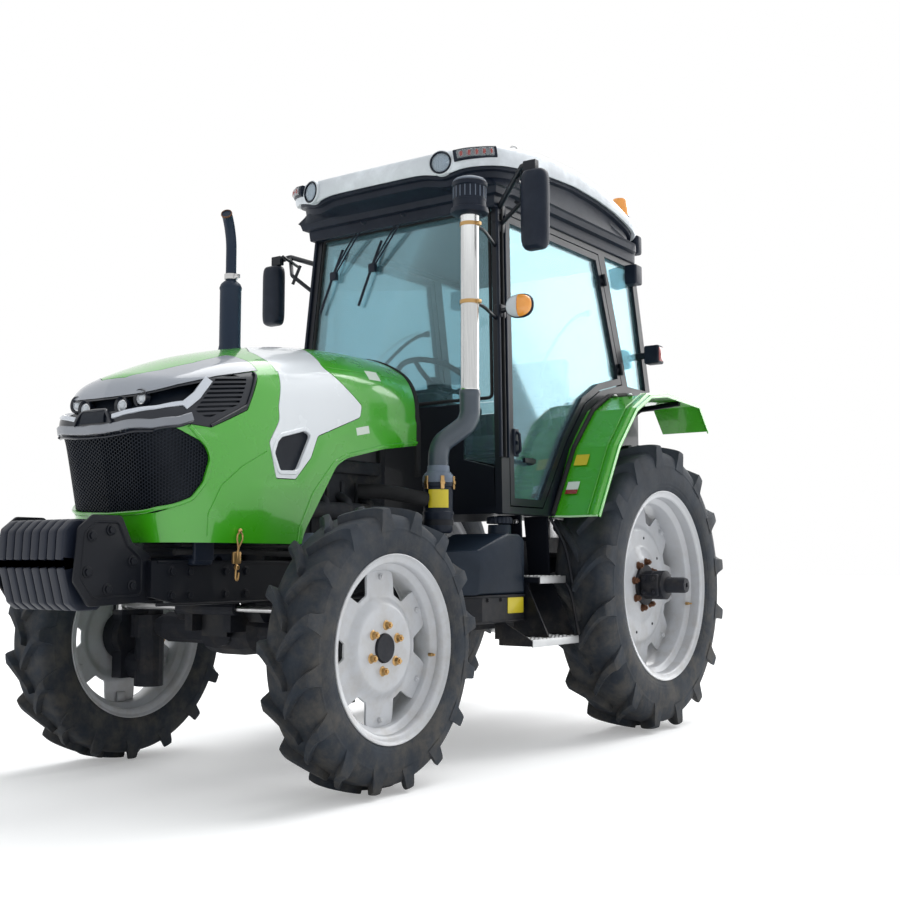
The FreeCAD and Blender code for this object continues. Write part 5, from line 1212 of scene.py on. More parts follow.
def disc_lamp(radius, depth):
    """Pod, ring, bowl and cover of a round lamp that looks along -Y."""
    r, d = radius, depth
    axis = 0, -1, 0
    pod = turned([(-d, r * 1.12), (-0.2 * d, r * 1.22), (0.15 * d, r * 1.2), (0.25 * d, r * 1.12),
                  (0.1 * d, r * 1.05), (-d, r * 1.02)], axis=axis, closed=True)
    ring = turned([(0.0, r * 1.06), (0.3 * d, r * 1.06), (0.36 * d, r * 1.0), (0.3 * d, r * 0.93),
                   (0.0, r * 0.92)], axis=axis, closed=True)
    bowl = turned([(-0.9 * d, 0.0), (-0.9 * d, r * 0.25), (-0.55 * d, r * 0.6), (0.0, r * 0.92),
                   (0.06 * d, r * 0.94), (-0.6 * d, r * 0.66), (-0.96 * d, 0.2 * r), (-0.96 * d, 0.0)],
                  axis=axis)
    bulb_ring = turned([(-0.9 * d, r * 0.2), (-0.2 * d, r * 0.2), (-0.15 * d, r * 0.12),
                        (-0.15 * d, 0.0)], axis=axis)
    cover = turned([(0.14 * d, r * 0.93), (0.24 * d, r * 0.8), (0.32 * d, r * 0.45), (0.34 * d, 0.0)],
                   axis=axis)
    return pod, ring, bowl + bulb_ring, cover


pod, ring, bowl, cover = (facing(skin, LAMP_AT, LAMP_TURN).both() for skin in disc_lamp(0.046, 0.04))
piece("roof_lamp_pods", pod, m_roof)
piece("roof_lamp_rings", ring, m_plastic)
piece("roof_lamp_bowls", bowl, m_chrome, replaces=("lamps",))
piece("roof_lamp_covers", cover, m_clear)

# Marker bars beside the roof lamps, round the corner of the roof
bar_line = smooth_line([(0.432, 0.818, 2.54), (0.485, 0.842, 2.548), (0.538, 0.89, 2.557),
                        (0.57, 0.94, 2.566)], 24)
pill = rounded([(-0.01, -0.026), (0.012, -0.026), (0.012, 0.026), (-0.01, 0.026)], 0.01, 3)
bezel = swept(bar_line, pill, up=(0, 0, 1))
inner_pill = rounded([(-0.006, -0.018), (0.018, -0.018), (0.018, 0.018), (-0.006, 0.018)], 0.008, 3)
lens = swept(bar_line[2:-2], inner_pill, up=(0, 0, 1))
piece("marker_bezels", bezel.both(), m_plastic)
piece("marker_lenses", lens.both(), m_clear)
cells = [bulb(bar_line[i] + (0.004, -0.008, 0.0), (0.012, 0.01, 0.014), 3.0) for i in range(4, 21, 4)]
piece("marker_cells", joined(cells).both(), m_red)

# Beacon and lifting eye
BEACON = 0.515, 2.225
piece("beacon_lens", upright([(2.592, 0.047), (2.6, 0.048), (2.634, 0.044), (2.676, 0.039),
                              (2.6845, 0.034), (2.6865, 0.0)], BEACON, 40), m_amber)
piece("beacon_foot", upright([(2.55, 0.052), (2.584, 0.052), (2.592, 0.05), (2.594, 0.046)], BEACON, 40),
      m_plastic)
eye_ring = turned([(0.0045 * math.sin(a), 0.016 + 0.0045 * math.cos(a))
                   for a in np.linspace(0, TAU, 13)[:-1]], (0.5, 1.2, 2.664), (0.5, -0.8, 0), 28,
                  closed=True)
eye_foot = turned([(2.61, 0.012), (2.642, 0.011), (2.646, 0.006), (2.65, 0.0045)], (0.5, 1.2, 0),
                  sides=20)
piece("lifting_eye", eye_ring + eye_foot, m_bright)

# Wipers: a motor box, two parallel arms and a blade each
def on_screen(x, z, off):
    """A point off the outside of the windscreen."""
    return x, post_y(z) + 0.006 - off, z


wipers = []
foot = 2.395
for pivot_x, blade_mid in ((-0.205, (-0.4, 2.16)), (0.03, (-0.165, 2.17))):
    for shift in (0.0, 0.022):
        wipers.append(tube([on_screen(pivot_x + shift, foot, 0.05), on_screen(pivot_x - 0.1 + shift,
                                                                              foot - 0.11, 0.034),
                            on_screen(blade_mid[0] + shift * 0.6, blade_mid[1], 0.022)], 0.0042, sides=8))
    down = np.array([-0.12, -0.3])
    top = np.array(blade_mid) - down * 0.42
    end = np.array(blade_mid) + down * 0.58
    wipers.append(tube([on_screen(*top, 0.014), on_screen(*blade_mid, 0.017), on_screen(*end, 0.014)],
                       0.0065, sides=8))
    wipers.append(block(np.array(on_screen(blade_mid[0] - 0.012, blade_mid[1] - 0.02, 0.028)),
                        np.array(on_screen(blade_mid[0] + 0.026, blade_mid[1] + 0.02, 0.008)), 0.004))
    wipers.append(turned([(0.0, 0.022), (0.03, 0.022), (0.038, 0.016), (0.038, 0.0)],
                         on_screen(pivot_x + 0.011, foot, 0.024), (0, -1, 0.1), 20))
piece("wipers", joined(wipers), m_plastic)
motor = block(on_screen(-0.26, 2.35, 0.045), on_screen(-0.1, 2.412, -0.01), 0.01)
piece("wiper_motor", motor, m_plastic)

# Mirrors: a soft-cornered head with a rim, plate and tubes
def mirror_head(z0, z1, at_x, at_y):
    """Head of a mirror: a superellipse across X and Z, rounded at the front, glass behind."""
    v = np.linspace(0, TAU, 73)[:-1]
    x = np.sign(np.cos(v)) * np.abs(np.cos(v)) ** 0.38
    z = np.sign(np.sin(v)) * np.abs(np.sin(v)) ** 0.3
    mid, half = (z0 + z1) / 2, (z1 - z0) / 2
    rows = []
    for dy, sx, sz in ((-0.026, 0.0, 0.62), (-0.026, 0.4, 0.8), (-0.022, 0.7, 0.92), (-0.012, 0.9, 0.975),
                       (0.002, 0.985, 0.995), (0.012, 1.0, 1.0), (0.026, 1.0, 1.0), (0.03, 0.985, 0.997),
                       (0.031, 0.95, 0.985), (0.029, 0.93, 0.978), (0.026, 0.92, 0.974)):
        rows.append(np.column_stack([at_x + 0.06 * sx * x, np.full(72, at_y + dy), mid + half * sz * z]))
    shell = grid(rows, wrap_v=True, cap_end=True)
    face = slab(np.column_stack([mid + half * 0.965 * z, at_x + 0.055 * x]), at_y + 0.0262, at_y + 0.0275,
                1)
    return shell, face


left_head, left_face = mirror_head(2.062, 2.398, 0.85, 0.785)
right_head, right_face = mirror_head(1.982, 2.288, 0.85, 1.06)
piece("mirror_heads", left_head + right_head.mirror(), m_plastic, replaces=("mirrors",))
piece("mirror_faces", left_face + right_face.mirror(), m_mirror)
arms = []
for s, top_z, foot_hi, foot_lo, yy in ((1, 2.405, 2.345, 2.265, 0.79), (-1, 2.3, 2.235, 2.08, 1.065)):
    def put(x, y, z):
        return s * x, y, z
    foot_x = side_x(foot_hi) - 0.02
    fy = post_y(foot_hi) + 0.03
    hi, lo = put(foot_x, fy, foot_hi), put(side_x(foot_lo) - 0.02, fy - 0.006, foot_lo)
    knee = put(0.77, yy + 0.04, top_z + 0.03)
    arms.append(tube([hi, knee, put(0.838, yy + 0.02, top_z + 0.012),
                      put(0.848, yy + 0.006, top_z - 0.06)], 0.0125, sides=12, bend=0.03))
    arms.append(tube([lo, put(0.66, fy - 0.05, (foot_lo + top_z) / 2 + 0.01), knee], 0.01, sides=12,
                     bend=0.03))
    arms.append(tube([put(0.62, fy - 0.035, foot_hi + 0.012), put(0.655, fy - 0.05, foot_lo + 0.075)],
                     0.008, sides=10))
    arms.append(tube([put(0.7, fy - 0.075, top_z - 0.005), put(0.735, yy + 0.06, top_z - 0.02)], 0.008,
                     sides=10))
    arms.append(slab(np.array([(s * 0.8, yy - 0.004), (s * 0.858, yy - 0.004), (s * 0.858, yy + 0.024),
                               (s * 0.8, yy + 0.024)]), top_z - 0.012, top_z + 0.034, 2, 0.003))
    for foot, fz in ((hi, foot_hi), (lo, foot_lo)):
        arms.append(block((s * (abs(foot[0]) - 0.012), foot[1] - 0.03, fz - 0.026),
                          (s * (abs(foot[0]) + 0.028), foot[1] + 0.022, fz + 0.026), 0.005))
    arms.append(tube([put(0.848, yy + 0.004, top_z - 0.02), put(0.85, yy + 0.004, top_z - 0.16)], 0.014,
                     sides=12))
piece("mirror_brackets", joined(arms), m_cab)

# Turn lamp on the left post: clear and amber halves before one oval shell
TURN = np.array([0.676, 0.95, 1.88])
TURN_ANGLE = 0.45         # degrees
oval_back = bulb((0, 0.012, 0), (0.066, 0.022, 0.052), 2.4, 20, 32)
piece("turn_lamp_shell", facing(oval_back, TURN, TURN_ANGLE), m_plastic)
halves = bulb((0, 0, 0), (0.062, 0.026, 0.048), 2.3, 24, 40)
clear_half = Skin(np.minimum(halves.points, (0.001, 9, 9)), halves.faces)
amber_half = Skin(np.maximum(halves.points, (0.003, -9, -9)), halves.faces)
piece("turn_lamp_clear", facing(clear_half, TURN, TURN_ANGLE), m_lens)
piece("turn_lamp_amber", facing(amber_half, TURN, TURN_ANGLE), m_amber)
turn_arm = tube([(side_x(1.88) - 0.02, post_y(1.88) + 0.016, 1.878), (0.6, 0.985, 1.879),
                 (0.668, 0.968, 1.88)], 0.0105, sides=12)
turn_foot = block((side_x(1.88) - 0.025, post_y(1.88) - 0.006, 1.852),
                  (side_x(1.88) + 0.012, post_y(1.88) + 0.04, 1.908), 0.004)
piece("turn_lamp_arm", turn_arm + turn_foot, m_cab)

# Rear work lamps and tail lamps: box, bezel, lens and bracket
boxes, bezels, clear_faces, red_faces, feet = [], [], [], [], []
work_low, work_high = (0.52, 2.258, 2.238), (0.588, 2.336, 2.342)
boxes.append(block(work_low, work_high, 0.01))
bezels.append(block((0.524, 2.33, 2.244), (0.584, 2.3395, 2.336), 0.006, axis=1))
clear_faces.append(block((0.53, 2.336, 2.252), (0.578, 2.3415, 2.328), 0.003, axis=1))
tail_low, tail_high = (0.585, 2.342, 1.823), (0.668, 2.41, 1.921)
boxes.append(block(tail_low, tail_high, 0.01))
bezels.append(block((0.588, 2.405, 1.826), (0.665, 2.416, 1.918), 0.006, axis=1))
clear_faces.append(block((0.594, 2.41, 1.832), (0.659, 2.4225, 1.86), 0.003, axis=1))
red_faces.append(block((0.594, 2.41, 1.864), (0.659, 2.4235, 1.912), 0.003, axis=1))
red_faces.append(block((0.662, 2.35, 1.835), (0.6705, 2.4, 1.909), 0.003, axis=0))
for low_z, at_y, foot_x in ((2.29, 2.3, 0.52), (1.872, 2.375, 0.585)):
    feet.append(block((side_x(low_z) - 0.02, at_y - 0.012, low_z - 0.016),
                      (foot_x + 0.02, at_y + 0.012, low_z + 0.016), 0.004))
piece("rear_lamp_boxes", joined(boxes).both(), m_plastic)
piece("rear_lamp_bezels", joined(bezels).both(), m_silver_trim, "lamp_plastic")
piece("rear_lamp_clear_faces", joined(clear_faces).both(), m_lens)
piece("rear_lamp_red_faces", joined(red_faces).both(), m_red)
piece("rear_lamp_brackets", joined(feet).both(), m_cab)

# Front posts: outer trims, seals and the windscreen's seal
strips, seals = [], []
for off_y, reach, width in ((-0.004, 0.004, 0.014), (0.02, 0.01, 0.01), (0.052, 0.006, 0.012)):
    path = [(side_x(z) + reach - 0.004, post_y(z) + off_y, z) for z in (1.24, 1.8, 2.36)]
    section = rounded([(-width / 2, -0.007), (width / 2, -0.007), (width / 2, 0.007),
                       (-width / 2, 0.007)], 0.003, 2)
    (strips if off_y != 0.02 else seals).append(swept(path, section, up=(1, 0, 0)))
screen_line = [on_screen(s * (side_x(z) - 0.046), z, 0.002) for s,
               z in ((1, 2.35), (1, 1.5), (-1, 1.5), (-1, 2.35))]
screen_seal = swept(rounded(screen_line, 0.02, 4), circle(0.0075, 8), closed=True, up=(0, 1, 0))
piece("post_trims", joined(strips).both(), m_plastic)
piece("post_seals", joined(seals).both(), m_rubber)
piece("windscreen_seal", screen_seal, m_rubber)

# Exhaust, intake, tank, steps, fenders, front weights and running gear

def hex_bolt(at, axis, size=0.011, height=0.008):
    """A bolt's head on a washer, looking along an axis."""
    s, t, d = frame_about(axis)
    v = np.arange(6) * TAU / 6
    ring_pts = np.cos(v)[:, None] * s + np.sin(v)[:, None] * t
    rows = [np.asarray(at) + ring_pts * r + d * h for h, r in ((0.002, size), (height * 0.85, size),
                                                               (height, size * 0.86))]
    washer = turned([(0.0, size * 1.45), (0.002, size * 1.45), (0.0025, size * 1.3)], at, axis, 20)
    return grid(rows, wrap_v=True, cap_start=True, cap_end=True) + washer


def band_round(centre, radius, z, width):
    """A strap 2.6 mm thick round an upright pipe, with its screw lug."""
    low, high, near, far = z - width / 2, z + width / 2, radius + 0.0004, radius + 0.003
    lug = block((centre[0] + radius - 0.002, centre[1] - 0.012, low),
                (centre[0] + radius + 0.014, centre[1] + 0.012, high), 0.003)
    return upright([(low, near), (low, far), (high, far), (high, near)], centre, 40, True) + lug


# Exhaust: silencer with rolled ends, clamp, and a stack with a slanting mouth
EX = -0.205, 0.13
silencer = upright([(1.545, 0.05), (1.55, 0.06), (1.6, 0.06), (1.612, 0.056), (1.64, 0.05),
                    (1.664, 0.046), (1.672, 0.0445), (1.676, 0.0435), (1.905, 0.0435), (1.91, 0.0455),
                    (1.916, 0.0455), (1.921, 0.0435), (1.93, 0.04), (1.94, 0.03), (1.944, 0.024)], EX, 56)
stack_path = smooth_line([(*EX, 1.94), (*EX, 2.02), (-0.204, 0.128, 2.1), (-0.195, 0.11, 2.155),
                          (-0.182, 0.086, 2.19), (-0.171, 0.066, 2.206)], 60)
stack = swept(stack_path, circle(0.0215, 28))
piece("exhaust_stack", silencer + stack, m_exhaust, body="bonnet", replaces=("exhaust",))
clamp_ring = upright([(1.95, 0.0222), (1.95, 0.027), (1.972, 0.027), (1.972, 0.0222)], EX, 36,
                     closed=True)
clamp_bolt = block((EX[0] + 0.022, EX[1] - 0.01, 1.952), (EX[0] + 0.044, EX[1] + 0.01, 1.97), 0.003)
flange = upright([(1.541, 0.062), (1.553, 0.062), (1.555, 0.058)], EX, 48)
piece("exhaust_clamp", clamp_ring + clamp_bolt + flange, m_bright, "exhaust_black", body="bonnet")
lip = turned([(0.0, 0.0195), (0.003, 0.0195), (0.004, 0.0222), (0.0, 0.0235), (-0.004, 0.0222)],
             stack_path[-1], stack_path[-1] - stack_path[-2], 36, closed=True)
piece("exhaust_mouth", lip, m_rust, "exhaust_black", body="bonnet")

# Intake: pipe, elbow, pre-cleaner, clamps and struts
PIPE = 0.57, 0.735
pipe = upright([(1.44, 0.0375), (1.445, 0.0385), (1.5, 0.0385), (1.503, 0.0395), (1.508, 0.0395),
                (1.511, 0.0385), (2.225, 0.0385), (2.228, 0.04), (2.238, 0.04)], PIPE, 64)
piece("intake_pipe", pipe, m_steel, replaces=("air_intake",))
elbow_path = smooth_line([(*PIPE, 1.5), (*PIPE, 1.44), (0.569, 0.7345, 1.4), (0.556, 0.728, 1.362),
                          (0.528, 0.716, 1.336), (0.49, 0.698, 1.306), (0.464, 0.686, 1.28),
                          (0.451, 0.6805, 1.236), (0.45, 0.68, 1.165)], 90)
along = np.arange(90)
elbow_scale = 1 + 0.05 * sum((np.exp(-((along - cuff) / 2.0) ** 2) for cuff in (3, 86)))
piece("intake_elbow", swept(elbow_path, circle(0.0425, 40), up=(0.9, -0.4, 0), scale=elbow_scale),
      m_elbow)
bowl_profile = [(2.232, 0.042), (2.236, 0.066), (2.242, 0.0785), (2.252, 0.0805), (2.262, 0.0785),
                (2.266, 0.07), (2.292, 0.069), (2.294, 0.0705), (2.3, 0.0705), (2.302, 0.069),
                (2.352, 0.069), (2.356, 0.0745), (2.372, 0.0745), (2.376, 0.07)]
piece("precleaner_bowl", upright(bowl_profile, PIPE, 64), m_plastic)
piece("precleaner_cap", upright([(2.3755, 0.0705), (2.38, 0.07), (2.388, 0.062), (2.395, 0.044),
                                 (2.398, 0.022), (2.3985, 0.0)], PIPE, 64), m_cap_grey)
vane = slab([(0.069, -0.0018), (0.0712, -0.0018), (0.0712, 0.0018), (0.069, 0.0018)], 2.304, 2.35)
vanes = [vane.turn((0, 0, 1), i * 18).move(*PIPE) for i in range(20)]
piece("precleaner_vanes", joined(vanes), m_cap_grey)
clamps = joined([band_round(PIPE, 0.0385, z, 0.016) for z in (1.868, 2.196)])
piece("intake_clamps", clamps, m_bronze, "polished_steel")
struts = []
for z in (1.868, 2.196):
    foot = np.array([side_x(z) - 0.02, post_y(z) + 0.01, z - 0.02])
    struts.append(tube([(PIPE[0] + 0.01, PIPE[1] + 0.04, z), (0.575, 0.84, z - 0.004), foot], 0.0075,
                       sides=10))
    struts.append(block(foot - (0.01, 0.01, 0.03), foot + (0.022, 0.022, 0.03), 0.004))
piece("intake_struts", joined(struts), m_cab)

# Air cleaner: ribbed canister, grey lid, clips, strap, outlet and a blank label
CAN = 0.45, 0.68
can = upright([(0.912, 0.02), (0.914, 0.052), (0.922, 0.058), (0.94, 0.0605), (0.985, 0.0605),
               (0.99, 0.064), (1.0, 0.064), (1.004, 0.0605), (1.1, 0.0605), (1.104, 0.065),
               (1.116, 0.0655), (1.122, 0.062)], CAN, 64)
piece("cleaner_canister", can, m_plastic, replaces=("air_cleaner",))
piece("cleaner_lid", upright([(1.12, 0.064), (1.128, 0.0655), (1.146, 0.064), (1.158, 0.056),
                              (1.166, 0.047), (1.186, 0.0455), (1.19, 0.044)], CAN, 64), m_cap_grey)
clips = []
for a in (-100, -40, 20, 140):
    clip = block((-0.008, -0.0705, 1.092), (0.008, -0.0635, 1.146), 0.002) + block((-0.01, -0.0735,
                                                                                    1.112), (0.01,
                                                                                             -0.0665,
                                                                                             1.126),
                                                                                   0.002)
    clips.append(clip.turn((0, 0, 1), a + 90).move(*CAN))
piece("cleaner_clips", joined(clips), m_bronze, "cab_plastic")
sweep_a = np.radians(np.linspace(-95, -12, 24))
label_rows = [np.column_stack([CAN[0] + 0.0613 * np.cos(sweep_a), CAN[1] + 0.0613 * np.sin(sweep_a),
                               np.full(24, z)]) for z in (1.09, 1.016)]
piece("cleaner_blank_label", grid(label_rows), m_yellow, "cab_plastic")
can_arm = tube([(0.405, 0.66, 0.955), (0.33, 0.645, 0.935), (0.24, 0.62, 0.925)], 0.014, sides=14)
can_strap = upright([(0.945, 0.0607), (0.945, 0.0635), (0.968, 0.0635), (0.968, 0.0607)], CAN, 48,
                    closed=True)
outlet = tube([(0.43, 0.62, 1.05), (0.4, 0.56, 1.06), (0.3, 0.5, 1.08), (0.22, 0.44, 1.08)], 0.03,
              sides=24)
piece("cleaner_strap_and_arm", can_arm + can_strap, m_chassis)
piece("cleaner_outlet_hose", outlet, m_rubber)

# Fuel tank: moulded body with soft edges, neck and ribbed cap
tank_line = rounded([(0.592, 0.662), (1.088, 0.662), (1.088, 0.89), (1.05, 0.914), (0.95, 0.916),
                     (0.722, 0.842), (0.592, 0.834)], [0.012, 0.012, 0.02, 0.03, 0.06, 0.04, 0.02], 5)
tank = slab(tank_line, 0.332, 0.618, 0, 0.016, 4)
corner_cut = slab(np.array([(0.488, 0.56), (0.66, 0.56), (0.66, 0.798)]), 0.6, 1.0)
tank = carved(tank, [("cut", corner_cut)])
piece("tank_body", tank, m_tank, smooth=40, replaces=("fuel_tank",))
v = np.arange(144) * TAU / 144
wave = np.cos(v * 18)
NECK = 0.54, 1.005
cap_rows = [np.column_stack([NECK[0] + r * np.cos(v), NECK[1] + r * np.sin(v), np.full(144, z)]) for r,
            z in ((0.05, 0.958), (0.054 + 0.0018 * wave, 0.96), (0.054 + 0.0018 * wave, 0.98),
                  (0.05 + 0.0008 * wave, 0.987), (0.04, 0.9895), (0.038, 0.986), (0.012, 0.9865),
                  (0.01, 0.9895))]
piece("tank_cap", grid(cap_rows, wrap_v=True, cap_start=True, cap_end=True), m_plastic, "tank_plastic")
piece("tank_neck", upright([(0.905, 0.056), (0.915, 0.05), (0.95, 0.049), (0.954, 0.047)], NECK, 48),
      m_tank)

# Trays: rims, bolts, a yellow blank plate and the battery box's lid, handle and catches
tray_bolts = [hex_bolt((0.612, y, 0.64), OUT, 0.007) for y in (0.8, 0.9)]
lip_line = np.array([(0.5, 0.59, 0.655), (0.614, 0.76, 0.655), (0.614, 1.085, 0.655)])
tray_rims = [swept(lip_line - (0, 0, down), circle(r, 8), up=(0, 0, 1)) for down,
             r in ((0, 0.006), (0.105, 0.005))]
piece("tray_rims", joined(tray_rims).both(), m_chassis)
piece("tray_bolts", joined(tray_bolts).both(), m_chassis)
tray_plate = block((0.6115, 0.952, 0.582), (0.615, 1.076, 0.648), 0.0012, 0.006, axis=0)
piece("tray_blank_plate", tray_plate, m_yellow, "chassis_black")
lid = plate([(-0.335, 0.594), (-0.498, 0.594), (-0.608, 0.762), (-0.608, 1.085), (-0.335, 1.085)], 0.02,
            0.802, 0.829, 2, 0.008)
handle = tube([(-0.42, 0.74, 0.825), (-0.42, 0.745, 0.848), (-0.42, 0.9, 0.848), (-0.42, 0.905, 0.825)],
              0.008, sides=10, bend=0.012)
piece("battery_box_lid", lid, m_plastic, "tank_plastic")
piece("battery_box_handle", handle, m_rubber, "tank_plastic")
catches = joined([block((-0.6165, y - 0.02, 0.77), (-0.606, y + 0.02, 0.815), 0.004)
                  for y in (0.84, 1.02)])
piece("battery_box_catches", catches, m_bright, "tank_plastic")

# Steps: pressed treads with raised rings, edge bars, bolts and a stay
treads, frames, bolts = [], [], []
for x0, x1, y0, y1, z in ((0.524, 0.678, 1.108, 1.318, 0.73), (0.594, 0.741, 0.938, 1.318, 0.472)):
    treads.append(block((x0, y0, z - 0.004), (x1, y1, z + 0.004), 0.0015, 0.006))
    nx, ny = 4, int(round((y1 - y0) / 0.036))
    for i in range(nx):
        for j in range(ny):
            at = x0 + (x1 - x0) * (i + 0.5) / nx, y0 + (y1 - y0) * (j + 0.5) / ny, 0
            treads.append(turned([(z + 0.003, 0.0125), (z + 0.0075, 0.0095), (z + 0.0075, 0.0065),
                                  (z + 0.003, 0.0055)], at, sides=14, closed=True))
    treads.append(block((x1 - 0.002, y0 - 0.004, z - 0.026), (x1 + 0.005, y1 + 0.004, z + 0.006), 0.002))
piece("step_treads", joined(treads).both(), m_alu)
for y in (1.09, 1.332):
    for x, z in ((0.5, 0.97), (0.57, 0.97), (0.54, 0.8)):
        bolts.append(hex_bolt((x, y, z), (0, math.copysign(1, y - 1.2), 0), 0.009))
piece("step_bolts", joined(bolts).both(), m_bright, "chassis_black")
frames.append(tube([(0.64, 1.336, 0.742), (0.69, 1.35, 0.66), (0.735, 1.338, 0.48)], 0.008, sides=10))
frames.append(tube([(0.59, 1.35, 0.995), (0.66, 1.358, 0.86), (0.7, 1.352, 0.7)], 0.007, sides=10))
piece("step_edges_and_stays", joined(frames).both(), m_chassis)

# Fenders: a rolled edge, a bead, pale lines of painted highlight along the outer edge and the foot, a seal to the
# cab, blank labels, bolts and braces
ARCH = [(24.6, 0.072), (52.5, 0.117), (70.0, 0.195), (81.3, 0.235), (92.4, 0.25), (115.3, 0.332),
        (124.7, 0.282)]
TYRE_R = 0.685
arch = np.array([(WHEELBASE - (TYRE_R + room) * math.cos(math.radians(turn)), TYRE_R + (TYRE_R + room)
                  * math.sin(math.radians(turn))) for turn, room in ARCH])


def along_arch(x, over):
    """A line on the fender's upper side, a height over the arch."""
    path = rounded(np.column_stack([np.full(len(arch), x), arch]), 0.02, 5, closed=False)
    tangent = np.gradient(path, axis=0)
    tangent /= np.linalg.norm(tangent, axis=1, keepdims=True)
    normal = np.stack([np.zeros(len(path)), -tangent[:, 2], tangent[:, 1]], -1)
    return path + normal * over


roll = [(0.0, -0.01), (0.0, 0.0), (0.003, 0.01), (0.009, 0.018), (0.017, 0.0235), (0.026, 0.0255),
        (0.026, 0.023), (0.01, 0.012), (0.004, -0.01)]
beads = swept(along_arch(0.81, 0.0075), roll, up=(1, 0, 0))
beads = beads + swept(along_arch(0.78, 0.0065), circle(0.003, 8), up=(1, 0, 0))
piece("fender_beads", beads.both(), m_green)
foot_y, foot_z = arch[0]
# thin pale tubes at the fender's foot and outer edge: painted highlights, not paint the fender has
foot_edge_highlight = tube([(0.612, foot_y + 0.001, foot_z - 0.001), (0.7, foot_y + 0.001, foot_z - 0.003),
                  (0.828, foot_y + 0.001, foot_z - 0.001)], 0.0042, sides=10)
outer_edge_highlight = swept(along_arch(0.8325, -0.012), circle(0.0034, 8), up=(1, 0, 0))
piece("fender_pale_edges", (foot_edge_highlight + outer_edge_highlight).both(), m_painted_highlight_edge)
fender_seal = swept(along_arch(0.608, 0.01), circle(0.011, 10), up=(1, 0, 0))
piece("fender_seals", fender_seal.both(), m_rubber)


def on_slope(x, share, half_x, half_run):
    """A small plate on the front slope of the fender, a share of the way up it."""
    a, b = arch[0], arch[1]
    run = (b - a) / np.linalg.norm(b - a)
    normal = np.array([-run[1], run[0]])
    centre = a + (b - a) * share + normal * 0.0062
    rows = [[(x + half_x * dx, *centre + run * half_run * du + normal * level) for du,
             dx in ((-1, -1), (1, -1), (1, 1), (-1, 1))] for level in (0.0, 0.0012)]
    return grid(rows, wrap_v=True, cap_start=True, cap_end=True)


piece("fender_label_yellow", on_slope(0.668, 0.8, 0.034, 0.03), m_yellow)
piece("fender_label_white", on_slope(0.664, 0.42, 0.03, 0.022), m_label, "body_green")
piece("fender_label_red", on_slope(0.664, 0.335, 0.03, 0.012), m_red, "body_green")
fender_bolts = [hex_bolt((x, *at), (0, 0, 1), 0.009) for at in (arch[3] + (0.0, 0.0065), arch[4]
                                                                + (0.1, 0.004)) for x in (0.64, 0.72)]
piece("fender_bolts", joined(fender_bolts).both(), m_bright, "chassis_black")
brace = []
for y in (1.8, 2.3):
    top = float(np.interp(y, arch[:, 0], arch[:, 1])) - 0.003
    brace.append(tube([(0.45, y, top - 0.12), (0.58, y, top - 0.03), (0.8, y, top - 0.012)], 0.014,
                      sides=10, bend=0.05))
piece("fender_braces", joined(brace).both(), m_chassis)

# Front weights: hooked castings side by side, tied by a bar
weight_line = rounded([(-0.762, 0.7), (-0.762, 0.87), (-0.79, 0.932), (-0.905, 0.934), (-0.945, 0.895),
                       (-0.949, 0.804), (-0.9, 0.8), (-0.9, 0.786), (-0.944, 0.778), (-0.912, 0.665),
                       (-0.88, 0.642), (-0.8, 0.642)], [0.02, 0.03, 0.03, 0.045, 0.03, 0.005, 0.005,
                                                        0.005, 0.006, 0.02, 0.02, 0.03], 5)
weights = [slab(weight_line, x - 0.0188, x + 0.0188, 0, 0.0075, 4) for x in (np.arange(8) - 3.5) * 0.042]
piece("weight_castings", joined(weights), m_weight, replaces=("front_weights",))
tie = tube([(-0.178, -0.8, 0.842), (0.178, -0.8, 0.842)], 0.013, smooth=False, sides=20)
for s in (-1, 1):
    tie = tie + hex_bolt((s * 0.17, -0.8, 0.842), (s, 0, 0), 0.02, 0.014)
piece("weight_tie_bar", tie, m_bright, "cast_black")

# Carrier ears, frame rails, bolts and brackets under the nose
ears, rail_bolts = [], []
ear = plate([(-0.93, 0.735), (-0.915, 0.905), (-0.86, 0.948), (-0.745, 0.948), (-0.7, 0.86),
             (-0.62, 0.82), (-0.62, 0.665), (-0.87, 0.655)], 0.022, 0.19, 0.2035, 0, 0.004)
ears.append(ear)
rim = rounded([(-0.905, 0.745), (-0.893, 0.89), (-0.85, 0.925), (-0.76, 0.925), (-0.72, 0.85),
               (-0.66, 0.805), (-0.66, 0.69), (-0.855, 0.682)], 0.02, 4)
ears.append(swept(np.column_stack([np.full(len(rim), 0.2035), rim]), circle(0.004, 6), closed=True,
                  up=(1, 0, 0)))
for y, z in ((-0.88, 0.765), (-0.865, 0.88), (-0.79, 0.9), (-0.7, 0.72), (-0.7, 0.8), (-0.8, 0.71)):
    rail_bolts.append(hex_bolt((0.2045, y, z), (1, 0, 0), 0.013, 0.01))
for y in (-0.55, -0.47, -0.3, -0.2, 0.2, 0.3, 0.42, 0.52):
    for z in (0.685, 0.765):
        rail_bolts.append(hex_bolt((0.227, y, z), (1, 0, 0), 0.012, 0.01))
rails = [tube([(0.226, -0.615, z), (0.226, 0.55, z)], 0.0055, smooth=False, sides=8)
         for z in (0.655, 0.797)]
gusset = plate([(-0.16, 0.655), (0.16, 0.655), (0.1, 0.575), (-0.1, 0.575)], 0.015, 0.15, 0.226, 0, 0.004,
               steps=3)
piece("carrier_ears", joined(ears).both(), m_chassis)
piece("frame_rail_rims", (joined(rails) + gusset).both(), m_chassis)
piece("frame_bolts", joined(rail_bolts).both(), m_chassis)
cross = block((-0.185, -0.668, 0.7), (0.185, -0.63, 0.86), 0.01)
tow = plate([(-0.06, -0.735), (0.06, -0.735), (0.06, -0.64), (-0.06, -0.64)], 0.02, 0.69, 0.712, 2, 0.004)
pin = turned([(0.66, 0.012), (0.735, 0.012), (0.738, 0.018), (0.748, 0.018), (0.752, 0.0)],
             (0, -0.705, 0), sides=24)
piece("front_cross_member", cross + tow, m_chassis)
piece("front_tow_pin", pin, m_bright, "chassis_black")

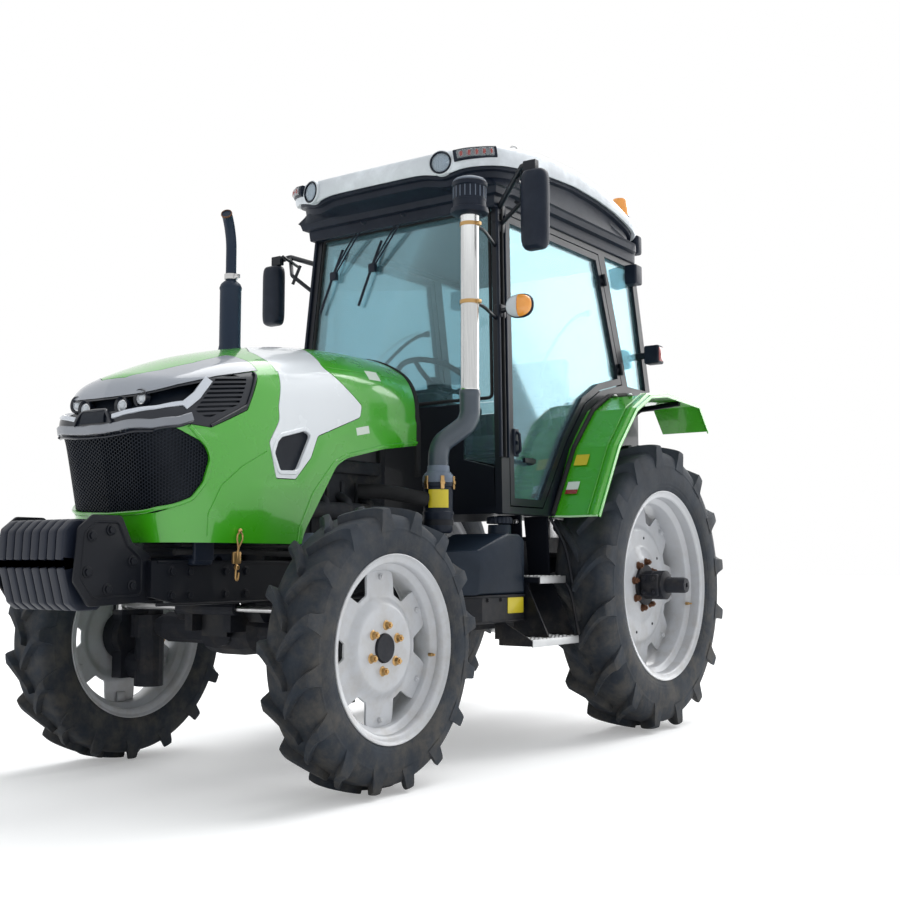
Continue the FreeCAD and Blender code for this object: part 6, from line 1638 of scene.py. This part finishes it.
# Engine bay: ribs, filters, alternator, pulley, fan, hoses and the radiator's fins
engine_bits, filters = [], []
for y in np.linspace(0.02, 0.56, 7):
    engine_bits.append(block((0.178, y - 0.01, 0.74), (0.194, y + 0.01, 1.12), 0.005))
engine_bits.append(block((0.15, -0.03, 1.15), (0.215, 0.6, 1.205), 0.014))
engine_bits.append(tube([(0.2, 0.02, 0.98), (0.228, 0.1, 1.0), (0.228, 0.5, 1.0), (0.2, 0.58, 1.02)],
                        0.032, sides=20, bend=0.05))
for y in (0.08, 0.22, 0.36, 0.5):
    engine_bits.append(tube([(0.19, y, 1.06), (0.232, y, 1.03), (0.228, y, 1.0)], 0.02, sides=14))
piece("engine_ribs", joined(engine_bits).both(), m_engine)
for y, r in ((0.1, 0.036), (0.22, 0.042)):
    filters.append(turned([(0.79, 0.0), (0.79, r * 0.8), (0.797, r), (0.885, r), (0.892, r * 1.06),
                           (0.902, r * 1.06), (0.906, r * 0.8), (0.906, 0.0)], (0.245, y, 0), sides=40))
piece("engine_filters", joined(filters), m_cap_grey, "engine_iron")
alternator = turned([(-0.06, 0.0), (-0.06, 0.045), (-0.05, 0.055), (0.045, 0.055), (0.055, 0.042),
                     (0.055, 0.018), (0.075, 0.018), (0.075, 0.036), (0.09, 0.03), (0.105, 0.036),
                     (0.105, 0.0)], (0.245, 0.02, 1.085), (0, -1, 0), 40)
piece("alternator", alternator, m_bright, "engine_iron")
pulley = turned([(0.0, 0.02), (0.0, 0.085), (0.012, 0.09), (0.024, 0.078), (0.036, 0.09), (0.048, 0.085),
                 (0.048, 0.02)], (0, -0.065, 0.8), (0, -1, 0), 48, closed=True)
blades = []
for i in range(7):
    blade = plate([(0.05, -0.02), (0.19, -0.045), (0.2, 0.035), (0.05, 0.02)], 0.015, -0.003, 0.003, 2,
                  0.001, steps=3).turn((1, 0, 0), 28)
    blades.append(blade.turn((0, 0, 1), i * 360 / 7).turn((1, 0, 0), 90).move(0, -0.15, 1.05))
fan_hub = turned([(0.0, 0.0), (0.0, 0.055), (0.03, 0.055), (0.036, 0.045), (0.036, 0.0)],
                 (0, -0.132, 1.05), (0, -1, 0), 36)
piece("fan_and_pulley", joined(blades) + fan_hub + pulley, m_plastic, "engine_iron")
hoses = [tube([(0.16, -0.385, 1.26), (0.18, -0.3, 1.27), (0.15, -0.16, 1.25), (0.1, -0.06, 1.2)], 0.024,
              sides=20), tube([(-0.16, -0.385, 0.86), (-0.2, -0.3, 0.85), (-0.22, -0.16, 0.86),
                               (-0.19, -0.05, 0.9)], 0.024, sides=20), tube([(0.235, -0.55, 0.83),
                                                                             (0.245, -0.3, 0.835),
                                                                             (0.24, 0.1, 0.825),
                                                                             (0.245, 0.55, 0.84)], 0.011,
                                                                            sides=12), tube([(0.236,
                                                                                              -0.52,
                                                                                              0.855),
                                                                                             (0.24, -0.2,
                                                                                              0.85),
                                                                                             (0.25, 0.2,
                                                                                              0.862),
                                                                                             (0.245, 0.6,
                                                                                              0.9)],
                                                                                            0.007,
                                                                                            sides=10),
         tube([(0.24, 0.3, 0.8), (0.3, 0.42, 0.76), (0.34, 0.55, 0.74), (0.345, 0.62, 0.76)], 0.01,
              sides=12)]
piece("engine_hoses", joined(hoses), m_rubber)
rad_rows = [block((-0.245, -0.4745, z - 0.002), (0.245, -0.469, z + 0.002), 0.0006)
            for z in np.linspace(0.83, 1.3, 34)]
rad_rows += [block((-0.255, -0.48, z0), (0.255, -0.385, z1), 0.012) for z0,
             z1 in ((1.315, 1.345), (0.785, 0.812))]
rad_rows += [block((s * 0.243, -0.478, 0.8), (s * 0.258, -0.386, 1.33), 0.006) for s in (-1, 1)]
piece("radiator_fins_and_tanks", joined(rad_rows), m_plastic, "radiator")

# Seat: two padded pieces blown up as cloth, a shell, armrests, a bellows base and rails

VOXEL, CLOTH_FRAMES = 0.006, 20
MOST_RISE = 0.009         # how far the cloth may move from the drawn form
SEAM_DEPTH = 0.009


def padded_pad(name, form, seams, replaces=()):
    """A cushion: the form remeshed, drawn in along its seams and blown up as cloth.

    seams(points) gives how far each point is drawn in, in metres, and the share of it that
    the stitching holds still."""
    start = bare_object(form.move(y=FRONT_Y))
    remesh = start.modifiers.new("even", "REMESH")
    remesh.mode, remesh.voxel_size = "VOXEL", VOXEL
    made = start.evaluated_get(bpy.context.evaluated_depsgraph_get())
    mesh = bpy.data.meshes.new_from_object(made)
    count = len(mesh.vertices)
    points = np.empty(count * 3)
    mesh.vertices.foreach_get("co", points)
    points = points.reshape(-1, 3)
    normals = np.empty(count * 3)
    mesh.vertices.foreach_get("normal", normals)
    drawn, held = seams(points - (0, FRONT_Y, 0))
    points = points - normals.reshape(-1, 3) * drawn[:, None]
    mesh.vertices.foreach_set("co", points.ravel())
    old = start.data
    start.modifiers.clear()
    start.data = mesh
    bpy.data.meshes.remove(old)
    group = start.vertex_groups.new(name="stitched")
    for level in (0.3, 0.6, 0.9):
        group.add(np.flatnonzero(held >= level).tolist(), level + 0.1, "REPLACE")
    cloth = start.modifiers.new("air", "CLOTH")
    cloth.settings.use_pressure = True
    cloth.settings.uniform_pressure_force = 4.0
    cloth.settings.vertex_group_mass = "stitched"
    cloth.settings.effector_weights.gravity = 0.0
    cloth.point_cache.frame_start, cloth.point_cache.frame_end = 1, CLOTH_FRAMES
    for step in range(1, CLOTH_FRAMES + 1):
        bpy.context.scene.frame_set(step)
    blown = start.evaluated_get(bpy.context.evaluated_depsgraph_get()).to_mesh()
    after = np.empty(count * 3)
    blown.vertices.foreach_get("co", after)
    move = after.reshape(-1, 3) - points
    reach = np.linalg.norm(move, axis=1, keepdims=True)
    points = points + move * np.minimum(1.0, MOST_RISE / np.maximum(reach, 1e-9))
    start.evaluated_get(bpy.context.evaluated_depsgraph_get()).to_mesh_clear()
    start.modifiers.clear()
    bpy.context.scene.frame_set(1)
    mesh.vertices.foreach_set("co", points.ravel())
    soft = skin_of(mesh).move(y=-FRONT_Y)
    bpy.data.objects.remove(start)
    bpy.data.meshes.remove(mesh)
    piece(name, soft, m_fabric, smooth=60, replaces=replaces)


def line_pull(distance, width=0.01):
    """1 on a seam, falling off by the square of the distance to it."""
    return np.exp(-(distance / width) ** 2)


def cushion_seams(p):
    top = p[:, 2] > 1.385
    sides = line_pull(np.abs(p[:, 0]) - 0.15) * top
    cross_lines = sum((line_pull(p[:, 1] - y) for y in (1.8, 1.93))) * top * (np.abs(p[:, 0]) < 0.15)
    rim = line_pull(p[:, 2] - 1.372, 0.007)
    pull = np.maximum(np.maximum(sides, cross_lines), rim * 0.5)
    return SEAM_DEPTH * pull, np.maximum(pull, (p[:, 2] < 1.352) * 1.0)


cushion_form = plate([(1.655, 1.352), (1.69, 1.346), (2.06, 1.346), (2.066, 1.424), (1.72, 1.43),
                      (1.655, 1.405)], [0.02, 0.02, 0.02, 0.03, 0.05, 0.03], -0.232, 0.232, 0, 0.026,
                     steps=5, edge_steps=5)
padded_pad("seat_cushion", cushion_form, cushion_seams, replaces=("seat_pads",))


def back_seams(p):
    lean = p[:, 1] - (2.075 + (p[:, 2] - 1.35) * 0.148)
    front = lean < 0.05
    sides = line_pull(np.abs(p[:, 0]) - 0.135) * front * (p[:, 2] < 1.74)
    cross_lines = sum((line_pull(p[:, 2] - z) for z in (1.5, 1.61, 1.72))) * front
    cross_lines = cross_lines * (np.abs(p[:, 0]) < 0.135)
    pull = np.maximum(sides, cross_lines)
    return SEAM_DEPTH * pull, np.maximum(pull, (lean > 0.062) * 1.0)


back_form = plate([(2.078, 1.352), (2.16, 1.352), (2.24, 1.868), (2.176, 1.874)],
                  [0.02, 0.02, 0.03, 0.03], -0.215, 0.215, 0, 0.028, steps=5, edge_steps=5)
padded_pad("seat_back", back_form, back_seams)
seat_shell = slab(rounded([(-0.205, 1.42), (0.205, 1.42), (0.198, 1.76), (0.15, 1.84), (-0.15, 1.84),
                           (-0.198, 1.76)], 0.04, 5)[:, ::-1], 2.204, 2.218, 1, 0.004)
seat_shell = seat_shell.turn((1, 0, 0), -8.5, about=(0, 2.21, 1.55))
pan = plate([(-0.222, 1.665), (0.222, 1.665), (0.215, 2.1), (-0.215, 2.1)], 0.04, 1.332, 1.35, 2, 0.006,
            steps=5)
rests = []
for s in (-1, 1):
    rests.append(plate([(1.76, 1.568), (2.06, 1.585), (2.06, 1.622), (1.77, 1.608)], 0.014, s * 0.252, s
                       * 0.305, 0, 0.01, edge_steps=4))
    rests.append(tube([(s * 0.262, 2.03, 1.4), (s * 0.272, 2.06, 1.48), (s * 0.276, 2.02, 1.578)], 0.013,
                      sides=14))
piece("seat_armrests", joined(rests), m_plastic)
piece("seat_shell", seat_shell + pan, m_plastic)
outline = rounded([(-0.165, 1.725), (0.165, 1.725), (0.165, 2.085), (-0.165, 2.085)], 0.05, 6)
centre = outline.mean(0)
FOLDS, BELLOWS_LOW, BELLOWS_HIGH = 16, 1.152, 1.32
bellows_rows = [np.column_stack([centre + (outline - centre) * (1 - i % 2 * 0.01 / 0.17),
                                 np.full(len(outline), z)]) for i, z in enumerate(np.linspace(BELLOWS_LOW,
                                                                                              BELLOWS_HIGH,
                                                                                              FOLDS + 1))]
piece("seat_bellows", grid(bellows_rows, wrap_v=True, cap_start=True, cap_end=True), m_rubber,
      "cab_plastic", smooth=20, replaces=("seat_base",))
rails = joined([block((s * 0.12 - 0.018, 1.7, 1.318), (s * 0.12 + 0.018, 2.12, 1.334), 0.004)
                for s in (-1, 1)])
seat_lever = tube([(0.15, 1.72, 1.325), (0.19, 1.66, 1.322), (0.24, 1.655, 1.325)], 0.007, sides=10)
piece("seat_rails", rails + seat_lever, m_bright, "cab_plastic")

# Dash: moulded binnacle with hood, dials and switches, steering column, stalk and pedals
dash_line = rounded([(0.985, 1.03), (1.125, 1.03), (1.145, 1.42), (1.105, 1.552), (1.03, 1.562),
                     (0.985, 1.478)], [0.01, 0.02, 0.05, 0.03, 0.03, 0.03], 6)
dash_form = slab(dash_line, -0.188, 0.188, 0, 0.022, 5)
DASH_TILT = math.radians(17)
recess = block((-0.15, 1.118, 1.44), (0.15, 1.2, 1.53), 0.006)
recess = recess.turn((1, 0, 0), math.degrees(DASH_TILT), about=(0, 1.12, 1.48))
dash_form = carved(dash_form, [("cut", recess)])
hood = plate([(1.035, 1.545), (1.125, 1.535), (1.165, 1.556), (1.16, 1.572), (1.06, 1.58)], 0.012, -0.172,
             0.172, 0, 0.01, edge_steps=4)
piece("dash_binnacle", dash_form + hood, m_plastic, replaces=("dash",))
dials, faces, needles = [], [], []
normal = np.array([0, math.cos(DASH_TILT), math.sin(DASH_TILT)])
for x, r in ((-0.095, 0.036), (0.0, 0.04), (0.095, 0.036)):
    at = np.array([x, 1.112, 1.487])
    dials.append(turned([(0.0, r), (0.008, r), (0.01, r * 0.95), (0.008, r * 0.9), (0.0, r * 0.9)], at,
                        normal, 40, closed=True))
    faces.append(turned([(0.0008, r * 0.9), (0.002, 0.0)], at, normal, 40))
    needles.append(turned([(0.002, 0.005), (0.006, 0.005), (0.007, 0.0)], at, normal, 16))
piece("dial_rings", joined(dials), m_chrome, "cab_plastic")
piece("dial_faces", joined(faces), m_label, "cab_plastic")
piece("dial_hubs", joined(needles), m_red, "cab_plastic")
switches = [block((x - 0.01, 1.132, 1.375), (x + 0.01, 1.15, 1.405), 0.003)
            for x in (-0.14, -0.11, -0.08, 0.08, 0.11, 0.14)]
piece("dash_switches", joined(switches), m_band, "cab_plastic")
WHEEL_C = np.array([0, 1.29, 1.64])
COLUMN = np.array([0, 0.5, math.sqrt(0.75)])
boot_rows = [(-0.385, 0.052), (-0.375, 0.058)]
boot_rows += [(-0.36 + 0.014 * i, 0.052 - 0.0012 * i + (0.005 if i % 2 else -0.003)) for i in range(14)]
boot_rows += [(-0.155, 0.032), (-0.042, 0.03), (-0.034, 0.026)]
piece("steering_column_boot", turned(boot_rows, WHEEL_C, COLUMN, 40), m_rubber, "cab_plastic")
stalk = tube([WHEEL_C - COLUMN * 0.085, WHEEL_C - COLUMN * 0.075 + (0.09, 0, 0.004), WHEEL_C - COLUMN
              * 0.06 + (0.155, 0.0, 0.006)], 0.0065, sides=12)
stalk = stalk + bulb(WHEEL_C - COLUMN * 0.06 + (0.16, 0, 0.006), (0.016, 0.01, 0.01))
piece("column_stalk", stalk, m_plastic)
pedals, pads = [], []
for x in (-0.135, 0.115, 0.17):
    pedals.append(tube([(x, 1.13, 1.3), (x, 1.215, 1.22), (x, 1.235, 1.12)], 0.009, sides=12))
    pad = block((x - 0.028, 1.225, 1.085), (x + 0.028, 1.24, 1.15), 0.005)
    pads.append(pad.turn((1, 0, 0), -20, about=(x, 1.23, 1.12)))
piece("pedal_arms", joined(pedals), m_chassis)
piece("pedal_pads", joined(pads), m_rubber)

# Steering wheel: padded rim with finger waves, three pressed spokes and a blank cap
s_dir, t_dir, _ = frame_about(COLUMN)
v = np.linspace(0, TAU, 181)[:-1]
rim_path = WHEEL_C + 0.19 * (np.cos(v)[:, None] * s_dir + np.sin(v)[:, None] * t_dir)
rim_scale = 1 + 0.05 * np.cos(v * 30)
piece("steering_rim", swept(rim_path, circle(0.0132, 16), closed=True, up=COLUMN, scale=rim_scale),
      m_rubber, body="steering_wheel", replaces=("steering_wheel",))
spokes = []
spoke_section = rounded([(-0.015, -0.0035), (0.015, -0.0035), (0.015, 0.0035), (-0.015, 0.0035)], 0.003,
                        3)
for a in np.radians((90, 210, 330)):
    out_dir = np.array([math.cos(a), 0, 0]) + np.array([0, -COLUMN[2], COLUMN[1]]) * math.sin(a)
    line = np.array([WHEEL_C - COLUMN * 0.008 + out_dir * r - COLUMN * d for r,
                     d in ((0.02, 0.004), (0.07, 0.008), (0.13, 0.006), (0.188, -0.004))])
    spokes.append(swept(smooth_line(line, 24), spoke_section, up=COLUMN,
                        scale=np.linspace(1.15, 0.85, 24)))
hub = turned([(-0.026, 0.022), (-0.026, 0.034), (0.0, 0.046), (0.01, 0.044), (0.016, 0.034),
              (0.018, 0.0)], WHEEL_C, COLUMN, 40)
knob_at = WHEEL_C + 0.15 * (math.cos(2.4) * s_dir + math.sin(2.4) * t_dir)
knob = turned([(-0.012, 0.006), (0.01, 0.007), (0.014, 0.016), (0.03, 0.02), (0.042, 0.016),
               (0.047, 0.0)], knob_at, COLUMN, 28)
piece("steering_spokes", joined(spokes) + hub + knob, m_plastic, "soft_rubber", body="steering_wheel")

# Consoles beside the seat with levers, boots and knobs, and the floor mat
console_parts, levers, knobs, boots = [], [], [], []
for s, y0, y1, top in ((-1, 1.5, 2.06, 1.47), (1, 1.62, 2.04, 1.43)):
    line = rounded([(y0, 1.152), (y1, 1.152), (y1, top), (y0 + 0.1, top + 0.012), (y0, top - 0.06)],
                   [0.01, 0.02, 0.03, 0.05, 0.03], 5)
    console_parts.append(slab(line, s * 0.33, s * 0.48, 0, 0.014, 4))
    for i, y in enumerate(np.linspace(y0 + 0.12, y1 - 0.12, 4)):
        x = s * (0.375 + 0.05 * (i % 2))
        foot = np.array([x, y, top + 0.006])
        tip = foot + (s * -0.012, -0.05, 0.135 + 0.02 * (i % 2))
        levers.append(tube([foot, foot + (0, -0.012, 0.07), tip], 0.006, sides=12))
        boots.append(turned([(0.0, 0.024), (0.008, 0.02), (0.014, 0.022), (0.02, 0.014), (0.028, 0.008)],
                            foot - (0, 0, 0.006), (0, 0, 1), 28))
        knobs.append(bulb(tip, (0.016, 0.016, 0.022), 2.3))
piece("side_consoles", joined(console_parts), m_plastic)
piece("console_levers", joined(levers), m_bright, "cab_plastic")
piece("console_boots", joined(boots), m_rubber)
piece("console_knobs", joined(knobs), m_band, "cab_plastic")
mat = plate([(-0.5, 1.0), (0.5, 1.0), (0.5, 1.3), (0.4, 1.62), (-0.4, 1.62), (-0.5, 1.3)], 0.03, 1.032,
            1.038, 2, 0.002)
ribs = joined([block((-0.38, y - 0.004, 1.0375), (0.38, y + 0.004, 1.0405), 0.001)
               for y in np.arange(1.18, 1.6, 0.022)])
piece("floor_mat", mat + ribs, m_rubber)

# Doors: grab tubes and latch lever inside, handle outside
for side, s in (("left", 1), ("right", -1)):
    def at(x, y, z):
        return s * x, y, z
    grab = tube([at(side_x(z) - 0.052, y, z) for y, z in ((1.372, 1.56), (1.422, 1.68), (1.516, 1.788),
                                                          (1.68, 1.923), (1.812, 2.0), (1.905, 2.03))],
                0.0095, count=70, sides=16)
    ends = joined([turned([(-0.012, 0.016), (0.0, 0.018), (0.014, 0.016), (0.016, 0.01)],
                          at(side_x(z) - 0.045, y, z), (s, 0, 0), 24) for y,
                   z in ((1.372, 1.56), (1.905, 2.03))])
    low_grab = tube([at(side_x(z) - 0.05, y, z) for y, z in ((1.56, 1.4), (1.565, 1.475), (1.64, 1.545),
                                                             (1.74, 1.555), (1.79, 1.52))], 0.0085,
                    count=50, sides=16)
    piece("door_grab_tubes_" + side, grab + ends + low_grab, m_plastic, "cab_black", body="door_" + side)
    lever = tube([at(side_x(1.25) - 0.045, 1.065, 1.262), at(side_x(1.23) - 0.055, 1.12, 1.236),
                  at(side_x(1.23) - 0.058, 1.22, 1.236)], 0.01, sides=14)
    lever = lever + bulb(at(side_x(1.23) - 0.056, 1.245, 1.236), (0.014, 0.045, 0.016), 2.4)
    lock = block(at(side_x(1.26) - 0.048, 1.04, 1.225), at(side_x(1.26) - 0.022, 1.105, 1.3), 0.006)
    piece("door_inner_lever_" + side, lever + lock, m_plastic, "cab_black", body="door_" + side)
    base = block(at(side_x(1.3) - 0.01, 1.052, 1.25), at(side_x(1.3) + 0.006, 1.092, 1.37), 0.005)
    pull = tube([at(side_x(1.36) + 0.002, 1.072, 1.36), at(side_x(1.36) + 0.022, 1.072, 1.345),
                 at(side_x(1.27) + 0.022, 1.072, 1.275), at(side_x(1.27) + 0.002, 1.072, 1.26)], 0.0065,
                sides=12, bend=0.01)
    button = turned([(0.0, 0.01), (0.006, 0.01), (0.008, 0.006), (0.008, 0.0)],
                    at(side_x(1.31) + 0.004, 1.072, 1.31), (s, 0, 0), 20)
    piece("door_outer_handle_" + side, base + pull + button, m_plastic, "cab_black", body="door_" + side)

# Bonnet hinge ears with their pins
ear = plate([(0.63, 1.52), (0.69, 1.535), (0.69, 1.575), (0.65, 1.575)], 0.012, 0.176, 0.186, 0, 0.002)
ear_pin = turned([(0.168, 0.0), (0.168, 0.013), (0.176, 0.013)], (0, 0.668, 1.555), (1, 0, 0), 24)
piece("bonnet_hinge_ears", (ear + ear_pin).both(), m_chassis, "body_green", body="bonnet")

# Rear: power take-off, axle bolts, couplers, top link, blank plate and link eyes

def splined(radius, depth, teeth, y0, y1, centre):
    """A splined shaft: r = radius - depth where cos(teeth a) < 0, from y0 to y1."""
    a = np.arange(teeth * 8) * TAU / (teeth * 8)
    r = radius - depth * (np.cos(a * teeth) < 0)
    outline = np.stack([centre[1] + r * np.sin(a), centre[0] + r * np.cos(a)], -1)
    return slab(outline, y0, y1, 1, 0.0015)


PTO = 0.0, 0.61
piece("take_off_shaft", splined(0.0172, 0.003, 6, 2.3, 2.384, PTO), m_bright, "cast_black")
guard = plate([(0.52, -0.105), (0.7, -0.105), (0.722, -0.06), (0.722, 0.06), (0.7, 0.105), (0.52, 0.105),
               (0.52, 0.096), (0.69, 0.096), (0.712, 0.056), (0.712, -0.056), (0.69, -0.096),
               (0.52, -0.096)], 0.006, 2.3, 2.42, 1, 0.002, steps=3)
piece("take_off_guard", guard, m_chassis)
flange_bolts = [hex_bolt((0.085 * math.cos(a), 2.302, 0.61 + 0.085 * math.sin(a)), (0, 1, 0), 0.01)
                for a in np.arange(6) * TAU / 6 + 0.3]
trumpet_bolts = [hex_bolt((s * 0.33, WHEELBASE + 0.14 * math.cos(a), TYRE_R + 0.14 * math.sin(a)),
                          (s, 0, 0), 0.011) for s in (-1, 1) for a in np.arange(10) * TAU / 10]
piece("axle_bolts", joined(flange_bolts + trumpet_bolts), m_chassis, "cast_black")
couplers, caps = [], []
for i, (x, z) in enumerate(((0.1, 0.98), (0.15, 0.98), (0.1, 0.93), (0.15, 0.93))):
    couplers.append(turned([(2.14, 0.02), (2.205, 0.02), (2.21, 0.016), (2.232, 0.016), (2.236, 0.019),
                            (2.252, 0.019), (2.254, 0.012)], (x, 0, z), (0, 1, 0), 28))
    caps.append(turned([(2.252, 0.0205), (2.266, 0.0205), (2.27, 0.015), (2.27, 0.0)], (x, 0, z),
                       (0, 1, 0), 28))
valve = block((0.07, 2.05, 0.9), (0.18, 2.16, 1.01), 0.008)
piece("coupler_block", valve + joined(couplers), m_bright, "cast_black")
piece("coupler_caps", joined(caps), m_red, "cast_black")
link_a, link_b = np.array([0.0, 2.355, 0.82]), np.array([0.0, 2.636, 1.232])
run = link_b - link_a
sleeve = tube([link_a + run * 0.25, link_a + run * 0.72], 0.026, smooth=False, sides=32)
length = np.linspace(0, 1, 240)
thread_r = 1 + 0.06 * np.cos(length * TAU * 34)
threads = joined([swept(link_a + run * (start + reach * length)[:, None], circle(0.0175, 20),
                        scale=thread_r) for start, reach in ((0.72, 0.2), (0.06, 0.19))])
toggle = tube([link_a + run * 0.48 + (-0.085, 0, 0), link_a + run * 0.48 + (0.085, 0, 0)], 0.007,
              smooth=False, sides=14)
piece("top_link_sleeve", sleeve + toggle, m_chassis, "linkage_steel")
piece("top_link_threads", threads, m_bright, "linkage_steel")
plate_rear = slab(rounded([(0.1, 1.7), (0.46, 1.7), (0.46, 1.8), (0.1, 1.8)], 0.01, 3)[:, ::-1], 2.4405,
                  2.444, 1, 0.001)
piece("rear_blank_plate", plate_rear.move(x=-0.28, z=-0.15), m_label, "cab_black")
eye_profile = [(-0.024, 0.034), (-0.024, 0.038), (-0.016, 0.041), (0.016, 0.041), (0.024, 0.038),
               (0.024, 0.034)]
eye_rings = [turned(eye_profile, (s * x, y, 0.455), OUT, 36, closed=True) for s in (-1, 1) for y,
             x in ((2.2, 0.2425), (2.96, 0.4125))]
piece("link_eye_rings", joined(eye_rings), m_bright, "linkage_steel", body="lower_links")

# Studio: floor, light and the photograph's camera

FLOOR_HALF = 60.0
FLOOR_LIFT = 0.30         # so that the lit floor reads white and the shadow stays


def seen_by_rays(tree):
    """1 where a ray comes from the camera, a reflection or glass, else 0."""
    path = tree.nodes.new("ShaderNodeLightPath")
    total = path.outputs["Is Camera Ray"]
    for name in ("Is Glossy Ray", "Is Transmission Ray"):
        more = tree.nodes.new("ShaderNodeMath")
        more.operation = "MAXIMUM"
        tree.links.new(total, more.inputs[0])
        tree.links.new(path.outputs[name], more.inputs[1])
        total = more.outputs[0]
    return total


pale = Finish("pale_floor")
lift = pale.node("ShaderNodeMath", {"operation": "MULTIPLY"}, {0: Value(pale, seen_by_rays(pale.tree)),
                                                               1: FLOOR_LIFT})
pale.shade(Base_Color=(0.82, 0.82, 0.82), Roughness=0.9, Specular_IOR_Level=0.0,
           Emission_Color=pale.mix(lift, (0, 0, 0), (1, 1, 1)), Emission_Strength=1.0)
floor_mesh = bpy.data.meshes.new("floor")
floor_mesh.from_pydata([(-FLOOR_HALF, -FLOOR_HALF, 0), (FLOOR_HALF, -FLOOR_HALF, 0),
                        (FLOOR_HALF, FLOOR_HALF, 0), (-FLOOR_HALF, FLOOR_HALF, 0)], [], [(0, 1, 2, 3)])
floor = bpy.data.objects.new("floor", floor_mesh)
bpy.context.scene.collection.objects.link(floor)
floor.data.materials.append(pale.material)


def sun(name, towards, strength, spread):
    """A soft distant lamp that shines from a direction."""
    lamp = bpy.data.lights.new(name, "SUN")
    lamp.energy, lamp.angle = strength, math.radians(spread)
    obj = bpy.data.objects.new(name, lamp)
    bpy.context.scene.collection.objects.link(obj)
    side, over, away = frame_about(towards)
    obj.matrix_world = [(*row, 0.0) for row in np.column_stack([side, over, away])] + [(0, 0, 0, 1)]


sun("top_light", (0.35, -0.45, 1.0), 1.7, 50)
sun("front_light", (0.9, -0.8, 0.4), 2.4, 60)
sun("rear_light", (-0.6, 0.9, 0.5), 0.4, 60)

world = bpy.data.worlds.new("studio")
bpy.context.scene.world = world
world.use_nodes = True
sky = world.node_tree
sky.nodes.clear()
fill = sky.nodes.new("ShaderNodeBackground")
fill.inputs["Color"].default_value = 0.95, 0.98, 1.0, 1
fill.inputs["Strength"].default_value = 0.68
white = sky.nodes.new("ShaderNodeBackground")
white.inputs["Color"].default_value = 1, 1, 1, 1
both = sky.nodes.new("ShaderNodeMixShader")
sky.links.new(seen_by_rays(sky), both.inputs[0])
sky.links.new(fill.outputs[0], both.inputs[1])
sky.links.new(white.outputs[0], both.inputs[2])
end = sky.nodes.new("ShaderNodeOutputWorld")
sky.links.new(both.outputs[0], end.inputs["Surface"])

CAMERA_AT = np.array([3.3273, -3.3751 + FRONT_Y, 0.7995])
YAW, PITCH = math.radians(34.803), math.radians(5.215)
LENS, SENSOR = 48.49, 36.0
camera_data = bpy.data.cameras.new("camera")
camera_data.lens, camera_data.sensor_width = LENS, SENSOR
camera_data.sensor_fit = "HORIZONTAL"
camera_data.clip_end = 300.0
camera = bpy.data.objects.new("camera", camera_data)
bpy.context.scene.collection.objects.link(camera)
camera.location = CAMERA_AT
camera.rotation_euler = math.pi / 2 + PITCH, 0.0, YAW
bpy.context.scene.camera = camera
bpy.context.scene.view_settings.view_transform = "Standard"
